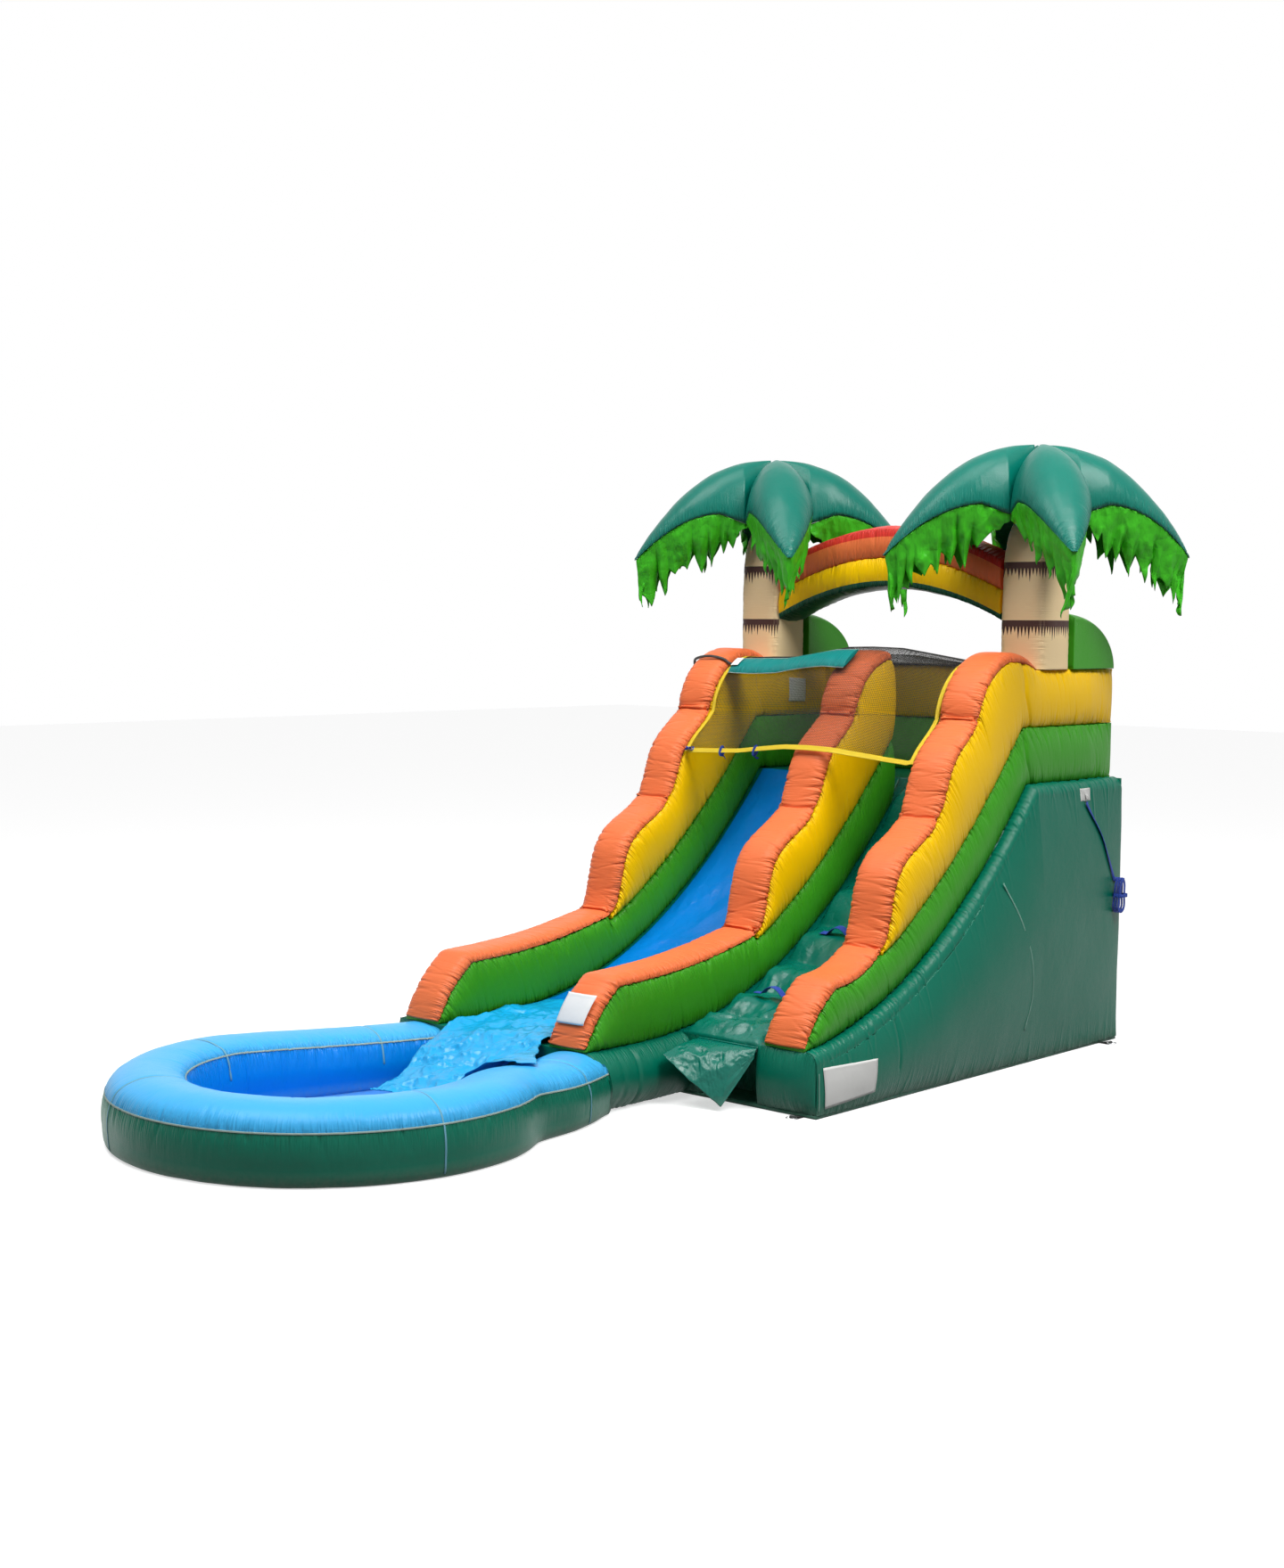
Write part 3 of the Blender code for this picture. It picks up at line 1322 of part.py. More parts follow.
# Spray line over the head of the slide
SLEEVE_OVER_SHARES = ((-1.0, 0.5), (-0.6, 0.85), (0.0, 1.0), (0.6, 0.85), (1.0, 0.5))
SLEEVE_UNDER_SHARES = ((-1.0, 0.5), (-0.6, 0.12), (0.0, 0.0), (0.6, 0.12), (1.0, 0.5))


def sleeve_lift():
    """Height over the net at which the sleeve starts, clear of the net's own facets."""
    return NET_SHEET / 2 + SLEEVE_REST


def build_sleeve():
    """A flat fabric sleeve that carries the spray line across the slide lane, on the net."""
    start = -(RIGHT_WALL_X - HALF_SEAM - WEBBING_WIDTH) + SLEEVE_MARGIN
    end = CENTRE_WALL_X
    half = SLEEVE_WIDTH / 2
    section = [(share, lift) for share, lift in SLEEVE_OVER_SHARES]
    folds = [share for share, _ in SLEEVE_UNDER_SHARES[1:-1]]
    folds += [(run - SLEEVE_RUN) / half for run in LONG_LINE[:, 0] if abs(run - SLEEVE_RUN) < half]
    for share in sorted(set(folds), reverse=True):
        section.append((share, float(np.interp(share, *zip(*SLEEVE_UNDER_SHARES)))))
    rings = []
    columns = [x for x in NET_COLUMNS if start < x < end]
    for x in [start] + columns + [end]:
        ring = []
        for run_share, lift_share in section:
            run = SLEEVE_RUN + run_share * half
            ring.append(net_point(run, x, sleeve_lift() + lift_share * SLEEVE_THICKNESS))
        rings.append(ring)
    add_object("sleeve_band", loft(rings), "teal_vinyl")


HOSE_TURNS_DEGREES = (12, 45, 90, 135, 168)


def hose_path():
    """Route of the spray hose: out of the sleeve, over the wall's cap and down its outer side."""
    stand_off = HOSE_RADIUS + HOSE_REST
    leave = -(RIGHT_WALL_X - HALF_SEAM - WEBBING_WIDTH) + SLEEVE_MARGIN - SEAM_GAP
    lift = sleeve_lift() + SLEEVE_THICKNESS / 2
    points = [net_point(SLEEVE_RUN, leave, lift)]
    points.append((leave - 2 * HOSE_RADIUS, points[0][1], points[0][2]))
    base = Vector(net_point(SLEEVE_RUN, -INNER_X, 0.0))
    up = (Vector(net_point(SLEEVE_RUN, -INNER_X, 1.0)) - base).normalized()
    base += up * NET_SHEET / 2
    for degrees in HOSE_TURNS_DEGREES:
        angle = math.radians(degrees)
        x = LEFT_WALL_X + (HALF_SEAM + stand_off) * math.cos(angle)
        rise = (CAP_CROWN + stand_off) * math.sin(angle) ** 0.75 + HOSE_REST
        spot = base + up * rise
        points.append((x, spot.y, spot.z))
    outer_x = LEFT_WALL_X - HALF_WALL - NUT_RADIUS - HOSE_REST
    foot = base - up * HOSE_FALL / 2
    points.append((outer_x + NUT_RADIUS / 3, foot.y, foot.z))
    points.append((outer_x, foot.y, foot.z - HOSE_FALL / 3))
    points.append((outer_x, foot.y, foot.z - HOSE_FALL / 3 - 2 * HOSE_RADIUS))
    points.append((outer_x, foot.y, foot.z - HOSE_FALL / 3 - 2 * HOSE_RADIUS - NUT_LENGTH))
    return points


def build_hose():
    """The black spray hose and the union nut that turns on its lower end."""
    route = hose_path()
    path = led_path(route, 3)
    tube_object("spray_hose", path, HOSE_RADIUS, "black_rubber", resolution=2)
    end = Vector(route[-1])
    sides = 16
    throat = HOSE_RADIUS / math.cos(math.pi / sides) + NUT_CLEARANCE
    profile = [
        (throat, NUT_LENGTH - NUT_GRIP),
        (throat, NUT_THREAD_DEPTH - NUT_GRIP),
        (NUT_THREAD, NUT_THREAD_DEPTH - NUT_GRIP),
        (NUT_THREAD, -NUT_GRIP),
        (NUT_RADIUS - NUT_GRIP, -NUT_GRIP),
        (NUT_RADIUS, 0.0),
        (NUT_RADIUS, NUT_LENGTH - 2 * NUT_GRIP),
        (NUT_RADIUS - NUT_GRIP, NUT_LENGTH - NUT_GRIP),
    ]
    rings = []
    for k in range(sides):
        angle = 2 * math.pi * k / sides
        grip = NUT_GRIP * (k % 2)
        ring = []
        for radius, z in profile:
            reach = radius - grip if radius > NUT_THREAD else radius
            ring.append((end.x + reach * math.cos(angle), end.y + reach * math.sin(angle), end.z + z))
        rings.append(ring)
    add_object("hose_coupling", loft(rings, closed=True), "blue_plastic", tuple(end))


# Tether on the right-hand side; shares of its way back and down, from the patch to the hank
STRAP_ROUTE_SHARES = ((0.18, 0.18), (0.47, 0.43), (0.70, 0.715), (0.857, 0.924))
LOOP_POINTS = 24


def side_surface(run, height):
    """How far the side panel's facets stand out at a run and a height."""
    index = int(np.clip(np.searchsorted(STATIONS, run), 1, len(STATIONS) - 1))
    outs = []
    for station in STATIONS[index - 1 : index + 1]:
        top = bed_height(station)
        bottom = FLOOR_SHEET + SEAM_GAP
        heights = [bottom + (top - bottom) * t for t in PANEL_SHARES]
        outs.append(np.interp(height, heights, [side_panel_x(station, z) for z in heights]))
    return float(np.interp(run, STATIONS[index - 1 : index + 1], outs))


def box(low, high):
    """A rectangular block between two corners."""
    outline = [
        (low[0], low[1], low[2]),
        (high[0], low[1], low[2]),
        (high[0], high[1], low[2]),
        (low[0], high[1], low[2]),
    ]
    return plate(outline, (0.0, 0.0, high[2] - low[2]))


def patch_face():
    """The plane in which the tether's patch lies on the side panel."""
    runs = (PATCH_RUN - PATCH_WIDTH / 2, PATCH_RUN + PATCH_WIDTH / 2)
    heights = (PATCH_HEIGHT - PATCH_TALL / 2, PATCH_HEIGHT + PATCH_TALL / 2)
    return max(side_surface(run, height) for run in runs for height in heights) + PATCH_REST


def build_tether():
    """A sewn patch with a folded webbing loop, and the strap and hank that hang from it."""
    face = patch_face()
    half = PATCH_WIDTH / 2
    low = (face, y_at(PATCH_RUN) - half, PATCH_HEIGHT - PATCH_TALL / 2)
    high = (face + PATCH_SHEET, y_at(PATCH_RUN) + half, PATCH_HEIGHT + PATCH_TALL / 2)
    patch = add_object("tether_patch", box(low, high), "white_webbing")
    loop_y = y_at(PATCH_RUN)
    loop_low = PATCH_HEIGHT - LOOP_TALL
    loop = add_object(
        "tether_loop_shape",
        box(
            (face + PATCH_SHEET / 2, loop_y - LOOP_WIDTH / 2, loop_low),
            (face + PATCH_SHEET + LOOP_THICKNESS, loop_y + LOOP_WIDTH / 2, PATCH_HEIGHT),
        ),
        "white_webbing",
    )
    add_boolean(patch, loop, "UNION")
    strap_x = face + PATCH_SHEET + LOOP_THICKNESS / 2
    start = Vector((strap_x, loop_y, loop_low - SEAM_GAP))
    hank = hank_path()
    stop = Vector(hank[0])
    stop.y -= SEAM_GAP
    route = [start, start - Vector((0.0, 0.0, 2 * STRAP_RADIUS))]
    for back_share, down_share in STRAP_ROUTE_SHARES:
        run = PATCH_RUN + (HANK_RUN - PATCH_RUN) * back_share
        height = start.z + (stop.z - start.z) * down_share
        stand = side_surface(run, height) + STRAP_RADIUS + STRAP_REST
        route.append(Vector((stand, y_at(run), height)))
    route.append(stop - Vector((0.0, 2 * STRAP_RADIUS, 0.0)))
    route.append(stop)
    tube_object("tether_strap", led_path(route, 3), STRAP_RADIUS, "blue_webbing", resolution=2)
    tube_object("tether_hank", hank, STRAP_RADIUS, "blue_webbing", resolution=1)
    print(f"least gap in the hank {least_gap(hank, STRAP_RADIUS) * 1000:.2f} mm")


def hank_path():
    """Loops of webbing drawn in at the waist, that step outward along their front run."""
    stand = HALF_BASE + PANEL_BULGE / 3 + STRAP_RADIUS
    lead = (stand, y_at(HANK_RUN) - 2 * STRAP_RADIUS, HANK_HEIGHT + HANK_HALF_HEIGHT)
    points = [lead]
    for k in range(HANK_TURNS * LOOP_POINTS + 1):
        turn = k / LOOP_POINTS
        angle = 2 * math.pi * turn
        waist = 1 - HANK_WAIST_SHARE * math.sin(angle) ** 4
        climb = min(max((turn % 1.0 - HANK_CLIMB_SHARE) / HANK_STEP_SHARE, 0.0), 1.0)
        layer = math.floor(turn + 1e-9) + climb * climb * (3 - 2 * climb)
        points.append(
            (
                stand + HANK_PITCH * layer,
                y_at(HANK_RUN) + HANK_HALF_WIDTH * math.sin(angle) * waist,
                HANK_HEIGHT + HANK_HALF_HEIGHT * math.cos(angle),
            )
        )
    return points


def least_gap(path, radius):
    """Smallest clear distance between turns of a tube, measured on its points."""
    points = np.array(path[1:])
    away = np.linalg.norm(points[:, None] - points[None, :], axis=2)
    apart = np.abs(np.subtract.outer(np.arange(len(points)), np.arange(len(points))))
    return away[apart > LOOP_POINTS // 3].min() - 2 * radius


# Rear fittings
def build_blower_tube():
    """The fabric inflation sleeve at the rear, open at both ends."""
    sides = 24
    near = y_at(0.0) + SEAM_GAP
    stations = (0.0, 0.5, 1.0)
    rings = []
    for k in range(sides):
        angle = 2 * math.pi * k / sides
        outer = []
        inner = []
        for share in stations:
            drop = (FLOOR_SHEET + SEAM_GAP) * share
            centre = BLOWER_TUBE_RADIUS + FLOOR_SHEET + SEAM_GAP - drop
            y = near + BLOWER_TUBE_LENGTH * share
            for radius, row in (
                (BLOWER_TUBE_RADIUS, outer),
                (BLOWER_TUBE_RADIUS - BLOWER_TUBE_SHEET, inner),
            ):
                x = BLOWER_OFFSET + radius * math.cos(angle)
                row.append((x, y, centre + radius * math.sin(angle)))
        rings.append(outer + list(reversed(inner)))
    add_object("inflation_sleeve", loft(rings, closed=True), "dark_green_vinyl")


def build_zip():
    """The deflation zip on the rear face: tape, bead and a slider with its pull."""
    face = y_at(0.0) + SEAM_GAP
    start = -ZIP_OFFSET - ZIP_LENGTH / 2
    half_tape = ZIP_WIDTH / 2
    half_bead = BEAD_WIDTH / 2
    bead_face = face + ZIP_SHEET + BEAD_HEIGHT
    tape = [
        (start, face, ZIP_HEIGHT - half_tape),
        (start, face, ZIP_HEIGHT + half_tape),
        (start, face + ZIP_SHEET, ZIP_HEIGHT + half_tape),
        (start, face + ZIP_SHEET, ZIP_HEIGHT + half_bead),
        (start, bead_face, ZIP_HEIGHT + half_bead),
        (start, bead_face, ZIP_HEIGHT - half_bead),
        (start, face + ZIP_SHEET, ZIP_HEIGHT - half_bead),
        (start, face + ZIP_SHEET, ZIP_HEIGHT - half_tape),
    ]
    add_object("zip_tape", plate(tape, (ZIP_LENGTH, 0.0, 0.0)), "zip_tape")
    left = start + SLIDER_CLEARANCE
    inner_y = face + ZIP_SHEET + SLIDER_CLEARANCE
    outer_y = inner_y + SLIDER_DEPTH
    channel_y = bead_face + SLIDER_CLEARANCE
    half_slider = SLIDER_WIDTH / 2
    half_channel = half_bead + SLIDER_CLEARANCE
    saddle = [
        (left, inner_y, ZIP_HEIGHT + half_slider),
        (left, outer_y, ZIP_HEIGHT + half_slider),
        (left, outer_y, ZIP_HEIGHT - half_slider),
        (left, inner_y, ZIP_HEIGHT - half_slider),
        (left, inner_y, ZIP_HEIGHT - half_channel),
        (left, channel_y, ZIP_HEIGHT - half_channel),
        (left, channel_y, ZIP_HEIGHT + half_channel),
        (left, inner_y, ZIP_HEIGHT + half_channel),
    ]
    centre = (left + SLIDER_LENGTH / 2, (inner_y + outer_y) / 2, ZIP_HEIGHT)
    slider = add_object("zip_slider", plate(saddle, (SLIDER_LENGTH, 0.0, 0.0)), "plated_steel", centre)
    pull_x = centre[0]
    pull = box(
        (pull_x - PULL_WIDTH / 2, outer_y - PULL_SHEET, ZIP_HEIGHT - PULL_LENGTH),
        (pull_x + PULL_WIDTH / 2, outer_y + PULL_SHEET, ZIP_HEIGHT),
    )
    add_boolean(slider, add_object("zip_pull_shape", pull, "plated_steel"), "UNION")


def main():
    """Clear the scene and build every piece."""
    for item in list(bpy.data.objects):
        bpy.data.objects.remove(item)
    build_floor()
    build_side_panels()
    build_end_panels()
    build_beds()
    build_formers()
    build_exit_base()
    build_walls()
    build_back_wall()
    build_palms()
    build_arch()
    build_net()
    build_net_webbing()
    build_pool()
    build_liner()
    build_flap()
    build_handles()
    build_sleeve()
    build_hose()
    build_tether()
    build_blower_tube()
    build_zip()
    build_anchor_rings()


main()
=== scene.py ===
"""Looks of the inflatable water slide: its coated fabric skins, net, cords, light and camera."""

import logging
import math
from dataclasses import dataclass, field
from enum import Enum

import bpy
import numpy as np
from mathutils import Matrix


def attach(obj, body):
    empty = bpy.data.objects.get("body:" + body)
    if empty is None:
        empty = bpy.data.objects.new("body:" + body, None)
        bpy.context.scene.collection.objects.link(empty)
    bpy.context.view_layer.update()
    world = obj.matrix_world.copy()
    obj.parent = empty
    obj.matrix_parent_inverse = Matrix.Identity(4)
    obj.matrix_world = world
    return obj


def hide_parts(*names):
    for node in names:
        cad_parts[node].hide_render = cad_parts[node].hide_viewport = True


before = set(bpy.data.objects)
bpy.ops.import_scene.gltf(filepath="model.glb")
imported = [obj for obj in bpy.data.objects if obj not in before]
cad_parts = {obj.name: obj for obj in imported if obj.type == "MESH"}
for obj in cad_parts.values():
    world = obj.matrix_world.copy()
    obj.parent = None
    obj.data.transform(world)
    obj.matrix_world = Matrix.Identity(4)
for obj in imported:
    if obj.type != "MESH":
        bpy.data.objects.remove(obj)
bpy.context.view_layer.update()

LOG = logging.getLogger("water_slide")
Colour = tuple[float, float, float]


@dataclass(frozen=True)
class Plan:
    """Main sizes in metres; a run is a distance forward from the rear face."""

    palm_setback: float = 0.72
    half_wall: float = 0.1725
    half_base: float = 1.2865
    left_x: float = -1.062
    centre_x: float = 0.144
    right_x: float = 1.062
    inner_x: float = 0.8895
    platform: float = 1.72
    platform_run: float = 1.03
    runout: float = 0.34
    runout_run: float = 3.60
    bed_power: float = 2.2
    green_top: float = 2.08
    wall_top: float = 2.434
    base_run: float = 3.20
    long_wall: float = 3.98
    cap_start: float = 0.925
    crest_run: float = 1.18
    junction_run: float = 2.53
    cap_crown: float = 0.07

    def y_at(self, run: np.ndarray | float) -> np.ndarray | float:
        """The y coordinate of a run."""
        return self.palm_setback - run

    def bed(self, run: np.ndarray | float) -> np.ndarray:
        """Height of the bed: level platform, a falling power curve, then the level run-out."""
        span = self.runout_run - self.platform_run
        fall = np.clip((np.asarray(run, float) - self.platform_run) / span, 0, 1)
        return self.runout + (self.platform - self.runout) * (1 - fall) ** self.bed_power

    def seam(self, run: np.ndarray | float) -> np.ndarray:
        """Height of the green and yellow seam: level, then a sagging line to the junction."""
        share = np.clip((np.asarray(run, float) - 1.073) / (self.junction_run - 1.073), 0, 1)
        return self.green_top - (self.green_top - 0.80) * share - 0.5 * share * (1 - share)

    def cap(self, tip_run: float) -> tuple[np.ndarray, np.ndarray, np.ndarray]:
        """The seam under an orange cap, from trunk to tip.

        Each span between two waists is a chord pushed out square to itself by a sine.

        Args:
            tip_run: Run of the wall's tip.

        Returns:
            Runs and heights (n, 2), the crown's share at each, and closeness to a waist.
        """
        start = (self.cap_start, self.wall_top)
        crest = (self.crest_run, self.wall_top + 0.05)
        waists = ((1.54, 2.14), (1.95, 1.57), (2.49, 0.85))
        shoulder = (tip_run - 0.27, 0.68)
        tip = (tip_run, float(self.bed(tip_run)) + 0.02)
        spans = (
            (start, crest, 0.017, 1.0, 0.35, 1.0),
            (crest, waists[0], 0.088, 0.7, 1.0, 0.6),
            (waists[0], waists[1], 0.062, 2.0, 0.6, 0.6),
            (waists[1], waists[2], 0.128, 2.0, 0.6, 0.6),
            (waists[2], shoulder, -0.04, 1.0, 0.6, 1.0),
            (shoulder, tip, 0.025, 1.0, 1.0, 0.35),
        )
        lines = []
        crowns = []
        for first, last, swell, power, crown_in, crown_out in spans:
            t = np.linspace(0, 1, 80, endpoint=False)
            a = np.array(first)
            along = np.array(last) - a
            side = np.array([-along[1], along[0]]) / np.hypot(*along)
            lines.append(a + t[:, None] * along + (swell * np.sin(np.pi * t) ** power)[:, None] * side)
            crowns.append(1 - (1 - crown_in) * (1 - t) ** 3 - (1 - crown_out) * t**3)
        line = np.vstack(lines + [np.array([tip])])
        crown = np.concatenate(crowns + [[0.35]])
        waist = sum(np.exp(-(np.hypot(*(line - np.array(w)).T) / 0.05) ** 2) for w in waists)
        return line, crown, waist


PLAN = Plan()


FORMERS = ("former_left", "former_right")


# Small sums that several surfaces share
def unit(vectors: np.ndarray) -> np.ndarray:
    """Vectors with a length of one."""
    return vectors / np.maximum(np.linalg.norm(vectors, axis=-1, keepdims=True), 1e-9)


def stacked(*parts: np.ndarray | float) -> np.ndarray:
    """Coordinates, spread to one shape, as points."""
    return np.stack(np.broadcast_arrays(*parts), axis=-1)


def softened(t: np.ndarray) -> np.ndarray:
    """A share eased in and out: 3t² - 2t³."""
    return t * t * (3 - 2 * t)


def eased(count: int) -> np.ndarray:
    """Places from 0 to 1 that are closest at both ends."""
    return (1 - np.cos(np.pi * np.linspace(0, 1, count))) / 2


def full_turn(count: int) -> np.ndarray:
    """Angles evenly round a circle."""
    return np.linspace(0, 2 * np.pi, count, endpoint=False)


def signed_power(value: np.ndarray, power: float) -> np.ndarray:
    """A value to a power, with its sign kept."""
    return np.sign(value) * np.abs(value) ** power


def bell(away: np.ndarray | float, width: float) -> np.ndarray:
    """A swell that fades as exp(-(away/width)²)."""
    return np.exp(-((away / width) ** 2))


def measured(line: np.ndarray) -> np.ndarray:
    """Distance of each point along a polyline."""
    return np.concatenate([[0.0], np.cumsum(np.linalg.norm(np.diff(line, axis=0), axis=1))])


def averaged(values: np.ndarray, reach: int) -> np.ndarray:
    """A moving mean over so many neighbours each way, with the end values repeated."""
    count = 2 * reach + 1
    return np.convolve(np.pad(values, reach, mode="edge"), np.ones(count) / count, mode="valid")


def rounded_span(a: np.ndarray, b: np.ndarray, c: np.ndarray, d: np.ndarray, t: np.ndarray) -> np.ndarray:
    """The Catmull-Rom curve from b to c between its neighbours a and d, at shares t."""
    bend = (2 * a - 5 * b + 4 * c - d) * t**2 + (3 * b - a - 3 * c + d) * t**3
    return b + (c - a) * t / 2 + bend / 2


# Smooth random fields and folds, as whole-array functions
def cloud(points: np.ndarray, cell: float, seed: int) -> np.ndarray:
    """Smooth random heights from -1 to 1: a lattice of random values, blended by smoothsteps."""
    table = np.random.default_rng(seed).uniform(-1, 1, (48, 48, 48))
    scaled = points / cell + 11.37
    low = np.floor(scaled).astype(int)
    part = scaled - low
    part = softened(part)
    total = np.zeros(points.shape[:-1])
    for corner in range(8):
        step = np.array([(corner >> k) & 1 for k in range(3)])
        weight = np.prod(np.where(step, part, 1 - part), axis=-1)
        index = (low + step) % 48
        total += weight * table[index[..., 0], index[..., 1], index[..., 2]]
    return total


def crumple(u: np.ndarray, v: np.ndarray, cell: float, seed: int, octaves: int = 3) -> np.ndarray:
    """Folds of loose fabric from -1 to 1: sharp ridges where a smooth field passes zero.

    Each octave is finer, lower and turned against the one before.
    """
    total = np.zeros(np.broadcast(u, v).shape)
    for octave in range(octaves):
        turn = 0.7 + 1.1 * octave + seed
        a = u * math.cos(turn) - v * math.sin(turn)
        b = u * math.sin(turn) + v * math.cos(turn)
        field_points = stacked(a, 0.55 * b, 0.0)
        ridge = 1 - 2.4 * np.abs(cloud(field_points, cell=cell / 1.9**octave, seed=seed + octave))
        total += np.clip(ridge, -0.8, 1) / 1.8**octave
    return total / 1.6


@dataclass
class Skin:
    """A surface as a grid of points: rows along the piece, columns across it.

    Attributes:
        points: Rows × columns × 3.
        seams: Columns that lie on a seam.
        closed: The last column joins the first.
    """

    points: np.ndarray
    seams: tuple[int, ...] = ()
    closed: bool = True

    @classmethod
    def flat(cls, points: np.ndarray) -> "Skin":
        """An open surface without seams."""
        return cls(points, (), False)

    def across(self) -> np.ndarray:
        """Distance across the surface from column 0, with one more column where it is closed."""
        loop = self.points
        if self.closed:
            loop = np.concatenate([loop, loop[:, :1]], axis=1)
        steps = np.linalg.norm(np.diff(loop, axis=1), axis=2)
        return np.concatenate([np.zeros((len(steps), 1)), np.cumsum(steps, axis=1)], axis=1)

    def along(self) -> np.ndarray:
        """Distance along the surface of each row, the mean over its columns."""
        steps = np.linalg.norm(np.diff(self.points, axis=0), axis=2).mean(axis=1)
        return np.concatenate([[0.0], np.cumsum(steps)])

    def from_column(self, column: int) -> np.ndarray:
        """Distance of every point from one column, the short way round."""
        across = self.across()
        count = self.points.shape[1]
        away = np.abs(across[:, :count] - across[:, column : column + 1])
        return np.minimum(away, across[:, -1:] - away) if self.closed else away

    def from_seams(self) -> np.ndarray:
        """Distance of every point from its nearest seam, or a metre where there is none."""
        if not self.seams:
            return np.ones(self.points.shape[:2])
        return np.min([self.from_column(k) for k in self.seams], axis=0)

    def normals(self) -> np.ndarray:
        """Unit normals: the cross product of the grid's two gradients, turned outward."""
        down = np.gradient(self.points, axis=0)
        if self.closed:
            side = np.roll(self.points, -1, axis=1) - np.roll(self.points, 1, axis=1)
        else:
            side = np.gradient(self.points, axis=1)
        out = unit(np.cross(down, side))
        if self.closed:
            centre = self.points.mean(axis=1, keepdims=True)
            if np.sum(out * (self.points - centre)) < 0:
                out = -out
        return out

    def pushed(self, amount: np.ndarray) -> "Skin":
        """The surface moved along its normals by an amount at each point."""
        return Skin(self.points + self.normals() * amount[..., None], self.seams, self.closed)

    def gathered(
        self, seed: int, depth: float = 0.006, reach: float = 0.05, pitch: float = 0.05
    ) -> "Skin":
        """The surface with puckers drawn in beside its seams.

        Each pucker is a trough exp(-(s/w)²), square to the seam, that fades as exp(-(d/r)^1.3);
        places, widths, depths, reaches and slants are uneven.
        """
        along = self.along()[:, None]
        amount = np.zeros(self.points.shape[:2])
        for number, column in enumerate(self.seams):
            away = self.from_column(column)
            rng = np.random.default_rng(seed * 37 + number)
            count = max(int(along[-1, 0] / pitch), 2)
            places = (np.arange(count) + rng.uniform(0.1, 0.9, count)) * along[-1, 0] / count
            widths = rng.uniform(0.16, 0.34, count) * pitch
            depths = depth * rng.uniform(0.2, 1.0, count) ** 1.4
            reaches = reach * rng.uniform(0.4, 1.9, count)
            slants = rng.normal(0.0, 0.22, count)
            for place, width, deep, far, slant in zip(places, widths, depths, reaches, slants):
                near = np.abs(along[:, 0] - place) < 5 * width + 0.08
                apart = (along[near] - place - slant * away[near]) / width
                amount[near] -= deep * np.exp(-(apart**2)) * np.exp(-((away[near] / far) ** 1.3))
        return self.pushed(amount)

    def buckled(self, seed: int, depth: float = 0.004, cell: float = 0.22) -> "Skin":
        """The surface with slow uneven swells, from a smooth random field in space."""
        swell = cloud(self.points, cell, seed) + 0.4 * cloud(self.points, cell / 2.7, seed + 1)
        return self.pushed(depth * swell)

    def creased(self, place: float, depth: float, width: float, bow: float = 0.0) -> "Skin":
        """The surface with one crease drawn in right across it at a distance along."""
        off = self.from_seams()
        apart = (self.along()[:, None] - place - bow * off) / width
        return self.pushed(-depth * np.exp(-(apart**2)) - depth * 0.35 * bell(apart, 3))


def even_rows(line: np.ndarray, spacing: float) -> np.ndarray:
    """Positions from 0 to len-1 along a polyline at which rows stand, evenly spaced by length."""
    length = measured(line)
    count = max(int(length[-1] / spacing), 4)
    return np.interp(np.linspace(0, length[-1], count), length, np.arange(len(line)))


def sample(line: np.ndarray, places: np.ndarray) -> np.ndarray:
    """A polyline or table of values read at fractional positions."""
    base = np.arange(len(line))
    if line.ndim == 1:
        return np.interp(places, base, line)
    return np.stack([np.interp(places, base, part) for part in line.T], axis=1)


def smooth(line: np.ndarray, width: int) -> np.ndarray:
    """A line rounded by a moving mean, with its ends kept."""
    kernel = np.ones(2 * width + 1) / (2 * width + 1)
    padded = np.pad(line, ((width, width), (0, 0)), mode="reflect", reflect_type="odd")
    return np.stack([np.convolve(part, kernel, mode="valid") for part in padded.T], axis=1)


def spline(points: list[tuple[float, float, float]], spans: int) -> np.ndarray:
    """A Catmull-Rom curve through control points, with so many spans between two."""
    given = np.array(points, float)
    knots = np.vstack([2 * given[0] - given[1], given, 2 * given[-1] - given[-2]])
    t = (np.arange(spans) / spans)[:, None]
    found = []
    for a, b, c, d in zip(knots, knots[1:], knots[2:], knots[3:]):
        found.append(rounded_span(a, b, c, d, t))
    return np.vstack(found + [given[-1:]])


def sweep(
    path: np.ndarray,
    section: np.ndarray,
    up: tuple[float, float, float],
    twist: np.ndarray | None = None,
    closed_path: bool = False,
) -> np.ndarray:
    """A section carried along a path.

    Args:
        path: n × 3 points.
        section: m × 2 points, sideways and up.
        up: A direction that no part of the path follows.
        twist: Angle of the section at each path point.
        closed_path: The path's end meets its start.

    Returns:
        n × m × 3 points: path + side·a + rise·b, with side = tangent × up.
    """
    if closed_path:
        tangent = unit(np.roll(path, -1, axis=0) - np.roll(path, 1, axis=0))
    else:
        tangent = unit(np.gradient(path, axis=0))
    side = unit(np.cross(tangent, np.array(up)))
    rise = np.cross(side, tangent)
    angle = np.zeros(len(path)) if twist is None else twist
    cos, sin = np.cos(angle)[:, None], np.sin(angle)[:, None]
    turned_side = side * cos + rise * sin
    turned_rise = rise * cos - side * sin
    return (
        path[:, None]
        + turned_side[:, None] * section[None, :, :1]
        + turned_rise[:, None] * section[None, :, 1:]
    )


def round_section(radius: float, count: int = 14) -> np.ndarray:
    """A circle as m × 2 points."""
    turn = full_turn(count)
    return radius * stacked(np.cos(turn), np.sin(turn))


def strap_section(width: float, thickness: float, count: int = 9) -> np.ndarray:
    """A flat strap with rounded edges as m × 2 points."""
    across = np.linspace(-1, 1, count)
    half = thickness / 2 * np.sqrt(1 - 0.92 * across**4)
    top = stacked(across * width / 2, half)
    return np.concatenate([top, stacked(top[::-1, 0], -half[::-1])])


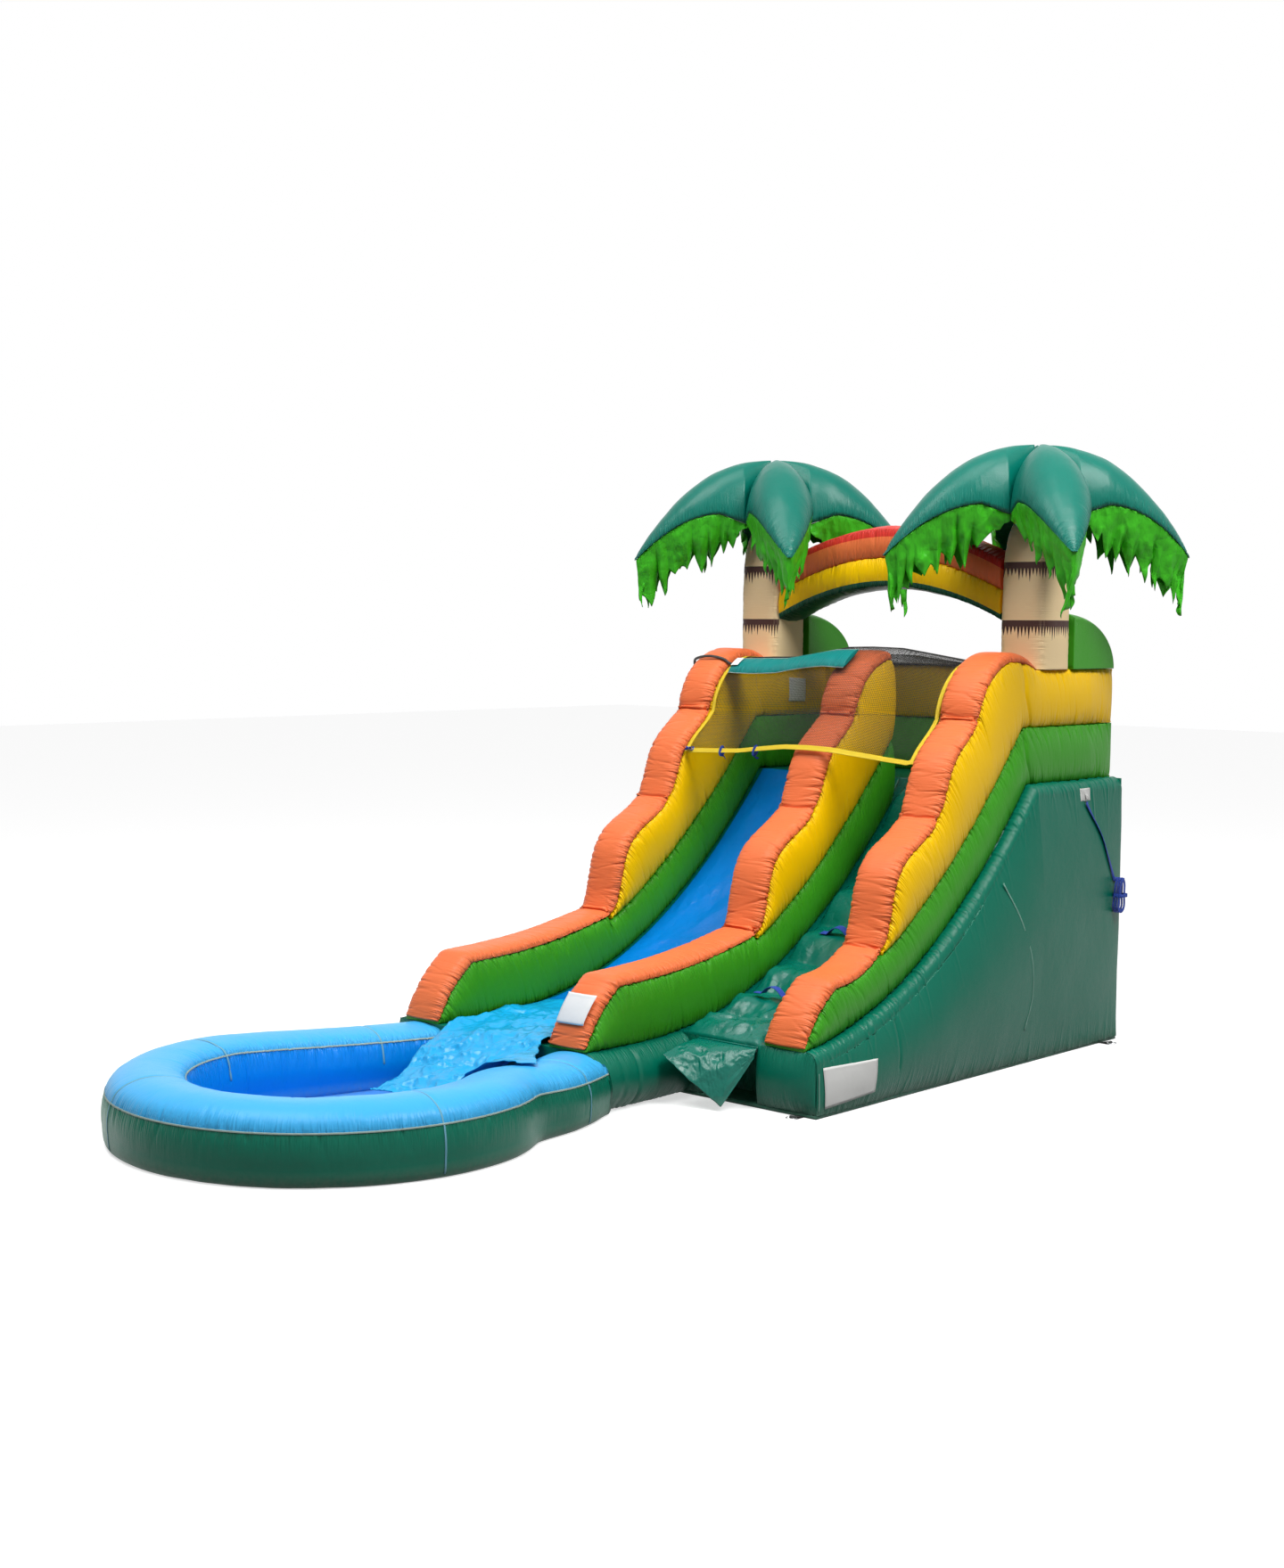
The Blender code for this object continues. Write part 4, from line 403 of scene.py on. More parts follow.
def placed(name: str, data: bpy.types.ID) -> bpy.types.Object:
    """A new object in the scene."""
    item = bpy.data.objects.new(name, data)
    bpy.context.scene.collection.objects.link(item)
    return item


class MeshMaker:
    """Puts grids of points into meshes, with lengths in metres as the UV map."""

    @staticmethod
    def fill(
        name: str,
        verts: np.ndarray,
        faces: list[np.ndarray],
        corners: list[np.ndarray],
        seam: np.ndarray,
        slots: list[np.ndarray],
    ) -> bpy.types.Object:
        """Make one object from arrays of faces, turned so that they point outward.

        The sign of the volume, the sum of a·(b×c)/6 over the faces, gives the way they point.
        """
        volume = 0.0
        for block in faces:
            a, b, c = verts[block[:, 0]], verts[block[:, 1]], verts[block[:, 2]]
            volume += np.sum(a * np.cross(b, c))
            if block.shape[1] == 4:
                volume += np.sum(a * np.cross(c, verts[block[:, 3]]))
        if volume < 0:
            faces = [block[:, ::-1] for block in faces]
            corners = [block[:, ::-1] for block in corners]
        loops = np.concatenate([block.ravel() for block in faces])
        totals = np.concatenate([np.full(len(block), block.shape[1]) for block in faces])
        mesh = bpy.data.meshes.new(name)
        mesh.vertices.add(len(verts))
        mesh.vertices.foreach_set("co", verts.ravel())
        mesh.loops.add(len(loops))
        mesh.loops.foreach_set("vertex_index", loops.astype(np.int32))
        mesh.polygons.add(len(totals))
        starts = np.concatenate([[0], np.cumsum(totals)[:-1]])
        mesh.polygons.foreach_set("loop_start", starts.astype(np.int32))
        mesh.polygons.foreach_set("use_smooth", np.ones(len(totals), bool))
        mesh.polygons.foreach_set("material_index", np.concatenate(slots).astype(np.int32))
        mesh.update(calc_edges=True)
        layer = mesh.uv_layers.new(name="metres")
        layer.data.foreach_set("uv", np.concatenate([block.reshape(-1, 2) for block in corners]).ravel())
        store = mesh.attributes.new("seam", "FLOAT", "POINT")
        store.data.foreach_set("value", np.ascontiguousarray(seam, dtype=float).ravel())
        mesh.validate()
        return placed(name, mesh)

    @staticmethod
    def grid(rows: int, columns: int, closed: bool) -> tuple[np.ndarray, np.ndarray, np.ndarray]:
        """Quads of a grid, with each corner's row and column (one past the last where closed)."""
        i = np.arange(rows - 1)[:, None]
        j = np.arange(columns if closed else columns - 1)[None, :]
        row = stacked(i, i, i + 1, i + 1)
        column = stacked(j, j + 1, j + 1, j)
        row, column = np.broadcast_arrays(row, column)
        row, column = row.reshape(-1, 4), column.reshape(-1, 4)
        return row * columns + column % columns, row, column

    @classmethod
    def tube(
        cls,
        name: str,
        skin: Skin,
        domes: tuple[float, float] | None = (0.0, 0.0),
        slots: np.ndarray | None = None,
    ) -> bpy.types.Object:
        """A closed tube whose ends are domed by so much, or an endless ring with domes None.

        A dome's rows shrink by cos(t) towards the middle while they move out by bulge·sin(t).
        """
        points = skin.points
        seam = skin.from_seams()
        poles = []
        if domes is not None:
            turns = np.linspace(0, np.pi / 2, 7)[1:-1]
            for end, bulge in ((0, domes[0]), (-1, domes[1])):
                ring = points[end]
                centre = ring.mean(axis=0)
                out = centre - points[3 if end == 0 else -4].mean(axis=0)
                out /= np.linalg.norm(out)
                rows = [centre + (ring - centre) * math.cos(t) + out * bulge * math.sin(t) for t in turns]
                edge = np.stack([seam[end] + 0.03 * k for k in range(1, len(rows) + 1)])
                rows = np.stack(rows)
                if end == 0:
                    points = np.concatenate([rows[::-1], points])
                    seam = np.concatenate([edge[::-1], seam])
                else:
                    points = np.concatenate([points, rows])
                    seam = np.concatenate([seam, edge])
                poles.append(centre + out * bulge)
        whole = Skin(points, skin.seams, True)
        count, columns = points.shape[:2]
        if domes is None:
            points = np.concatenate([points, points[:1]])
            whole = Skin(points, skin.seams, True)
        quads, row, column = cls.grid(len(points), columns, True)
        if domes is None:
            quads = quads % (count * columns)
        along, across = whole.along(), whole.across()
        faces = [quads]
        corners = [stacked(along[row], across[row, column])]
        by_column = np.zeros(columns, int) if slots is None else slots
        kinds = [by_column[column[:, 0] % columns]]
        verts = points.reshape(-1, 3)[: count * columns]
        edges = seam.reshape(-1)
        if poles:
            j = np.arange(columns)
            k = (j + 1) % columns
            last = (count - 1) * columns
            first_pole = count * columns
            faces.append(stacked(k, j, np.full(columns, first_pole)))
            faces.append(stacked(last + j, last + k, np.full(columns, first_pole + 1)))
            for line, at in ((across[0], along[0]), (across[-1], along[-1])):
                fan = stacked(line[j], line[j + 1], (line[j] + line[j + 1]) / 2)
                corners.append(stacked(np.full(fan.shape, at), fan))
                kinds.append(by_column)
            verts = np.concatenate([verts, np.stack(poles)])
            edges = np.concatenate([edges, [1.0, 1.0]])
        return cls.fill(name, verts, faces, corners, edges, kinds)

    @classmethod
    def sheet(cls, name: str, skin: Skin, thickness: float) -> bpy.types.Object:
        """A closed sheet of one thickness under a grid of points."""
        return cls.shell(name, skin, skin.points - skin.normals() * thickness)

    @classmethod
    def shell(cls, name: str, skin: Skin, lower: np.ndarray) -> bpy.types.Object:
        """A closed shell between a grid of points and a second grid of the same shape."""
        rows, columns = skin.points.shape[:2]
        quads, row, column = cls.grid(rows, columns, False)
        along, across = skin.along(), skin.across()
        flat = stacked(along[row], across[row, column])
        shift = rows * columns
        faces = [quads, quads[:, ::-1] + shift]
        corners = [flat, flat[:, ::-1]]
        index = np.arange(rows * columns).reshape(rows, columns)
        borders = (index[0], index[:, -1], index[-1][::-1], index[:, 0][::-1])
        for border in borders:
            a, b = border[:-1], border[1:]
            strip = stacked(b, a, a + shift, b + shift)
            faces.append(strip)
            row = strip % shift // columns
            corners.append(stacked(along[row], across[row, strip % columns]))
        seam = skin.from_seams().ravel()
        verts = np.concatenate([skin.points.reshape(-1, 3), lower.reshape(-1, 3)])
        kinds = [np.zeros(len(block), int) for block in faces]
        return cls.fill(name, verts, faces, corners, np.concatenate([seam, seam]), kinds)

    @staticmethod
    def pierce(item: bpy.types.Object, centre: tuple[float, float, float], radius: float, axis: str) -> None:
        """Cut a round hole through a sheet along an axis, and apply it."""
        turn = full_turn(40)
        ring = stacked(np.cos(turn), np.sin(turn)) * radius
        flat = np.zeros((40, 1))
        order = {"X": (2, 0, 1), "Y": (0, 2, 1)}[axis]
        ends = []
        for reach in (-0.1, 0.1):
            spots = np.concatenate([ring, flat + reach], axis=1)
            ends.append(np.array(centre) + spots[:, order])
        rows = np.linspace(ends[0], ends[1], 5)
        cutter = MeshMaker.tube("hole_cutter", Skin(rows), (0.0, 0.0))
        step = item.modifiers.new("hole", "BOOLEAN")
        step.object = cutter
        step.operation = "DIFFERENCE"
        step.solver = "FAST"
        graph = bpy.context.evaluated_depsgraph_get()
        mesh = bpy.data.meshes.new_from_object(item.evaluated_get(graph))
        item.modifiers.clear()
        old = item.data
        item.data = mesh
        mesh.name = old.name + "_cut"
        bpy.data.meshes.remove(old)
        bpy.data.objects.remove(cutter)


class Signal:
    """A node's output, on which sums are written as formulas."""

    def __init__(self, wiring: "Wiring", socket: bpy.types.NodeSocket) -> None:
        self.wiring = wiring
        self.socket = socket

    def __add__(self, other: "Signal | float") -> "Signal":
        """Their sum."""
        return self.wiring.maths("ADD", self, other)

    def __sub__(self, other: "Signal | float") -> "Signal":
        """Their difference."""
        return self.wiring.maths("SUBTRACT", self, other)

    def __rsub__(self, other: float) -> "Signal":
        """A number less this."""
        return self.wiring.maths("SUBTRACT", other, self)

    def __mul__(self, other: "Signal | float") -> "Signal":
        """Their product."""
        return self.wiring.maths("MULTIPLY", self, other)

    def __truediv__(self, other: "Signal | float") -> "Signal":
        """Their quotient."""
        return self.wiring.maths("DIVIDE", self, other)

    def __pow__(self, power: float) -> "Signal":
        """This to a power."""
        return self.wiring.maths("POWER", self, power)

    def __lt__(self, other: "Signal | float") -> "Signal":
        """One where this is lower, or zero."""
        return self.wiring.maths("LESS_THAN", self, other)

    def __gt__(self, other: "Signal | float") -> "Signal":
        """One where this is higher, or zero."""
        return self.wiring.maths("GREATER_THAN", self, other)

    def __or__(self, other: "Signal") -> "Signal":
        """The higher of the two."""
        return self.wiring.maths("MAXIMUM", self, other)

    def __abs__(self) -> "Signal":
        """This without its sign."""
        return self.wiring.maths("ABSOLUTE", self)

    def clamped(self) -> "Signal":
        """This sum kept between 0 and 1."""
        self.socket.node.use_clamp = True
        return self


class Wiring:
    """Makes and joins the nodes of one tree."""

    def __init__(self, tree: bpy.types.NodeTree) -> None:
        self.tree = tree

    def node(self, kind: str, **settings: object) -> bpy.types.Node:
        """A node with its settings."""
        made = self.tree.nodes.new(kind)
        for key, value in settings.items():
            setattr(made, key, value)
        return made

    def output(self, kind: str, title: str | int, **settings: object) -> Signal:
        """One output of a new node."""
        return Signal(self, self.node(kind, **settings).outputs[title])

    def join(self, value: object, socket: bpy.types.NodeSocket) -> None:
        """Link a signal, or set a number or colour, on an input."""
        if isinstance(value, Signal):
            self.tree.links.new(value.socket, socket)
        else:
            socket.default_value = value

    def maths(self, operation: str, a: object, b: object = 0.0) -> Signal:
        """The result of one sum."""
        made = self.node("ShaderNodeMath", operation=operation)
        self.join(a, made.inputs[0])
        self.join(b, made.inputs[1])
        return Signal(self, made.outputs[0])

    def mix(self, factor: object, a: object, b: object) -> Signal:
        """A blend of two colours."""
        made = self.node("ShaderNodeMix", data_type="RGBA")
        for value, key in ((factor, "Factor"), (a, 6), (b, 7)):
            self.join(value, made.inputs[key])
        return Signal(self, made.outputs[2])

    def noise(self, vector: Signal, scale: float, detail: float, stretch: tuple = (1, 1, 1)) -> Signal:
        """A noise field of a vector, stretched along its axes."""
        mapping = self.node("ShaderNodeMapping")
        self.join(vector, mapping.inputs["Vector"])
        mapping.inputs["Scale"].default_value = stretch
        made = self.node("ShaderNodeTexNoise")
        made.inputs["Scale"].default_value = scale
        made.inputs["Detail"].default_value = detail
        self.join(Signal(self, mapping.outputs[0]), made.inputs["Vector"])
        return Signal(self, made.outputs["Fac"])

    def split(self, vector: Signal) -> list[Signal]:
        """The three parts of a vector."""
        made = self.node("ShaderNodeSeparateXYZ")
        self.join(vector, made.inputs[0])
        return [Signal(self, part) for part in made.outputs]

    def lengths(self) -> list[Signal]:
        """Distances along and across the piece, from its UV map in metres."""
        return self.split(self.output("ShaderNodeUVMap", 0, uv_map="metres"))[:2]

    def bump(self, height: Signal, distance: float, shader: bpy.types.Node) -> None:
        """Bump a shader's normal by a height."""
        made = self.node("ShaderNodeBump")
        made.inputs["Distance"].default_value = distance
        self.join(height, made.inputs["Height"])
        self.join(Signal(self, made.outputs[0]), shader.inputs["Normal"])


class Effects:
    """Shader node groups that several finishes share, each built once."""

    made: dict[str, bpy.types.NodeTree] = {}

    @classmethod
    def start(cls, name: str, inputs: str, outputs: str) -> tuple[Wiring, list[Signal], dict]:
        """An empty group with its sockets.

        Args:
            name: The group's name.
            inputs: Names of the inputs; Place is a vector, the others are numbers.
            outputs: Names of the outputs, all numbers.

        Returns:
            The wiring, the inputs in order and the output sockets by name.
        """
        tree = bpy.data.node_groups.new(name, "ShaderNodeTree")
        for direction, titles in (("INPUT", inputs), ("OUTPUT", outputs)):
            for title in titles.split():
                kind = "NodeSocketVector" if title == "Place" else "NodeSocketFloat"
                tree.interface.new_socket(name=title, in_out=direction, socket_type=kind)
        wiring = Wiring(tree)
        into = wiring.node("NodeGroupInput")
        out = wiring.node("NodeGroupOutput")
        cls.made[name] = tree
        return wiring, [Signal(wiring, into.outputs[title]) for title in inputs.split()], out.inputs

    @classmethod
    def place(cls, wiring: Wiring, name: str, **values: Signal | float) -> dict[str, Signal]:
        """The outputs of a group placed in a material, with its own values."""
        if name not in cls.made:
            getattr(cls, name)()
        made = wiring.node("ShaderNodeGroup", node_tree=cls.made[name])
        for key, value in values.items():
            wiring.join(value, made.inputs[key.title()])
        return {output.name: Signal(wiring, output) for output in made.outputs}

    @classmethod
    def seam_puckers(cls) -> None:
        """Fine puckers square to a seam that fade away from it: ridged noise × exp(-d/reach)."""
        w, (along, seam, pitch, reach), out = cls.start("seam_puckers", "Along Seam Pitch Reach", "Height")
        spot = w.node("ShaderNodeCombineXYZ")
        w.join(along / pitch, spot.inputs[0])
        w.join(seam * 5.0, spot.inputs[1])
        fold = abs(w.noise(Signal(w, spot.outputs[0]), 1.0, 1.0) - 0.5)
        ridge = (1.0 - fold * 5.0).clamped() ** 1.6
        fade = w.maths("POWER", math.e, seam * -1.0 / reach)
        w.join(ridge * fade * -1.0, out["Height"])

    @classmethod
    def scrim_weave(cls) -> None:
        """The woven base under the coating: two crossed sine waves."""
        w, (along, across, pitch), out = cls.start("scrim_weave", "Along Across Pitch", "Height")
        warp, weft = (w.maths("SINE", place / pitch * (2 * math.pi)) for place in (along, across))
        w.join(warp * weft, out["Height"])

    @classmethod
    def lockstitch(cls) -> None:
        """A double row of stitches beside a seam, as a mask: dashes in two narrow bands."""
        w, (along, seam), out = cls.start("lockstitch", "Along Seam", "Mask")
        dash = w.maths("FRACT", along / 0.005) < 0.62
        inner, outer = (abs(seam - place) < 0.0009 for place in (0.009, 0.016))
        w.join((inner | outer) * dash, out["Mask"])

    @classmethod
    def slack_skin(cls) -> None:
        """Slow ripples and faint handling creases of an inflated skin, as a height."""
        w, (place,), out = cls.start("slack_skin", "Place", "Height")
        crease = abs(w.noise(place, 9.0, 3.0) - 0.5)
        sharp = (1.0 - crease * 14.0).clamped()
        w.join(w.noise(place, 5.0, 2.0) - sharp * 0.06, out["Height"])

    @classmethod
    def weathering(cls) -> None:
        """Uneven shade and gloss, and dust close to the ground.

        Shade is a factor near 1, Dust a mask that fades with height, Gloss an uneven value.
        """
        w, (place,), out = cls.start("weathering", "Place", "Shade Dust Gloss")
        broad = w.noise(place, 2.2, 3.0)
        fine = w.noise(place, 38.0, 4.0)
        low = (1.0 - w.split(place)[2] / 0.09).clamped()
        w.join(broad * 0.16 + 0.92, out["Shade"])
        w.join(low * fine, out["Dust"])
        w.join(fine * 0.6 + broad * 0.4 - 0.5, out["Gloss"])

    @classmethod
    def webbing_weave(cls) -> None:
        """Woven webbing: a chevron of ribs, as a height and a shade; the shade follows the height, so it is
        painted shade in the weave's hollows.
        """
        w, (along, across, pitch), out = cls.start("webbing_weave", "Along Across Pitch", "Height Shade")
        fold = w.maths("PINGPONG", across, pitch * 4.0)
        rib = w.maths("SINE", (along + fold) / pitch * (2 * math.pi))
        thread = w.maths("SINE", across / pitch * (4 * math.pi))
        height = rib + thread * 0.35
        w.join(height, out["Height"])
        # The shade rises with the height: painted shade that darkens the weave's hollows.
        w.join(height * 0.07 + 0.95, out["Shade"])

    @classmethod
    def bark_bands(cls) -> None:
        """Two painted bands round a trunk, toothed below, on its front and outer faces, as a mask.

        A tooth is a ping-pong wave round the trunk whose depth noise makes uneven.
        """
        w, (place,), out = cls.start("bark_bands", "Place", "Mask")
        x, y, z = w.split(place)
        half_tooth = 0.013
        tooth = w.maths("PINGPONG", x + y, half_tooth) * (1 / half_tooth)
        uneven = w.noise(place, 22.0, 1.0, (1, 1, 0.02))
        length = tooth**1.2 * (uneven * 0.13) + 0.034
        ragged = w.noise(x - y, 120.0, 1.0) * 0.006
        upper, lower = ((z + ragged > top - length) * (z < top) for top in (3.105, 2.742))
        outer = abs(x) > 0.902
        w.join((upper | lower) * outer * (y < 0.168), out["Mask"])


class Pattern(Enum):
    """What is on a fabric besides its coating."""

    PLAIN = "plain"
    BARK = "bark"
    LOOSE = "loose"


@dataclass(frozen=True)
class Finish:
    """A surface of one colour; each kind wires its own shader."""

    name: str
    slot: str
    colour: Colour

    def tone(self, share: float = 1.0, lift: float = 0.0) -> tuple[float, ...]:
        """A share of the colour, lifted, as red, green, blue and one."""
        return (*(share * c + lift for c in self.colour), 1.0)

    def material(self) -> bpy.types.Material:
        """The material, made once."""
        made = bpy.data.materials.get(self.name)
        if made is None:
            made = bpy.data.materials.new(self.name)
            made.use_nodes = True
            w = Wiring(made.node_tree)
            place = w.output("ShaderNodeTexCoord", "Object")
            worn = Effects.place(w, "weathering", place=place)
            self.wire(w, made.node_tree.nodes["Principled BSDF"], place, worn)
        return made

    def wire(self, w: Wiring, shader: bpy.types.Node, place: Signal, worn: dict[str, Signal]) -> None:
        """Wire the shader.

        Args:
            w: The material's wiring.
            shader: Its Principled node.
            place: Object coordinates.
            worn: Shade, Dust and Gloss.
        """
        raise NotImplementedError


@dataclass(frozen=True)
class Coated(Finish):
    """Woven fabric with a coloured coating, sewn into an inflated skin or a loose sheet."""

    roughness: float = 0.36
    pucker: float = 0.006
    pattern: Pattern = Pattern.PLAIN
    dust: Colour = (0.30, 0.30, 0.26)
    band: Colour = (0.06, 0.025, 0.02)
    coat: float = 0.02
    coat_roughness: float = 0.22
    refraction: float = 1.28

    def wire(self, w: Wiring, shader: bpy.types.Node, place: Signal, worn: dict[str, Signal]) -> None:
        """Colour with bark, dust and stitches; bump by puckers, slack, weave and stitches."""
        along, across = w.lengths()
        seam = w.output("ShaderNodeAttribute", "Fac", attribute_name="seam")
        stitch = Effects.place(w, "lockstitch", along=along, seam=seam)["Mask"]
        deep = self.tone(0.80)
        colour = w.mix((1.0 - worn["Shade"]).clamped(), self.tone(), deep)
        if self.pattern is Pattern.BARK:
            colour = w.mix(Effects.place(w, "bark_bands", place=place)["Mask"], colour, (*self.band, 1.0))
        colour = w.mix(worn["Dust"] * 0.55, colour, (*self.dust, 1.0))
        w.join(w.mix(stitch * 0.35, colour, deep), shader.inputs["Base Color"])
        rough = worn["Gloss"] * 0.16 + self.roughness + worn["Dust"] * 0.3
        w.join(rough.clamped(), shader.inputs["Roughness"])
        shader.inputs["IOR"].default_value = self.refraction
        shader.inputs["Coat Weight"].default_value = self.coat
        shader.inputs["Coat Roughness"].default_value = self.coat_roughness
        fine = Effects.place(w, "seam_puckers", along=along, seam=seam, pitch=0.018, reach=0.05)["Height"]
        slack = Effects.place(w, "slack_skin", place=place)["Height"]
        weave = Effects.place(w, "scrim_weave", along=along, across=across, pitch=0.0026)["Height"]
        loose = 0.020 if self.pattern is Pattern.LOOSE else 0.004
        height = fine * self.pucker + slack * loose + weave * 0.00005 + stitch * -0.0006
        w.bump(height, 1.0, shader)


@dataclass(frozen=True)
class Webbing(Finish):
    """Woven webbing or braid in one colour."""

    pitch: float = 0.0028
    roughness: float = 0.62

    def wire(self, w: Wiring, shader: bpy.types.Node, place: Signal, worn: dict[str, Signal]) -> None:
        """Colour darkened in the weave's hollows, which is painted shade, with uneven tone; bump by the
        weave.
        """
        along, across = w.lengths()
        weave = Effects.place(w, "webbing_weave", along=along, across=across, pitch=self.pitch)
        # Painted shade: the colour goes towards 0.55 of itself in the weave's hollows, with uneven tone from
        # wear.
        shade = (1.05 - weave["Shade"] * worn["Shade"]).clamped()
        w.join(w.mix(shade, self.tone(), self.tone(0.55)), shader.inputs["Base Color"])
        w.join((worn["Gloss"] * 0.2 + self.roughness).clamped(), shader.inputs["Roughness"])
        w.bump(weave["Height"], 0.0003, shader)


@dataclass(frozen=True)
class Thread(Finish):
    """Matt black thread."""

    def wire(self, w: Wiring, shader: bpy.types.Node, place: Signal, worn: dict[str, Signal]) -> None:
        """Colour and roughness by wear alone."""
        w.join(w.mix(worn["Shade"], self.tone(lift=0.03), self.tone()), shader.inputs["Base Color"])
        w.join((worn["Gloss"] + 0.6).clamped(), shader.inputs["Roughness"])


@dataclass(frozen=True)
class Hard(Finish):
    """A moulded, plated or rubber surface with fine grain and rubbed edges."""

    roughness: float
    metallic: float = 0.0
    grain: float = 0.00012

    def wire(self, w: Wiring, shader: bpy.types.Node, place: Signal, worn: dict[str, Signal]) -> None:
        """Colour by wear, bump by grain."""
        w.join(w.mix(worn["Shade"], self.tone(0.7), self.tone()), shader.inputs["Base Color"])
        w.join((worn["Gloss"] * 0.3 + self.roughness).clamped(), shader.inputs["Roughness"])
        shader.inputs["Metallic"].default_value = self.metallic
        w.bump(w.noise(place, 900.0, 2.0), self.grain, shader)


ORANGE = Coated("orange_coated_fabric", "orange_vinyl", (0.82, 0.175, 0.055), 0.40)
YELLOW = Coated("yellow_coated_fabric", "yellow_vinyl", (0.97, 0.58, 0.0))
GREEN = Coated("green_coated_fabric", "green_vinyl", (0.045, 0.32, 0.012))
DARK_GREEN = Coated("dark_green_coated_fabric", "dark_green_vinyl", (0.0, 0.150, 0.092), 0.34)
LOOSE_GREEN = Coated(
    "loose_dark_green_fabric", "dark_green_vinyl", (0.0, 0.14, 0.10), 0.26, pattern=Pattern.LOOSE, coat=0.3
)
RED = Coated("red_coated_fabric", "orange_vinyl", (0.62, 0.03, 0.02))
ARCH_SHADE = Coated("arch_underside_fabric", "yellow_vinyl", (0.0, 0.085, 0.04))
BEIGE = Coated("trunk_fabric", "trunk_vinyl", (0.92, 0.70, 0.40), 0.45, 0.002, Pattern.BARK)
FROND = Coated("frond_fabric", "frond_vinyl", (0.0, 0.150, 0.110), 0.34, coat=0.1)
GREEN_DECK = Coated("deck_coated_fabric", "dark_green_vinyl", (0.0, 0.10, 0.05), 0.42)
LEAF = Coated("leaf_strip_fabric", "fringe_vinyl", (0.050, 0.46, 0.015), 0.36, 0.002, Pattern.LOOSE)
LINER_BLUE = Coated(
    "slide_liner_fabric", "blue_vinyl", (0.0, 0.185, 0.62), 0.22, pattern=Pattern.LOOSE, coat=0.2
)
APRON_BLUE = Coated("apron_fabric", "blue_vinyl", (0.005, 0.36, 0.70), 0.22, pattern=Pattern.LOOSE, coat=0.2)
POOL_BLUE = Coated("pool_crown_fabric", "blue_vinyl", (0.05, 0.42, 0.82), 0.33)
DEEP_BLUE = Coated("pool_inner_fabric", "blue_vinyl", (0.0, 0.25, 0.80), 0.30)
TEAL = Coated("sleeve_fabric", "teal_vinyl", (0.0, 0.20, 0.19), 0.45)
PALE = Coated("label_fabric", "blue_vinyl", (0.80, 0.80, 0.78), 0.5, 0.0)
PIPING = Coated("seam_tape_fabric", "dark_green_vinyl", (0.30, 0.40, 0.36), 0.5, 0.0)
JOIN_TAPE = Coated("join_tape_fabric", "blue_vinyl", (0.16, 0.40, 0.52), 0.5, 0.0)
HEM = Coated("hem_fabric", "net_mesh", (0.012, 0.012, 0.013), 0.6, 0.0)
LABEL = Coated("blank_label_fabric", "white_webbing", (0.78, 0.78, 0.76), 0.5, 0.0)
# Pale green of the panel's seam tapes: partly the seams' own colour, partly painted highlight for the shine
# on the puckered seams.
SEAM_TAPE_AND_HIGHLIGHT = Coated("panel_seam_fabric", "dark_green_vinyl", (0.16, 0.34, 0.27), 0.5, 0.0)
YELLOW_STRAP = Webbing("yellow_webbing_weave", "yellow_webbing", (0.80, 0.58, 0.015))
BLUE_STRAP = Webbing("blue_webbing_weave", "blue_webbing", (0.012, 0.055, 0.40))
WHITE_STRAP = Webbing("white_webbing_weave", "white_webbing", (0.75, 0.75, 0.73))
BLACK_STRAP = Webbing("black_webbing_weave", "dark_green_vinyl", (0.02, 0.022, 0.022))
ZIP_WEAVE = Webbing("zip_tape_weave", "zip_tape", (0.03, 0.03, 0.03), 0.0012)
NET = Thread("black_netting", "net_mesh", (0.012, 0.012, 0.012))
RUBBER = Hard("hose_rubber", "black_rubber", (0.018, 0.018, 0.018), 0.42)
COUPLING = Hard("coupling_plastic", "blue_plastic", (0.02, 0.12, 0.45), 0.33)
STEEL = Hard("zinc_plate", "plated_steel", (0.55, 0.55, 0.57), 0.28, 1.0)


def dress(
    item: bpy.types.Object,
    finishes: list[Finish],
    nodes: tuple[str, ...] = (),
    body: str = "slide",
) -> bpy.types.Object:
    """Give a piece its finishes, its body and the nodes that it stands for.

    Args:
        item: The piece.
        finishes: One finish for each material index.
        nodes: CAD nodes that it replaces.
        body: The CAD body that it rides on.

    Returns:
        The piece.
    """
    for finish in finishes:
        item.data.materials.append(finish.material())
    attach(item, body)
    if nodes:
        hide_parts(*nodes)
    LOG.info("made %s", item.name)
    return item


def cloth(
    name: str,
    skin: Skin,
    thickness: float,
    finishes: list[Finish],
    nodes: tuple[str, ...] = (),
    body: str = "slide",
    holes: tuple = (),
) -> bpy.types.Object:
    """A sheet under a skin, cut and dressed.

    Args:
        name: Name of the piece.
        skin: Its outer surface.
        thickness: How thick it is.
        finishes: One finish for each material index.
        nodes: CAD nodes that it replaces.
        body: The CAD body that it rides on.
        holes: Centre, radius and axis of each round hole.

    Returns:
        The piece.
    """
    item = MeshMaker.sheet(name, skin, thickness)
    for centre, radius, axis in holes:
        MeshMaker.pierce(item, centre, radius, axis)
    dress(item, finishes, nodes, body)
    declare_sheet(skin)
    return item


def inflated(
    name: str,
    skin: Skin,
    domes: tuple[float, float],
    finishes: list[Finish],
    node: str,
    slots: np.ndarray | None = None,
) -> bpy.types.Object:
    """A chamber full of air round a closed skin.

    Args:
        name: Name of the piece.
        skin: Its closed surface.
        domes: How far its two ends stand out.
        finishes: One finish for each material index.
        node: The CAD node that it replaces.
        slots: Material index of each column.

    Returns:
        The piece.
    """
    return dress(MeshMaker.tube(name, skin, domes, slots), finishes, (node,))


def trim(name: str, grid: np.ndarray, finish: Finish, domes: tuple[float, float] | None = (0.0, 0.0)) -> None:
    """A small solid strap or welt that stands for no node; an endless one has domes None."""
    dress(MeshMaker.tube(name, Skin(grid), domes), [finish])


# Grids of the kinds that several sub-assemblies use
TUBE_ARC = 18
TUBE_SEAMS = (0, TUBE_ARC - 1, TUBE_ARC + 2, 2 * TUBE_ARC + 1)


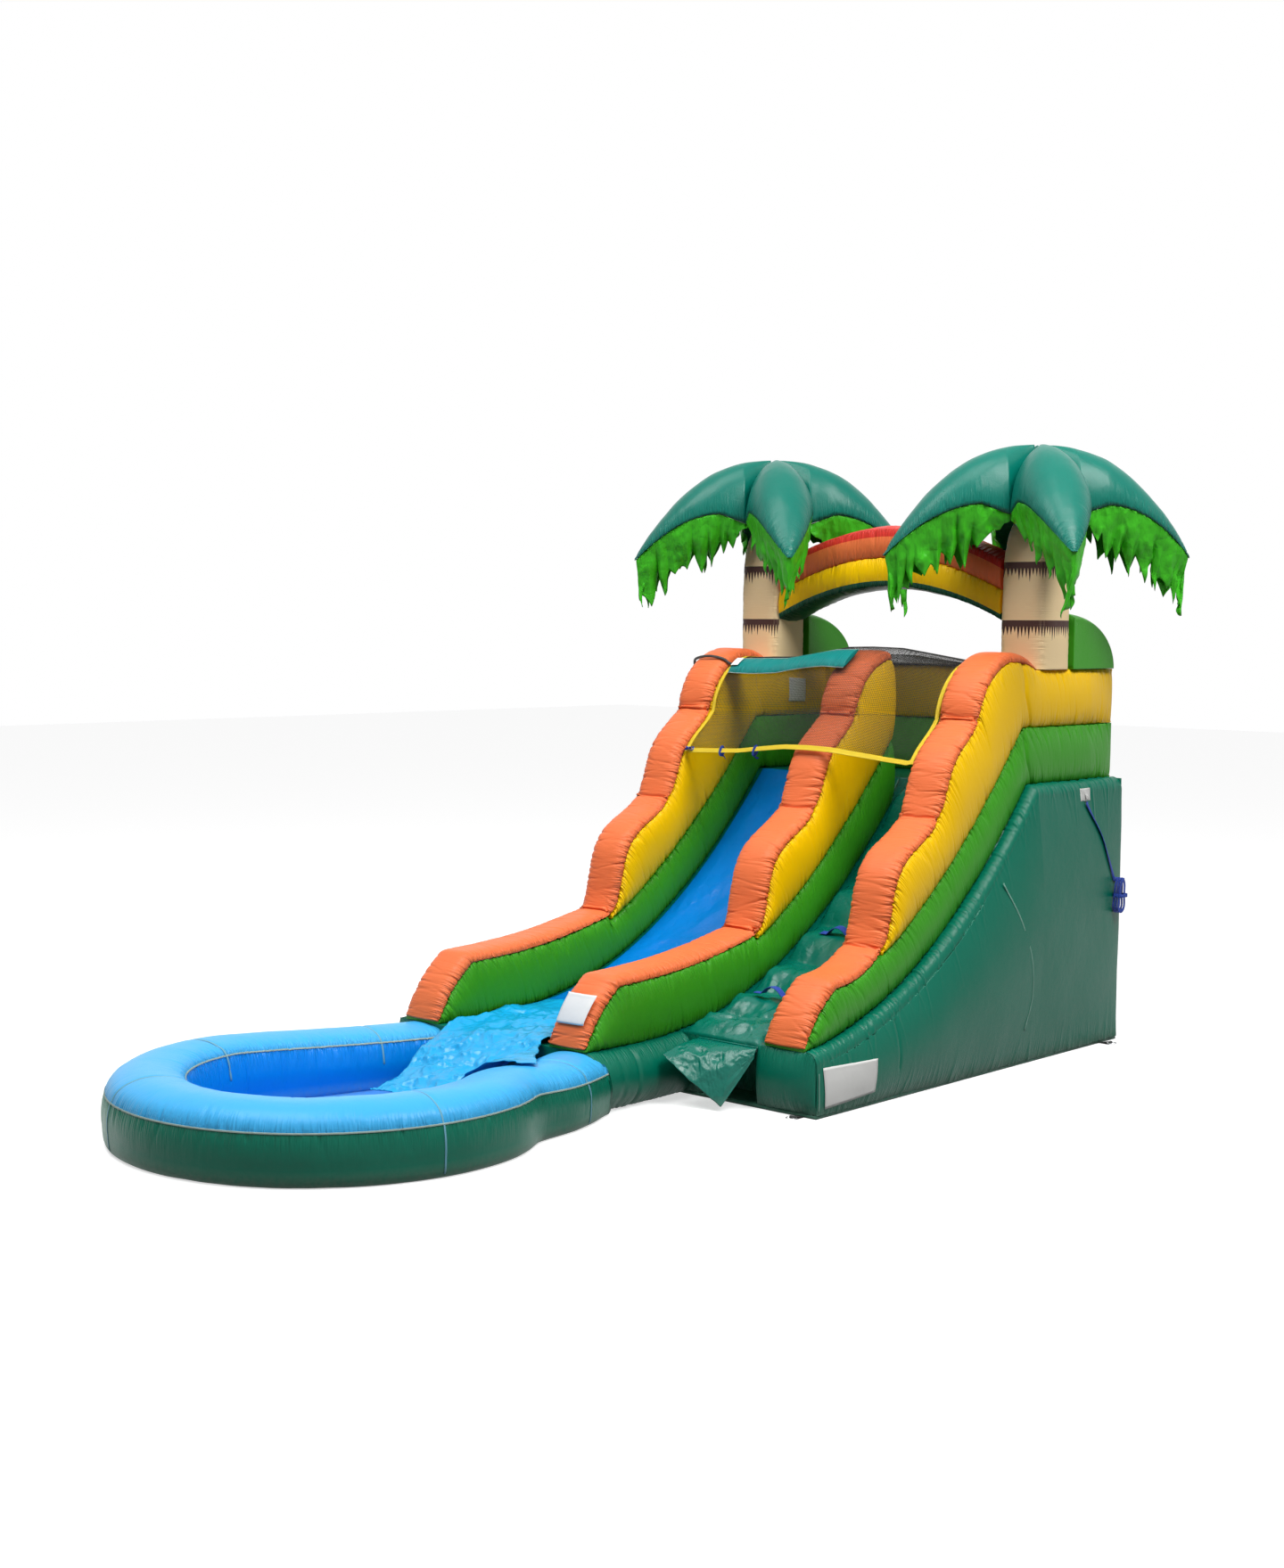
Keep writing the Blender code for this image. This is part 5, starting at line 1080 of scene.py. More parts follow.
def tube_grid(
    low: np.ndarray,
    high: np.ndarray,
    side: tuple[float, float, float],
    half: float,
    bulge: float,
    ease: np.ndarray | None = None,
) -> np.ndarray:
    """Sections of a sewn tube between two lines of points.

    Up each side the skin stands out by half + bulge·sin(πt)^0.5, in columns closest at the seams.

    Args:
        low: n × 3 points of the lower seams' middle.
        high: n × 3 points of the upper seams' middle.
        side: Unit vector across the tube.
        half: Half width at the seams.
        bulge: How far a side swells past its seams.
        ease: Share of the bulge at each point along, or None for all of it.

    Returns:
        n × columns × 3 points, with seams at TUBE_SEAMS.
    """
    t = eased(TUBE_ARC)
    swell = np.clip(np.sin(np.pi * t), 0, 1) ** 0.5
    tall = np.linalg.norm(high - low, axis=1)[:, None]
    share = 1.0 if ease is None else ease[:, None]
    out = half + bulge * share * np.clip(tall / 0.12, 0, 1) * swell
    flat = np.broadcast_to(np.array([1, -1]) * half / 3, (len(low), 2))
    reach = np.concatenate([out, flat, -out[:, ::-1], -flat], axis=1)
    level = np.concatenate([t, [1, 1], t[::-1], [0, 0]])
    middle = low[:, None] + (high - low)[:, None] * level[:, None]
    return middle + reach[..., None] * np.array(side)


def matched(
    low: np.ndarray, high: np.ndarray, corners: tuple[float, float], spacing: float
) -> tuple[np.ndarray, np.ndarray]:
    """Two lines read at matching places, even by length before and after a corner of each.

    Args:
        low: Polyline of runs and heights.
        high: Polyline of runs and heights.
        corners: The run at which each line turns.
        spacing: Greatest distance between places.

    Returns:
        The two lines at n places each.
    """
    lengths, turns = [], []
    for line, corner in zip((low, high), corners):
        lengths.append(measured(line))
        turns.append(float(np.interp(corner, line[:, 0], lengths[-1])))
    before = int(max(turns) / spacing) + 1 if min(turns) > spacing else 0
    after = int(max(lengths[0][-1] - turns[0], lengths[1][-1] - turns[1]) / spacing) + 2
    found = []
    for line, length, turn in zip((low, high), lengths, turns):
        places = np.linspace(turn if before else 0.0, length[-1], after)
        if before:
            places = np.concatenate([np.linspace(0, turn, before, endpoint=False), places])
        found.append(np.stack([np.interp(places, length, part) for part in line.T], axis=1))
    return found[0], found[1]


def upright(line: np.ndarray, x: float) -> np.ndarray:
    """A line of runs and heights as points in space at one x."""
    return stacked(np.full(len(line), x), PLAN.y_at(line[:, 0]), line[:, 1])


def bed_line(start: float, end: float) -> np.ndarray:
    """The bed as runs and heights."""
    runs = np.linspace(start, end, 300)
    return stacked(runs, PLAN.bed(runs))


def skin_area(grid: np.ndarray) -> float:
    """Area of a grid: half the cross product of each quad's diagonals, summed."""
    diagonals = np.cross(grid[1:, 1:] - grid[:-1, :-1], grid[1:, :-1] - grid[:-1, 1:])
    return float(np.linalg.norm(diagonals, axis=2).sum() / 2)


def standing_out(face: np.ndarray, spots: np.ndarray, axis: int, sign: int, reach: float) -> np.ndarray:
    """How far a surface stands out along an axis near each spot.

    Args:
        face: Any grid of points in space.
        spots: m × 2 places in the other two axes.
        axis: The axis along which the surface is measured.
        sign: 1 or -1, the way that is outward.
        reach: Points this close to a spot count.

    Returns:
        The outermost coordinate near each spot.
    """
    points = face.reshape(-1, 3)
    others = [k for k in range(3) if k != axis]
    found = []
    for spot in spots:
        near = np.hypot(*(points[:, others] - spot).T) < reach
        found.append(sign * np.max(sign * points[near, axis]))
    return np.array(found)


def denser(grid: np.ndarray, times: int) -> np.ndarray:
    """A grid with more columns, evenly between the ones that it has."""
    share = np.arange(times) / times
    between = grid[:, :-1, None] * (1 - share)[:, None] + grid[:, 1:, None] * share[:, None]
    return between.reshape(len(grid), -1, 3)


def quad_grid(corners: tuple, rows: int, columns: int) -> np.ndarray:
    """Places over a four-cornered patch of a plane: a blend of its corners, given in turn."""
    a, b, c, d = (np.array(corner, float) for corner in corners)
    u = np.linspace(0, 1, rows)[:, None, None]
    v = np.linspace(0, 1, columns)[None, :, None]
    return (a * (1 - v) + b * v) * (1 - u) + (d * (1 - v) + c * v) * u


def sewn_patch(
    name: str, face: np.ndarray, corners: tuple, axis: int, sign: int, finish: Finish
) -> bpy.types.Object:
    """A thin patch that follows a surface between four corners.

    Args:
        name: Name of the piece.
        face: The surface's points.
        corners: Four places in the two other axes.
        axis: The axis along which the surface faces.
        sign: 1 or -1, the way that is outward.
        finish: The patch's finish.

    Returns:
        The piece.
    """
    rows, columns, reach, clear, rounds, thickness = 14, 18, 0.030, 0.0042, 3, 0.0012
    spots = quad_grid(corners, rows, columns)
    out = standing_out(face, spots.reshape(-1, 2), axis, sign, reach).reshape(rows, columns)
    for _ in range(rounds):
        wide = np.pad(out, 1, mode="edge")
        out = (wide[:-2, 1:-1] + wide[2:, 1:-1] + wide[1:-1, :-2] + wide[1:-1, 2:]) / 4
    grid = np.insert(spots, axis, out + sign * clear, axis=2)
    return cloth(name, Skin.flat(grid), thickness, [finish])


def declare_sheet(
    skin: Skin,
    flat: tuple[float, float] | None = None,
) -> None:
    """Work out the cloth area of a skin, kept below its flat size, which comes from its lengths if none is
    given; nothing is done with it.
    """
    grid = skin.points
    if skin.closed:
        grid = np.concatenate([grid, grid[:, :1]], axis=1)
    if flat is None:
        width = float(np.linalg.norm(np.diff(grid, axis=1), axis=2).sum(axis=1).max())
        flat = (width, float(np.linalg.norm(np.diff(grid, axis=0), axis=2).sum(axis=0).max()))
    area = min(skin_area(grid), 0.999 * flat[0] * flat[1])


def tape(
    name: str,
    line: np.ndarray,
    normal: np.ndarray,
    size: tuple[float, float],
    columns: int,
    finish: Finish,
) -> None:
    """A narrow tape along a line of points on a piece.

    Args:
        name: Name of the tape.
        line: Its middle line.
        normal: The way that it faces, at each point or for all of them.
        size: Half its width, and its thickness.
        columns: Points across it.
        finish: Its finish.
    """
    half, thickness = size
    across = unit(np.cross(np.gradient(line, axis=0), normal))
    grid = line[:, None] + across[:, None] * np.linspace(-half, half, columns)[:, None]
    cloth(name, Skin.flat(grid), thickness, [finish])


@dataclass
class SideWall:
    """One side wall: a green and a yellow tube under a wavy crowned cap, perhaps with a label."""

    name: str
    x: float
    tip_run: float
    start: float
    cap_start: float
    seed: int
    yellow_end: float = 2.49
    half_seam: float = 0.1400
    bulge: float = 0.0370
    gap: float = 0.0015
    waist_pinch: float = 0.05
    waist_depth: float = 0.013
    waist_width: float = 0.0065
    cap_rows: float = 0.0044
    cap_columns: int = 31
    inner_label: tuple = ()
    nose_label: tuple = ()

    def build(self) -> None:
        """Build and dress the three tubes."""
        self.build_green()
        self.build_yellow()
        self.build_cap()

    def tube(self, name: str, low: np.ndarray, high: np.ndarray, finish: Coated, node: str) -> None:
        """One tube between two seam lines, gathered at its seams and creased where it bends."""
        low, high = matched(low, high, (PLAN.platform_run, PLAN.crest_run - 0.05), 0.0048)
        high = high - np.array([0.0, self.gap])
        lines = (upright(low, self.x), upright(high, self.x))
        ease = np.clip(low[:, 0] / 0.30, 0, 1) ** 0.6 if self.start == 0 else None
        grid = tube_grid(*lines, (1, 0, 0), self.half_seam, self.bulge, ease)
        skin = Skin(grid, TUBE_SEAMS).buckled(self.seed, depth=0.0035, cell=0.3)
        bend = float(np.interp(PLAN.crest_run - 0.1, high[:, 0], skin.along()))
        if self.start < PLAN.platform_run:
            skin = skin.creased(bend, depth=0.011, width=0.012, bow=0.25)
        skin = skin.gathered(self.seed + 1, depth=0.011, reach=0.055, pitch=0.032)
        inflated(name, skin, (0.002, 0.006), [finish], node)
        if finish is YELLOW and self.inner_label:
            sewn_patch("inner_label", skin.points[:, :TUBE_ARC], self.inner_label, 0, 1, LABEL)

    def build_green(self) -> None:
        """The lower tube, from the bed up to the seam, then up to the cap."""
        line, _, _ = PLAN.cap(self.tip_run)
        front = line[line[:, 0] > PLAN.junction_run]
        runs = np.linspace(self.start, PLAN.junction_run, 300)
        high = np.vstack([stacked(runs, PLAN.seam(runs)), front])
        low = bed_line(self.start, self.tip_run)
        self.tube(f"{self.name}_green_tube", low, high, GREEN, f"{self.name}_green")

    def build_yellow(self) -> None:
        """The middle tube, which runs out in a wedge at the third waist."""
        line, _, _ = PLAN.cap(self.tip_run)
        last = self.yellow_end
        runs = np.linspace(self.start, last, 300)
        low = stacked(runs, PLAN.seam(runs))
        cap = line[(line[:, 0] > max(self.start, self.cap_start)) & (line[:, 0] <= last)]
        rear = np.linspace(self.start, PLAN.cap_start, 60, endpoint=False)
        if self.start < PLAN.cap_start:
            cap = np.vstack([stacked(rear, np.full(60, PLAN.wall_top)), cap])
        elif cap[0, 0] > self.start:
            cap = np.vstack([[self.start, float(np.interp(self.start, *line.T))], cap])
        self.tube(f"{self.name}_yellow_tube", low, cap, YELLOW, f"{self.name}_yellow")

    def build_cap(self) -> None:
        """The crowned cap: crown·(1 - a⁴)^0.5 across, drawn in and creased at each waist."""
        line, crown, waist = PLAN.cap(self.tip_run)
        keep = line[:, 0] >= self.cap_start - 1e-6
        line, crown, waist = line[keep], crown[keep], waist[keep]
        places = even_rows(line, self.cap_rows)
        rounded = smooth(sample(line, places), 2)
        crown, waist = sample(crown, places), sample(waist, places)
        slope = np.gradient(rounded, axis=0)
        normal = unit(stacked(-slope[:, 1], slope[:, 0]))
        turn = np.linspace(np.pi / 2, -np.pi / 2, self.cap_columns)
        a = np.sin(turn)
        lift = 0.85 * np.clip(1 - a**4, 0, 1) ** 0.5
        a = np.concatenate([a, [-0.6, 0, 0.6]])
        lift = np.concatenate([lift, [-0.10, -0.12, -0.10]])
        rise = PLAN.cap_crown * crown[:, None] * lift
        half = (self.half_seam + 0.005) * (1 - self.waist_pinch * waist)
        forward, up = (rounded[:, [k]] + normal[:, [k]] * rise for k in (0, 1))
        grid = stacked(self.x + half[:, None] * a, PLAN.y_at(forward), up)
        skin = Skin(grid, (0, self.cap_columns - 1)).buckled(self.seed + 5, depth=0.003, cell=0.24)
        top = np.ones(grid.shape[:2])
        top[:, self.cap_columns :] = 0
        along = skin.along()
        inside = range(4, len(waist) - 4)
        peaks = [k for k in inside if waist[k] > 0.6 and waist[k] == waist[k - 4 : k + 5].max()]
        rng = np.random.default_rng(self.seed)
        amount = np.zeros(grid.shape[:2])
        bow = skin.from_seams()
        for k in peaks:
            apart = along[:, None] - along[k] - 0.08 * bow
            amount -= self.waist_depth * bell(apart, self.waist_width)
            amount -= 0.5 * self.waist_depth * bell(apart, 0.035)
        for k in range(0, len(along) - 1, 46):
            place = along[k] + rng.uniform(0, 0.2)
            apart = along[:, None] - place - rng.normal(0, 0.12) * grid[..., 0]
            amount -= rng.uniform(0.0005, 0.0025) * bell(apart, 0.006)
        skin = skin.pushed(amount * top).gathered(self.seed + 6, depth=0.013, reach=0.062, pitch=0.027)
        inflated(f"{self.name}_cap", skin, (0.012, 0.01), [ORANGE], f"{self.name}_orange")
        if self.nose_label:
            nose = skin.points[len(skin.points) // 2 :, : self.cap_columns]
            sewn_patch("nose_label", nose, self.nose_label, 1, -1, LABEL)


@dataclass
class BackWall:
    """Two tubes across the back of the platform."""

    half_seam: float = 0.1400
    bulge: float = 0.0330

    def build(self) -> None:
        """Build and dress both tubes."""
        x = np.linspace(-PLAN.inner_x - 0.012, PLAN.inner_x + 0.012, 190)
        y = np.full(len(x), PLAN.y_at(PLAN.half_wall))
        levels = (
            ("back_wall_green", PLAN.platform, PLAN.green_top, GREEN, 71),
            ("back_wall_yellow", PLAN.green_top, PLAN.wall_top, YELLOW, 73),
        )
        for name, low, high, finish, seed in levels:
            bottom = stacked(x, y, np.full(len(x), low + 0.0005))
            top = stacked(x, y, np.full(len(x), high - 0.0015))
            grid = tube_grid(bottom, top, (0, 1, 0), self.half_seam, self.bulge)
            skin = Skin(grid, TUBE_SEAMS).buckled(seed, depth=0.0035, cell=0.3)
            skin = skin.gathered(seed, depth=0.007, reach=0.045, pitch=0.04)
            inflated(f"{name}_tube", skin, (0.004, 0.004), [finish], name)


@dataclass
class Base:
    """The bulging base: side, rear and front panels, beds, inner baffles and the ground sheet."""

    panel_bulge: float = 0.085
    roll_wide: float = 0.060
    roll_tall: float = 0.075
    skin: float = 0.004
    low: float = 0.0203
    rear_bulge: float = 0.022
    recess_depth: float = 0.25
    lane_left: float = 0.4565
    lane_right: float = 0.8595
    recess_slant: float = 0.03
    bed_sheet: float = 0.046
    step_count: int = 7
    step_rise: float = 0.085
    step_margin: float = 0.05
    exit_bulge: float = 0.11
    inlet_x: float = 0.72
    inlet_z: float = 0.1453
    inlet_radius: float = 0.117
    right_face: np.ndarray = field(default_factory=lambda: np.zeros((1, 1, 3)))

    def build(self) -> None:
        """Build and dress every piece."""
        self.build_sides()
        self.build_rear()
        self.build_front()
        self.build_beds()
        self.build_formers()
        self.build_exit()
        self.build_floor()

    def build_sides(self) -> None:
        """Side panels: half + bulge·sin(πr)^0.7·sin(πu)^0.8 up the side, then rolled over the ledge."""
        runs = np.linspace(0.0, PLAN.base_run, 540)
        top = PLAN.bed(runs)[:, None]
        u = eased(34)
        swell = np.clip(np.sin(np.pi * runs / PLAN.base_run), 0, 1)[:, None] ** 0.7
        z = self.low + (top - self.roll_tall - self.low) * u
        x = PLAN.half_base + self.panel_bulge * swell * np.sin(np.pi * u * 0.97) ** 0.8
        turn = np.linspace(0, np.pi / 2, 12)[1:]
        x = np.concatenate([x, x[:, -1:] - self.roll_wide * (1 - np.cos(turn))], axis=1)
        z = np.concatenate([z, top - self.roll_tall * (1 - np.sin(turn))], axis=1)
        share = np.linspace(0, 1, 4)[1:]
        x = np.concatenate([x, x[:, -1:] * (1 - share) + 1.214 * share], axis=1)
        z = np.concatenate([z, top + 0 * share], axis=1)
        y = PLAN.y_at(runs)[:, None]
        for name, side, seed in (("base_left_panel", -1, 91), ("base_right_panel", 1, 95)):
            grid = stacked(side * x, y, z)
            if side < 0:
                grid = grid[::-1]
            skin = Skin(grid, (44,), closed=False).buckled(seed, depth=0.005, cell=0.5)
            skin = skin.gathered(seed, depth=0.011, reach=0.085, pitch=0.024)
            pulled = Skin(skin.points, (0,), False).gathered(seed + 1, depth=0.006, reach=0.06, pitch=0.05)
            crease = bell(runs[:, None] - 2.50, 0.009) * (u > 0.35) * (u < 0.97)
            pulled.points[:, : len(u), 0] -= side * 0.007 * crease
            cloth(f"{name}_skin", pulled, self.skin, [DARK_GREEN], (name,))
            if side > 0:
                self.right_face = denser(pulled.points, 6)
        self.build_marks()

    def build_marks(self) -> None:
        """A blank label and two seam tapes on the right panel; the tapes' pale colour is partly painted
        highlight along the seams.
        """
        corners = ((-2.436, 0.283), (-1.985, 0.277), (-1.995, 0.086), (-2.420, 0.052))
        sewn_patch("side_label", self.right_face, corners, 0, 1, LABEL)
        curves = {
            "panel_seam_tape": (
                (-0.72, 1.155),
                (-0.56, 0.90),
                (-0.445, 0.66),
                (-0.415, 0.43),
                (-0.468, 0.226),
            ),
            "corner_seam_tape": ((-2.468, 0.255), (-2.470, 0.18), (-2.468, 0.11), (-2.466, 0.045)),
        }
        for name, given in curves.items():
            line = spline([(0.0, y, z) for y, z in given], 12)
            x = standing_out(self.right_face, line[:, 1:], 0, 1, 0.028)
            line[:, 0] = averaged(x, 4) + 0.0030
            # The tape's pale colour paints the seam's highlight as well as the seam.
            tape(name, line, np.array([1.0, 0.0, 0.0]), (0.0052, 0.0010), 3, SEAM_TAPE_AND_HIGHLIGHT)

    def build_rear(self) -> None:
        """The rear panel, quilted slightly between the baffles, with the air inlet's hole."""
        x = np.linspace(-PLAN.half_base + 0.001, PLAN.half_base - 0.001, 130)[:, None]
        z = np.linspace(self.low, PLAN.platform, 72)[None, :]
        share = (z - self.low) / (PLAN.platform - self.low)
        lobes = np.abs(np.sin(np.pi * (x / PLAN.half_base + 1) * 1.5)) ** 0.7
        swell = self.rear_bulge * lobes * np.sin(np.pi * share) ** 0.5
        near_inlet = bell(np.hypot(x - self.inlet_x, z - self.inlet_z), 0.25)
        near_zip = bell(x + 0.55, 0.42) * bell(z - 0.22, 0.12)
        y = PLAN.palm_setback + swell * (1 - near_inlet) * (1 - 0.98 * np.clip(near_zip * 1.6, 0, 1))
        grid = stacked(x, y, z)
        skin = Skin(grid, (0, grid.shape[1] - 1), closed=False)
        hole = ((self.inlet_x, PLAN.palm_setback, self.inlet_z), self.inlet_radius, "Y")
        node = ("base_rear_panel",)
        name = "base_rear_panel_skin"
        cloth(name, skin, self.skin, [DARK_GREEN], node, holes=(hole,))

    def build_front(self) -> None:
        """The low front panel, stepped back under the climbing lane, its blocks swollen forward."""
        run = PLAN.base_run
        back = run - self.recess_depth
        left, right = self.lane_left, self.lane_right
        corners = np.array(
            [
                (-PLAN.half_base, run),
                (left, run),
                (left + self.recess_slant, back),
                (right - self.recess_slant, back),
                (right, run),
                (PLAN.half_base, run),
            ]
        )
        places = even_rows(corners, 0.009)
        line = smooth(sample(corners, places), 2)
        toe = np.clip((line[:, 0] - right) / (PLAN.half_base - right), 0, 1)
        toe_swell = np.where(line[:, 0] > right, 0.045 * np.sin(np.pi * toe) ** 0.5, 0)
        t = eased(26)
        corner = np.clip((np.abs(line[:, 0]) - PLAN.half_base + self.roll_wide) / self.roll_wide, 0, 1)
        drop = self.roll_tall * (1 - np.sqrt(1 - corner**2))
        high = (PLAN.bed(np.minimum(line[:, 1], run)) - 0.002 - drop)[:, None]
        z = self.low + (high - self.low) * t
        out = (0.006 + toe_swell)[:, None] * np.sin(np.pi * t) ** 0.7
        y = PLAN.y_at(line[:, 1])[:, None] - out
        grid = stacked(line[:, :1], y, z)
        skin = Skin(grid, (0, grid.shape[1] - 1), closed=False)
        skin = skin.gathered(101, depth=0.006, reach=0.06, pitch=0.024)
        cloth(
            "base_front_panel_skin",
            skin,
            self.skin,
            [DARK_GREEN],
            ("base_front_panel",),
        )

    def steps(self, run: np.ndarray, across: np.ndarray) -> np.ndarray:
        """Rise of the climbing steps: rise·sin(πs^1.4) along, tapered to nothing at both sides."""
        pitch = (PLAN.base_run - PLAN.platform_run) / self.step_count
        share = (run - PLAN.platform_run) / pitch
        ends = np.clip(np.minimum(share, self.step_count - share), 0, 1)
        return self.step_rise * np.sin(np.pi * (share % 1.0) ** 1.4) * np.sign(ends) * across

    def build_beds(self) -> None:
        """The deck, the slide's bed and the stepped, loosely covered climbing bed."""
        parts = (
            ("platform_deck", 0.002, PLAN.platform_run, -1.213, 1.213, GREEN_DECK),
            ("slide_bed", PLAN.platform_run, PLAN.base_run, -1.213, 0.26, DARK_GREEN),
            ("climb_bed", PLAN.platform_run, PLAN.base_run, 0.262, 1.213, LOOSE_GREEN),
        )
        for name, start, end, left, right, finish in parts:
            run = np.linspace(start, end, int((end - start) / 0.009))[:, None]
            x = np.linspace(left, right, 90)[None, :]
            z = PLAN.bed(run)
            if name == "climb_bed":
                inside = np.clip(np.minimum(x - 0.3165, 0.8895 - x) / self.step_margin, 0, 1)
                inside = softened(inside)
                low = np.clip((run - 2.0) / 1.0, 0, 1)
                folds = crumple(run, x, cell=0.13, seed=5, octaves=4) * (0.006 + 0.022 * low) * inside
                ending = 1 - np.clip((run - 3.12) / 0.08, 0, 1)
                z = z + self.steps(run, inside) * (1 - 0.45 * low) + folds * ending
            grid = stacked(x, PLAN.y_at(run), z)
            lower = grid - np.array([0, 0, self.bed_sheet])
            item = MeshMaker.shell(f"{name}_skin", Skin.flat(grid), lower)
            dress(item, [finish], (name,))

    def build_formers(self) -> None:
        """Upright baffles inside the base, under the bed, each with two round vents."""
        for name, share in zip(FORMERS, (-0.37, 0.30)):
            x = share * 1.2562
            last = 3.166 if x < self.lane_left else 2.9
            run = np.linspace(0.034, last, 120)[:, None]
            t = np.linspace(0, 1, 12)[None, :]
            z = self.low + 0.002 + (PLAN.bed(run) - 0.052 - self.low) * t
            grid = stacked(x, PLAN.y_at(run), z)
            skin = Skin.flat(grid)
            vents = []
            for place in (0.16, 0.45):
                at = place * PLAN.base_run
                tall = float(PLAN.bed(at))
                vents.append(((x, PLAN.y_at(at), 0.45 * tall), min(0.12, tall / 4), "X"))
            cloth(
                f"{name}_baffle", skin, self.skin, [DARK_GREEN], (name,), holes=vents
            )

    def build_exit(self) -> None:
        """The chamber under the end of the slide: its right side stands out by bulge·sin(πt)^0.6."""
        run = np.linspace(PLAN.base_run - 0.004, PLAN.long_wall, 96)
        top = PLAN.bed(run)[:, None]
        t = eased(24)
        swell = np.clip(np.sin(np.pi * t), 0, 1)
        right = 0.3015 + self.exit_bulge * swell**0.6
        left = -PLAN.half_base + 0.025 - 0.025 * swell
        roof = np.linspace(0.3015, -PLAN.half_base + 0.025, 22)[1:-1]
        x = np.concatenate([right, roof, left[::-1], roof[::4][::-1]])
        level = np.concatenate([t, np.ones(len(roof)), t[::-1], np.zeros(len(roof[::4]))])
        z = 0.001 + (top - 0.001) * level
        grid = stacked(x, PLAN.y_at(run)[:, None], z)
        skin = Skin(grid, (0, 23, 23 + len(roof) + 1, 46 + len(roof))).buckled(121, depth=0.004, cell=0.3)
        side = np.zeros(grid.shape[:2])
        side[:, :24] = 1
        along = skin.along()[:, None]
        amount = -0.011 * bell(along - 0.47, 0.011) - 0.004 * bell(along - 0.60, 0.02)
        skin = skin.pushed(amount * side).gathered(122, depth=0.0085, reach=0.06, pitch=0.024)
        skin.points[..., 2] = np.maximum(skin.points[..., 2], 0.0008)
        inflated("exit_chamber", skin, (0.0, 0.004), [DARK_GREEN], "exit_base")

    def build_floor(self) -> None:
        """The flat ground sheet."""
        x = np.linspace(-PLAN.half_base, PLAN.half_base, 70)[:, None]
        run = np.linspace(0, PLAN.base_run, 70)[None, :]
        grid = stacked(x, PLAN.y_at(run), 0.0195)
        lower = stacked(x, PLAN.y_at(run), 0.0005)
        skin = Skin.flat(grid)
        item = MeshMaker.shell("base_floor_sheet", skin, lower)
        dress(item, [DARK_GREEN], ("base_floor",))
        declare_sheet(skin)


@dataclass
class GroundTab:
    """A webbing tab under the base's edge with its steel ring."""

    name: str
    x: float
    y: float
    way: tuple[float, float]
    length: float = 0.07
    width: float = 0.045
    thickness: float = 0.0045
    eye: float = 0.010
    wire: float = 0.0030
    ring_width: float = 0.062
    ring_depth: float = 0.045
    least_height: float = 0.0004

    def place(self, local: np.ndarray) -> np.ndarray:
        """Points from the tab's own axes, X outward, to the frame's."""
        out = np.array([*self.way, 0.0])
        side = np.array([-self.way[1], self.way[0], 0.0])
        up = np.array([0.0, 0.0, 1.0])
        origin = np.array([self.x, self.y, 0.0])
        return origin + local[..., :1] * out + local[..., 1:2] * side + local[..., 2:] * up

    def build(self) -> None:
        """Build and dress the tab, folded round the ring's bar, and its ring."""
        turn = np.linspace(-np.pi / 2, 0.75 * np.pi, 22)
        radius = self.eye - self.thickness / 2
        start = np.linspace(-0.02, self.length, 12, endpoint=False)
        flat = stacked(start, np.full(12, self.eye - radius))
        bend = stacked(self.length + radius * np.cos(turn), self.eye + radius * np.sin(turn))
        back = np.linspace(bend[-1], np.array([self.length - 0.045, self.thickness * 1.5]), 8)[1:]
        path = np.vstack([flat, bend, back])
        tangent = unit(np.gradient(path, axis=0))
        out = stacked(tangent[:, 1], -tangent[:, 0])
        section = strap_section(self.width, self.thickness)
        forward, rise = (path[:, [k]] + out[:, [k]] * section[:, 1] for k in (0, 1))
        local = stacked(forward, section[:, 0], np.maximum(rise, self.least_height))
        trim(f"ground_tab_{self.name}", self.place(local), BLACK_STRAP)
        self.build_ring()

    def build_ring(self) -> None:
        """The D ring: a straight bar and a half circle."""
        half = self.ring_width / 2
        arc = np.linspace(np.pi / 2, -np.pi / 2, 40)
        centre = self.ring_depth - half
        bow = stacked(centre + half * np.cos(arc), half * np.sin(arc))
        bar = stacked(np.zeros(16), np.linspace(-(half - self.wire), half - self.wire, 16))
        outline = np.vstack([bar, bow])
        points = stacked(self.length + outline[:, 0], outline[:, 1], np.full(len(outline), self.eye))
        ring = sweep(self.place(points), round_section(self.wire, 12), (0, 0, 1), closed_path=True)
        steel = MeshMaker.tube(f"steel_ring_{self.name}", Skin(ring), None)
        dress(steel, [STEEL], (f"anchor_ring_{self.name}",), body=f"ring_{self.name}")


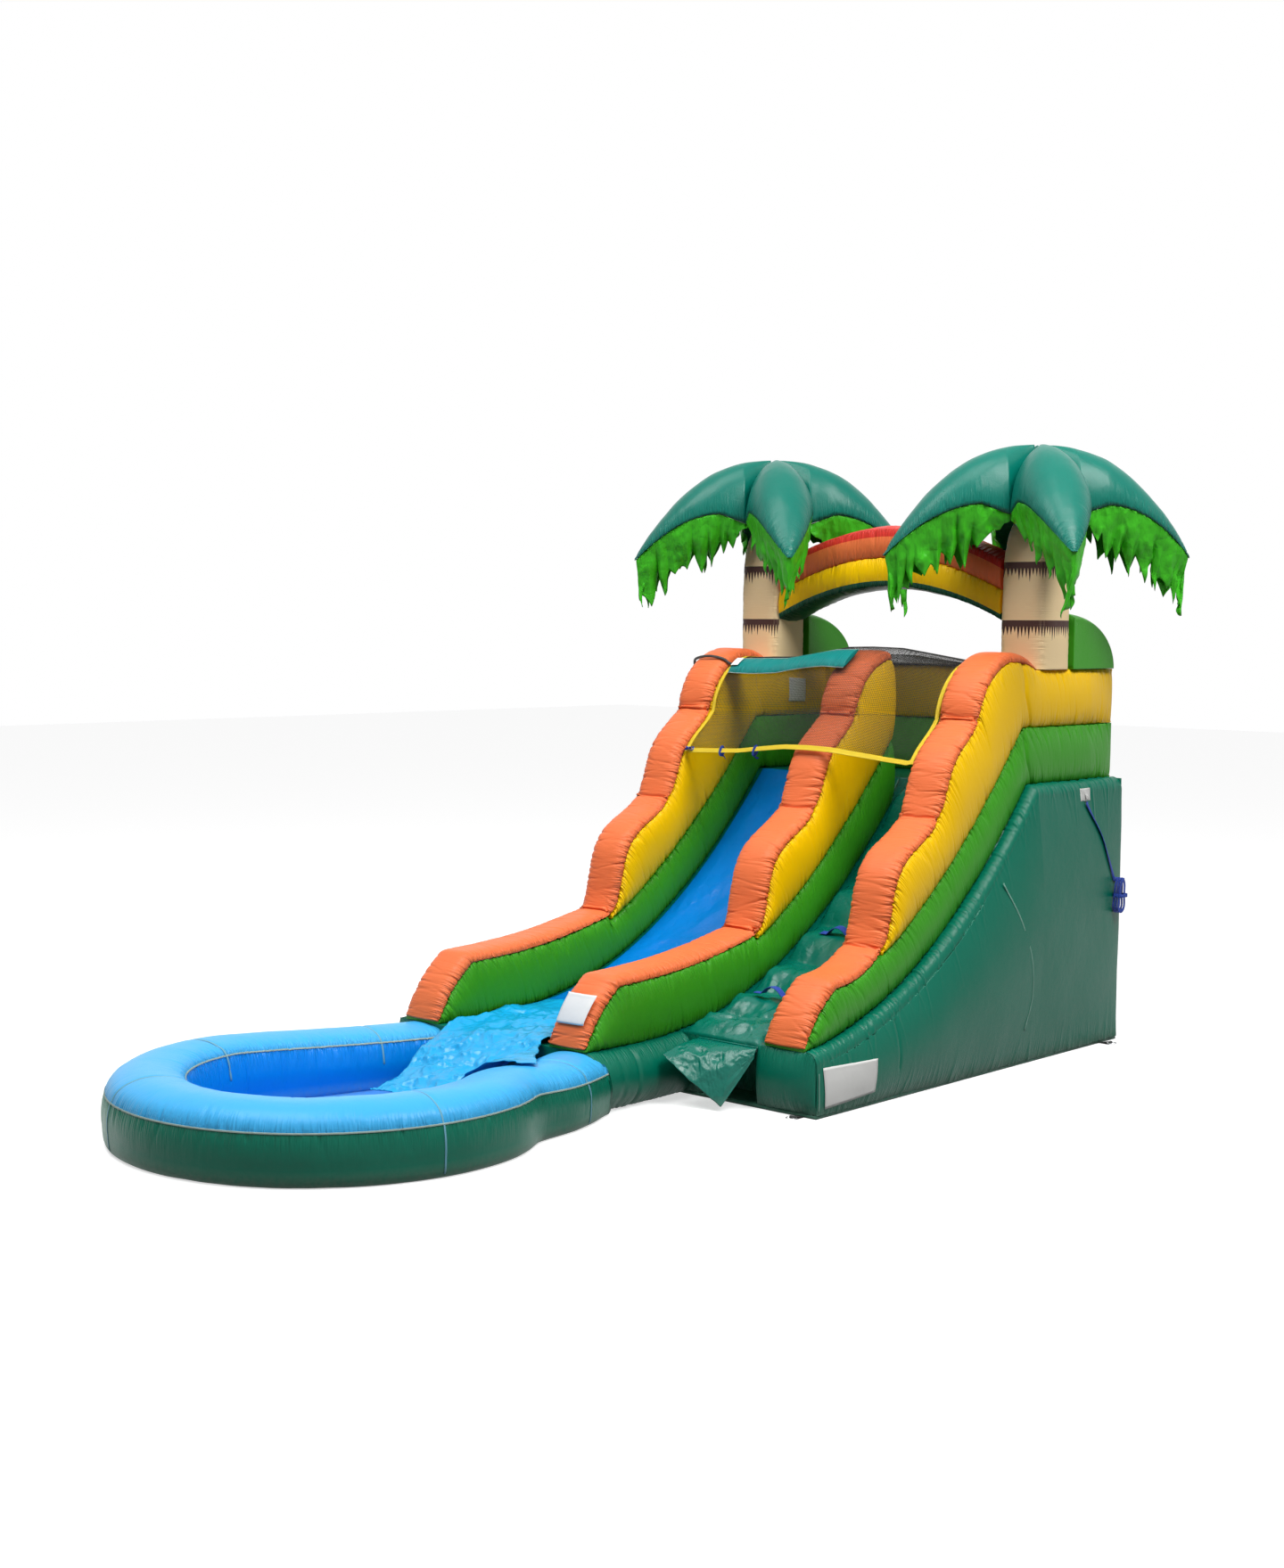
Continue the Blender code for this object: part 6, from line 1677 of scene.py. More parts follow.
@dataclass
class Palm:
    """One palm: a trunk, a buttress behind it, four drooping fronds and a shredded leaf skirt."""

    side: str
    x: float
    seed: int
    trunk_depth: float = 0.36
    canopy_under: float = 3.39
    canopy_top: float = 3.84
    tip_height: float = 3.14
    reach: float = 0.97
    frond_half: float = 0.225
    widest: float = 0.30
    arch: float = 0.09
    belly: float = 0.025
    buttress_rise: float = 0.36
    notch: float = 0.20
    inset: float = 0.012
    drop: float = 0.36
    tip_drop: float = 0.38
    skirt_rows: int = 500
    skirt_columns: int = 20
    squareness: float = 0.46
    taper_level: tuple[float, ...] = (0, 0.25, 0.5, 0.72, 0.84, 0.93, 1)
    taper: tuple[float, ...] = (1, 1, 1, 0.98, 0.90, 0.78, 0.62)

    def build(self) -> None:
        """Build and dress every piece."""
        self.build_trunk()
        self.build_buttress()
        for index in range(4):
            self.build_frond(index)
        self.build_fringe()

    def build_trunk(self) -> None:
        """The trunk: a rounded square |x/a|^4 + |y/b|^4 = 1 that draws in under the canopy."""
        level = np.linspace(0, 1, 130)
        size = averaged(np.interp(level, self.taper_level, self.taper), 6)
        base = PLAN.wall_top + 0.0005
        z = base + (self.canopy_under - 0.002 - base) * level
        turn = full_turn(96)
        c, s = np.cos(turn), np.sin(turn)
        px = PLAN.half_wall * signed_power(c, self.squareness)
        py = self.trunk_depth / 2 * signed_power(s, self.squareness)
        grid = stacked(self.x + size[:, None] * px, size[:, None] * py, z[:, None])
        skin = Skin(grid, (12, 36, 60, 84)).buckled(self.seed, depth=0.003, cell=0.25)
        skin = skin.gathered(self.seed, depth=0.0022, reach=0.03, pitch=0.04)
        inflated(f"{self.side}_trunk_skin", skin, (0.002, 0.0), [BEIGE], f"{self.side}_trunk")

    def build_buttress(self) -> None:
        """A quarter-round fin: each section a quarter circle, its rim drawn in at both sides."""
        front = self.trunk_depth / 2 + 0.0005
        reach = PLAN.palm_setback - front
        across = np.sin(np.linspace(-np.pi / 2, np.pi / 2, 26))
        inset = 0.042 * (1 - np.sqrt(np.clip(1 - across**2, 0, 1)))
        turn = np.linspace(0, np.pi / 2, 46)
        base = PLAN.wall_top + 0.0008
        x = self.x + PLAN.half_wall * across[:, None] + 0 * turn
        y = front + (reach - inset)[:, None] * np.cos(turn)
        z = base + (self.buttress_rise - inset)[:, None] * np.sin(turn)
        back = np.linspace(1, 0, 12)[1:-1]
        low = np.linspace(0, 1, 14)[:-1]
        x = np.concatenate([x, x[:, :1] + 0 * back, x[:, :1] + 0 * low], axis=1)
        y = np.concatenate([y, front + 0 * x[:, :10], front + (reach - inset)[:, None] * low], axis=1)
        upright_back = base + (self.buttress_rise - inset)[:, None] * back
        z = np.concatenate([z, upright_back, base + 0 * x[:, :13]], axis=1)
        skin = Skin(stacked(x, y, z), (45,))
        inflated(f"{self.side}_buttress_skin", skin, (0.0, 0.0), [GREEN], f"{self.side}_buttress")

    def half_width(self, s: np.ndarray) -> np.ndarray:
        """Half width of a frond along its length: a leaf, kept inside its quarter near the middle."""
        past = np.maximum(s - self.widest, 0) / (self.reach + self.inset - self.widest)
        leaf = self.frond_half * np.maximum(1 - past**2, 0) ** 0.8
        return np.minimum(s - 0.0004, leaf)

    def under(self, s: np.ndarray) -> np.ndarray:
        """Height of a frond's edges: level over the trunk, arched, then falling by the cube."""
        share = s / self.reach
        over = np.clip((s - self.notch) / self.notch, 0, 1)
        fall = (self.canopy_under - self.tip_height) * share**3
        return self.canopy_under + over * (self.arch * np.sin(np.pi * share) - fall)

    def ridge(self, s: np.ndarray) -> np.ndarray:
        """Height of a frond's ridge along its length."""
        return self.canopy_top - (self.canopy_top - self.tip_height - 0.02) * (s / self.reach) ** 2.4

    def turned(self, grid: np.ndarray, index: int) -> np.ndarray:
        """Points along, across and up in a frond's own axes, turned to its quarter."""
        angle = math.radians(45 + 90 * index)
        c, s = math.cos(angle), math.sin(angle)
        along, across = grid[..., 0], grid[..., 1]
        return stacked(self.x + along * c - across * s, along * s + across * c, grid[..., 2])

    def build_frond(self, index: int) -> None:
        """An inflated leaf: crown·(1 - |a|^2.2)^0.55 over its edges, with a shallow belly below."""
        s = self.reach * (0.03 + 0.97 * np.linspace(0, 1, 130) ** 0.96)
        half, under = self.half_width(s), self.under(s)
        crown = self.ridge(s) - under
        a = np.sin(np.linspace(np.pi / 2, -np.pi / 2, 34))
        lift = np.clip(1 - np.abs(a) ** 2.2, 0, 1) ** 0.55
        below = np.linspace(-1, 1, 12)[1:-1]
        sag = self.belly * np.clip((s - self.widest) / self.widest, 0, 1) * (1 - s / self.reach)
        across = np.concatenate([a, below])
        z = under[:, None] + np.concatenate(
            [crown[:, None] * lift, -sag[:, None] * (1 - below**2)], axis=1
        )
        grid = stacked(s[:, None], half[:, None] * across, z)
        skin = Skin(self.turned(grid, index), (0, 33))
        skin = skin.buckled(self.seed + index, depth=0.004, cell=0.2)
        skin = skin.gathered(self.seed + 7 + index, depth=0.006, reach=0.05, pitch=0.03)
        node = f"{self.side}_frond_{index + 1}"
        inflated(f"{node}_skin", skin, (0.0, 0.004), [FROND], node)

    def skirt(self, index: int) -> Skin:
        """The skirt of one frond: round its rim, hanging in long uneven points.

        The lower edge is the drop times a triangle wave of uneven widths and depths; the cloth
        swings in and out by smooth random folds that grow downward.
        """
        rng = np.random.default_rng(self.seed * 11 + index)
        s = np.linspace(self.notch + 0.004, self.reach - 0.012, 150)
        half = np.maximum(self.half_width(s) - self.inset, 0.004)
        rim = np.concatenate([stacked(s, -half), stacked(s, half)[::-1]])
        top = np.concatenate([self.under(s), self.under(s)[::-1]]) - 0.003
        away = np.concatenate([s, s[::-1]])
        length = measured(rim)
        places = np.linspace(0, length[-1], self.skirt_rows)
        rim = np.stack([np.interp(places, length, part) for part in rim.T], axis=1)
        top, away = np.interp(places, length, top), np.interp(places, length, away)
        edges = [0.0]
        while edges[-1] < length[-1]:
            edges.append(edges[-1] + rng.uniform(0.05, 0.135))
        edges = np.array(edges)
        tooth = np.searchsorted(edges, places, side="right") - 1
        within = (places - edges[tooth]) / (edges[tooth + 1] - edges[tooth])
        lean = rng.uniform(0.25, 0.75, len(edges))[tooth]
        point = np.where(within < lean, within / lean, (1 - within) / (1 - lean))
        gap = rng.uniform(0.50, 0.74, len(edges) + 1)
        root = gap[tooth] * (1 - within) + gap[tooth + 1] * within
        tip = rng.uniform(0.78, 1.14, len(edges))[tooth]
        edge = root + (tip - root) * point**1.1
        grown = np.clip((away - self.notch) / 0.26, 0.0, 1.0) ** 0.8
        full = self.drop + (self.tip_drop - self.drop) * (away / self.reach) ** 2
        fall = np.maximum(full * grown * edge, 0.012)
        down = np.linspace(0, 1, self.skirt_columns)
        hang = fall[:, None] * down
        outward = np.gradient(rim, axis=0)
        outward = unit(stacked(outward[:, 1], -outward[:, 0]))
        field_points = stacked(places[:, None], hang * 0.6, index)
        swing = 0.045 * cloud(field_points, cell=0.10, seed=self.seed + index) * down**1.1
        swing += 0.016 * cloud(field_points, cell=0.035, seed=self.seed + 40 + index) * down
        swing += 0.006 * crumple(field_points[..., 0], field_points[..., 1], cell=0.05, seed=3)
        swing = swing - 0.07 * down**1.3 * grown[:, None]
        sideways = 0.02 * cloud(field_points, cell=0.08, seed=self.seed + 80 + index) * down
        tangent = stacked(-outward[:, 1], outward[:, 0])
        flat = rim[:, None] + outward[:, None] * swing[..., None] + tangent[:, None] * sideways[..., None]
        grid = np.concatenate([flat, (top[:, None] - hang)[..., None]], axis=-1)
        return Skin(self.turned(grid, index), (0,), False)

    def build_fringe(self) -> None:
        """The four skirts as one piece."""
        skins = [self.skirt(index) for index in range(4)]
        parts = [MeshMaker.sheet(f"{self.side}_skirt_{k}", skin, 0.0016) for k, skin in enumerate(skins)]
        item = joined(parts, f"{self.side}_leaf_skirt")
        dress(item, [LEAF], (f"{self.side}_fringe",))
        area = sum(skin_area(skin.points) for skin in skins)
        length = sum(float(skin.along()[-1]) for skin in skins)
        tall = max(float(skin.across()[:, -1].max()) for skin in skins)


def joined(items: list[bpy.types.Object], name: str) -> bpy.types.Object:
    """Several meshes joined in one object."""
    with bpy.context.temp_override(active_object=items[0], selected_editable_objects=items):
        bpy.ops.object.join()
    items[0].name = name
    items[0].data.name = name
    return items[0]


@dataclass
class Arch:
    """Two stacked tubes that arch between the trunks."""

    ends: float = 2.745
    rise: float = 0.215
    tube: float = 0.19
    depth: float = 0.132
    bulge: float = 0.020

    def edge(self, x: np.ndarray) -> np.ndarray:
        """Height of the lower edge: a parabola."""
        return self.ends + self.rise * (1 - (x / PLAN.inner_x) ** 2)

    def build(self) -> None:
        """Build and dress both tubes, each with its own colours by column."""
        x = np.linspace(-PLAN.inner_x - 0.004, PLAN.inner_x + 0.004, 250)
        y = np.zeros(len(x))
        for name, step, finishes, seed in (
            ("arch_lower", 0, [YELLOW, ARCH_SHADE], 131),
            ("arch_upper", 1, [ORANGE, RED], 133),
        ):
            low = stacked(x, y, self.edge(x) + step * (self.tube + 0.0005))
            high = low + np.array([0, 0, self.tube - 0.001])
            grid = tube_grid(low, high, (0, 1, 0), self.depth, self.bulge)
            slots = np.zeros(grid.shape[1], int)
            last = TUBE_SEAMS[3]
            if step:
                slots[TUBE_SEAMS[1] - 6 : TUBE_SEAMS[2] + 6] = 1
                level = np.zeros(grid.shape[1])
                level[TUBE_SEAMS[1] + 1 : TUBE_SEAMS[2]] = 0.022
                grid[..., 2] += level
            else:
                slots[last - 5 :] = 1
                slots[:5] = 1
                grid[..., last + 1 :, 2] -= 0.016
            skin = Skin(grid, TUBE_SEAMS).buckled(seed, depth=0.003, cell=0.2)
            skin = skin.gathered(seed, depth=0.0075, reach=0.045, pitch=0.032)
            inflated(f"{name}_tube", skin, (0.0, 0.0), finishes, name, slots)


@dataclass
class RoofNet:
    """The net over the platform, its webbing, ties and hem."""

    front_run: float = 1.81
    lift: float = 0.105
    sheet: float = 0.004
    pitch: float = 0.011
    thread_width: float = 0.0013
    thread_height: float = 0.0009
    down_points: int = 56
    across_points: int = 30
    strap_width: float = 0.027
    strap_run: float = 0.017
    strap_sheet: float = 0.003
    tent_x: tuple[float, ...] = (-0.8895, -0.45, -0.03, 0.144, 0.32, 0.8895)
    tent_share: tuple[float, ...] = (0.0, 0.10, 0.76, 0.80, 0.76, 0.0)
    line: np.ndarray = field(default_factory=lambda: PLAN.cap(PLAN.long_wall)[0])

    def place(self, run: np.ndarray, x: np.ndarray, lift: np.ndarray | float) -> np.ndarray:
        """Points over the cap line: lifted square to it where the net rides over the centre wall.

        Across the roof the lift falls from the centre wall to both side walls, and from nothing
        at the back wall it grows to its full height.
        """
        run, x, lift = np.broadcast_arrays(run, x, lift)
        across = np.interp(x, self.tent_x, self.tent_share)
        rear = 2 * PLAN.half_wall
        rise = np.clip((run - rear) / (PLAN.cap_start - rear), 0, 1)
        offset = lift - self.sheet / 2 + (1 - rise) * 0.0043 + self.lift * rise * across
        slope = np.gradient(self.line, axis=0)
        normal = unit(stacked(-slope[:, 1], slope[:, 0]))
        level = run <= PLAN.cap_start
        height = np.where(level, PLAN.wall_top, np.interp(run, *self.line.T))
        forward = np.where(level, 0.0, np.interp(run, self.line[:, 0], normal[:, 0]))
        upward = np.where(level, 1.0, np.interp(run, self.line[:, 0], normal[:, 1]))
        return stacked(x, PLAN.y_at(run + forward * offset), height + upward * offset)

    def threads(self, starts: np.ndarray, stops: np.ndarray, count: int, name: str) -> bpy.types.Object:
        """One family of flat threads between matching run and x ends, as one mesh.

        Each thread is a strip of quads round a rectangle of thread_width × thread_height.
        """
        share = np.linspace(0, 1, count)[None, :, None]
        paths = starts[:, None] + (stops - starts)[:, None] * share
        spots = self.place(paths[..., 0], paths[..., 1], 0.0)
        along = unit(np.gradient(spots, axis=1))
        run_step = self.place(paths[..., 0] + 0.003, paths[..., 1], 0.0) - spots
        x_step = self.place(paths[..., 0], paths[..., 1] + 0.003, 0.0) - spots
        up = unit(np.cross(x_step, run_step))
        side = np.cross(along, up)
        corners = []
        for a, b in ((-1, -1), (1, -1), (1, 1), (-1, 1)):
            corners.append(spots + side * a * self.thread_width / 2 + up * b * self.thread_height / 2)
        verts = np.stack(corners, axis=2)
        many = len(starts)
        k = np.arange(many)[:, None, None] * count * 4
        i = np.arange(count - 1)[None, :, None] * 4
        j = np.arange(4)[None, None, :]
        near = k + i + j
        far = k + i + (j + 1) % 4
        quads = stacked(near, far, far + 4, near + 4).reshape(-1, 4)
        caps = np.arange(many)[:, None] * count * 4 + np.array([[3, 2, 1, 0]])
        ends = np.arange(many)[:, None] * count * 4 + (count - 1) * 4 + np.array([[0, 1, 2, 3]])
        faces = [quads, caps, ends]
        flat = [np.zeros((*block.shape, 2)) for block in faces]
        seam = np.ones(verts.size // 3)
        kinds = [np.zeros(len(block), int) for block in faces]
        return MeshMaker.fill(name, verts.reshape(-1, 3), faces, flat, seam, kinds)

    def build(self) -> None:
        """Build and dress the netting, the webbing, the hem, the ties and the knot."""
        rear = PLAN.half_wall
        width = PLAN.inner_x - 0.002
        x = np.arange(-width, width, self.pitch)
        down = self.threads(
            stacked(np.full(len(x), rear), x),
            stacked(np.full(len(x), self.front_run - 0.02), x),
            self.down_points,
            "net_threads_down",
        )
        runs = np.arange(rear, self.front_run - 0.01, self.pitch * 0.62)
        length = measured(self.place(runs, 0.0, 0.0))
        runs = np.interp(np.arange(0, length[-1], self.pitch), length, runs)
        across = self.threads(
            stacked(runs, np.full(len(runs), -width)),
            stacked(runs, np.full(len(runs), width)),
            self.across_points,
            "net_threads_across",
        )
        net = joined([down, across], "roof_netting")
        dress(net, [NET], ("roof_net",))
        self.build_webbing()
        flat = (2 * width, float(length[-1]))
        cover = 2 * (self.thread_width + self.thread_height) / self.pitch
        area = cover * flat[0] * flat[1]
        self.build_hem()
        self.build_ties()

    def build_webbing(self) -> None:
        """Flat webbing down both walls and across the front, with mitred corners."""
        outer = PLAN.inner_x + 0.021
        side_runs = np.linspace(PLAN.cap_start - 0.03, self.front_run, 150)
        turn = np.linspace(0, 1, 90)[1:-1]
        centre_x = outer - self.strap_width / 2
        front_runs = np.full(89, self.front_run)
        runs = np.concatenate([side_runs[:-1], front_runs, side_runs[::-1]])
        xs = np.concatenate([np.full(150, -outer), -outer + 2 * outer * turn, np.full(150, outer)])
        inner_runs = np.minimum(runs, self.front_run - self.strap_run)
        inner_xs = np.clip(xs, -outer + self.strap_width, outer - self.strap_width)
        wave = 0.006 * np.sin(np.linspace(0, 7 * np.pi, len(xs))) * (np.abs(xs) < centre_x - 0.02)
        share = np.linspace(0, 1, 7)[None, :]
        run = runs[:, None] * (1 - share) + inner_runs[:, None] * share
        x = xs[:, None] * (1 - share) + inner_xs[:, None] * share
        twist = 0.006 * (share - 0.5) * np.cos(np.linspace(0, 11 * np.pi, len(xs)))[:, None]
        lift = self.sheet / 2 + 0.0035 + np.abs(twist) * (np.abs(x) < 0.84)
        grid = self.place(run + wave[:, None], x, lift)
        skin = Skin.flat(grid)
        cloth(
            "webbing_round_net",
            skin,
            self.strap_sheet,
            [YELLOW_STRAP],
            ("net_webbing",),
        )

    def build_hem(self) -> None:
        """The black hem that is folded over the rear edge of the net."""
        run = np.linspace(PLAN.half_wall - 0.02, PLAN.half_wall + 0.16, 18)[:, None]
        x = np.linspace(-PLAN.inner_x + 0.004, PLAN.inner_x - 0.004, 160)[None, :]
        ripple = 0.004 * cloud(stacked(x, run, 0.0), cell=0.1, seed=9)
        grid = self.place(run, x, 0.006 + np.abs(ripple))
        skin = Skin.flat(grid)
        cloth("net_hem", skin, 0.0016, [HEM])

    def build_ties(self) -> None:
        """Short blue webbing ties round the front strap, and the knot at its left end."""
        middle = self.front_run - self.strap_run / 2
        for name, x, lean in (("tie_left", -0.60, 0.2), ("tie_right", -0.30, -0.15)):
            turn = full_turn(40)
            high, wide = 0.011, self.strap_run / 2 + 0.006
            run = middle + wide * np.cos(turn)
            lift = self.sheet + high * np.sin(turn) * np.where(np.sin(turn) > 0, 1.0, 2.2)
            path = self.place(run, x + 0.01 * lean * np.cos(turn), lift)
            grid = sweep(path, strap_section(0.024, 0.002), (1, 0.02, 0.1), closed_path=True)
            trim(f"net_{name}", grid, BLUE_STRAP, None)
            tail = self.place(np.full(14, middle + wide), np.full(14, x), np.linspace(0.004, -0.055, 14))
            tail[:, 0] += 0.012 * np.sin(np.linspace(0, 3, 14)) * lean * 4
            bits = sweep(tail, strap_section(0.020, 0.0018), (0, 0.3, 0.0) if lean > 0 else (0, 0.3, 0.02))
            trim(f"net_{name}_end", bits, BLUE_STRAP)
        t = full_turn(90)
        centre = self.place(np.array([middle]), np.array([-PLAN.inner_x + 0.015]), np.array([0.016]))[0]
        wide, tall = np.sin(t) + 2 * np.sin(2 * t), np.cos(t) - 2 * np.cos(2 * t)
        knot = centre + 0.0099 * stacked(wide, tall, -np.sin(3 * t))
        grid = sweep(knot, strap_section(0.014, 0.004), (0.1, 0.2, 1), closed_path=True)
        trim("net_corner_knot", grid, BLUE_STRAP, None)


@dataclass
class SprayLine:
    """The flat fabric sleeve over the slide's head, its hose and the hose's fitting."""

    net: RoofNet
    run: float = 1.36
    width: float = 0.125
    thickness: float = 0.030
    start: float = -0.8655
    end: float = 0.144
    radius: float = 0.009

    def build(self) -> None:
        """Build and dress the sleeve, its welts, its tag and the hose."""
        x = np.linspace(self.start, self.end, 150)[:, None]
        turn = full_turn(40)
        a, b = np.cos(turn), np.sin(turn)
        width = self.width / 2 * signed_power(a, 0.7)
        height = 0.0029 + self.thickness * (0.5 + 0.5 * b * (1 - 0.35 * a**2))
        ripple = 0.0035 * cloud(stacked(x, width, 0.0), cell=0.06, seed=17)
        sag = 0.006 * np.sin(7.3 * x) * (a > 0)
        grid = self.net.place(self.run + width + sag, x, height + ripple * (b > 0))
        skin = Skin(grid, (0, 20)).gathered(151, depth=0.003, reach=0.03, pitch=0.03)
        item = MeshMaker.tube("spray_sleeve", skin, (0.001, 0.003))
        dress(item, [TEAL], ("sleeve_band",))
        for k, place in enumerate((1.0, -1.0)):
            line = self.net.place(
                self.run + place * (self.width / 2 + 0.002) + 0.006 * np.sin(7.3 * x[:, 0]) * (place > 0),
                x[:, 0],
                0.0029 + self.thickness / 2,
            )
            welt = sweep(line, round_section(0.003, 8), (0, 0.2, 1))
            trim(f"sleeve_welt_{k + 1}", welt, PIPING, (0.001, 0.001))
        self.build_tag()
        self.build_hose()

    def build_tag(self) -> None:
        """A small blank tag sewn on the sleeve's left end."""
        x = np.linspace(-0.862, -0.80, 12)[:, None]
        run = self.run + np.linspace(-0.035, 0.03, 12)[None, :]
        grid = self.net.place(run, x, 0.0405)
        cloth("sleeve_tag", Skin.flat(grid), 0.0012, [PALE])

    def build_hose(self) -> None:
        """The black hose over the cap and down to its union nut."""
        route = [
            (-0.8658, -0.6518, 2.4405),
            (-0.8838, -0.6518, 2.4405),
            (-0.9080, -0.6541, 2.4440),
            (-0.9507, -0.6746, 2.4748),
            (-1.0620, -0.6847, 2.4900),
            (-1.1733, -0.6746, 2.4748),
            (-1.2160, -0.6541, 2.4440),
            (-1.2481, -0.5930, 2.3519),
            (-1.2544, -0.5930, 2.2953),
            (-1.2544, -0.5930, 2.2773),
            (-1.2544, -0.5930, 2.2473),
        ]
        path = np.vstack([route[0], spline(route[1:-1], 8), route[-1]])
        grid = sweep(path, round_section(self.radius, 16), (0, -1, 0.05))
        item = MeshMaker.tube("spray_hose_line", Skin(grid), (0.0, 0.0))
        dress(item, [RUBBER], ("spray_hose",))


@dataclass
class Pool:
    """The inflated ring in three colours, its seam tapes and its floor."""

    run: float = 5.21
    x: float = -0.41
    radius: float = 0.95
    half_width: float = 0.23
    height: float = 0.385
    neck: float = 0.335
    neck_share: float = 0.22
    exit_bulge: float = 0.11
    foot_seam: int = 7
    outer_seam: int = 30
    inner_seam: int = 57
    corner_points: tuple = (
        (-0.85, 0.0),
        (0.0, 0.0),
        (0.85, 0.0),
        (1.0, 0.3),
        (0.97, 0.62),
        (0.76, 0.87),
        (0.25, 1.0),
        (-0.35, 0.99),
        (-0.82, 0.87),
        (-1.0, 0.52),
        (-0.97, 0.22),
    )

    def route(self) -> np.ndarray:
        """The ring's centreline from its right neck round to its left one."""
        centre = (self.x, PLAN.y_at(self.run))
        neck_y = PLAN.y_at(PLAN.long_wall + 0.0003)
        right_x = PLAN.centre_x + self.exit_bulge / 2
        first = math.radians(35)
        joint = (centre[0] + self.radius * math.cos(first), centre[1] + self.radius * math.sin(first))
        points = [(right_x, neck_y, 0)]
        points.append(((right_x + joint[0]) / 2 + self.exit_bulge / 3, (neck_y + joint[1]) / 2, 0))
        for turn in np.radians(np.linspace(35, -195, 12)):
            away = (self.radius * math.cos(turn), self.radius * math.sin(turn))
            points.append((centre[0] + away[0], centre[1] + away[1], 0))
        points.append(((PLAN.left_x + points[-1][0]) / 2, (neck_y + points[-1][1]) / 2, 0))
        points.append((PLAN.left_x, neck_y, 0))
        return spline(points, 44)

    def section(self) -> np.ndarray:
        """The ring's section as a closed smooth curve, in shares of half width and height."""
        given = np.array(self.corner_points)
        t = (np.arange(7) / 7)[:, None]
        parts = []
        for k in range(len(given)):
            a, b, c, d = (given[(k + j) % len(given)] for j in (-1, 0, 1, 2))
            parts.append(rounded_span(a, b, c, d, t))
        shape = np.vstack(parts)
        shape[:, 1] = np.maximum(shape[:, 1], 0.0012)
        return shape

    def build(self) -> None:
        """Build and dress the ring, its tapes and the floor."""
        path = self.route()
        position = np.linspace(0, 1, len(path))
        full = np.clip(np.minimum(position, 1 - position) / self.neck_share, 0, 1)
        full = softened(full)
        height = self.neck + (self.height - self.neck) * full
        along = np.gradient(path, axis=0)
        along[0] = (0, -1, 0)
        along[-1] = (0, 1, 0)
        along = unit(along)
        side = stacked(-along[:, 1], along[:, 0], 0.0)
        shape = self.section()
        grid = path[:, None] + side[:, None] * (shape[:, :1] * self.half_width)
        grid[..., 2] = height[:, None] * shape[:, 1]
        outer, inner = self.outer_seam, self.inner_seam
        skin = Skin(grid, (outer, inner)).buckled(161, depth=0.004, cell=0.3)
        run = skin.along()
        rng = np.random.default_rng(163)
        columns = np.arange(len(shape))
        wall = bell(columns - 63, 7.0)[None, :]
        amount = np.zeros(grid.shape[:2])
        for place in np.arange(0.5, run[-1] - 0.4, 0.27):
            apart = (run[:, None] - place - rng.uniform(-0.05, 0.05)) / 0.008
            amount -= rng.uniform(0.004, 0.009) * np.exp(-(apart**2)) * wall
        crown = ((columns > outer) & (columns < inner + 8))[None, :]
        for place in self.cross_seams(run):
            apart = (run[:, None] - place) / 0.012
            amount -= 0.006 * np.exp(-(apart**2)) * crown
        skin = skin.pushed(amount).gathered(164, depth=0.009, reach=0.055, pitch=0.03)
        skin.points[..., 2] = np.maximum(skin.points[..., 2], 0.001)
        slots = np.full(len(shape), 1)
        slots[outer:inner] = 0
        slots[self.foot_seam : outer] = 2
        inflated("pool_ring_tube", skin, (0.0, 0.0), [POOL_BLUE, DEEP_BLUE, DARK_GREEN], "pool_ring", slots)
        self.build_tapes(skin, run, (outer, inner))
        self.build_floor(path, side, height)

    @staticmethod
    def cross_seams(run: np.ndarray) -> tuple[float, ...]:
        """Distances along the ring at which its lengths of fabric are joined."""
        return tuple(share * run[-1] for share in (0.06, 0.27, 0.56, 0.74, 0.93))

    def build_tapes(self, skin: Skin, run: np.ndarray, columns: tuple[int, int]) -> None:
        """Narrow tapes over the seams: two along the ring, and one across it at each join."""
        normal = skin.normals()
        for k, column in enumerate(columns):
            line = skin.points[:, column] + normal[:, column] * 0.0015
            tape(f"pool_seam_tape_{k + 1}", line, normal[:, column], (0.005, 0.0012), 4, PIPING)
        for k, place in enumerate(self.cross_seams(run)):
            row = int(np.searchsorted(run, place))
            kept = slice(16, columns[1] + 8)
            line = skin.points[row, kept] + normal[row, kept] * 0.0015
            tape(f"pool_join_tape_{k + 1}", line, normal[row, kept], (0.0055, 0.0010), 3, JOIN_TAPE)

    def build_floor(self, path: np.ndarray, side: np.ndarray, height: np.ndarray) -> None:
        """The floor: rings that shrink to the middle, with slow ripples."""
        rise = 0.02 / (0.22 * height)
        edge = path[:, :2] - side[:, :2] * ((0.85 + 0.12 * rise) * self.half_width + 0.001)[:, None]
        closing = np.linspace(edge[-1], edge[0], 40)[1:-1]
        rim = np.vstack([edge, closing])
        rim = rim[:: 4]
        middle = np.array([self.x, PLAN.y_at(self.run) + 0.25])
        share = np.linspace(0.02, 1, 60)
        flat = middle + (rim[None] - middle) * share[:, None, None]
        ripple = 0.003 * cloud(np.concatenate([flat, 0 * flat[..., :1]], axis=-1), cell=0.14, seed=21)
        z = 0.0165 + ripple * (1 - share[:, None] ** 6)
        upper = np.concatenate([flat, z[..., None]], axis=-1)
        lower = upper.copy()
        lower[..., 2] = 0.0008
        upper = np.concatenate([upper, upper[:, :1]], axis=1)
        lower = np.concatenate([lower, lower[:, :1]], axis=1)
        item = MeshMaker.shell("pool_floor_sheet", Skin.flat(upper), lower)
        dress(item, [DEEP_BLUE], ("pool_floor",))
        flat = tuple(float(v) for v in np.ptp(rim, axis=0))
        declare_sheet(Skin.flat(upper), flat)


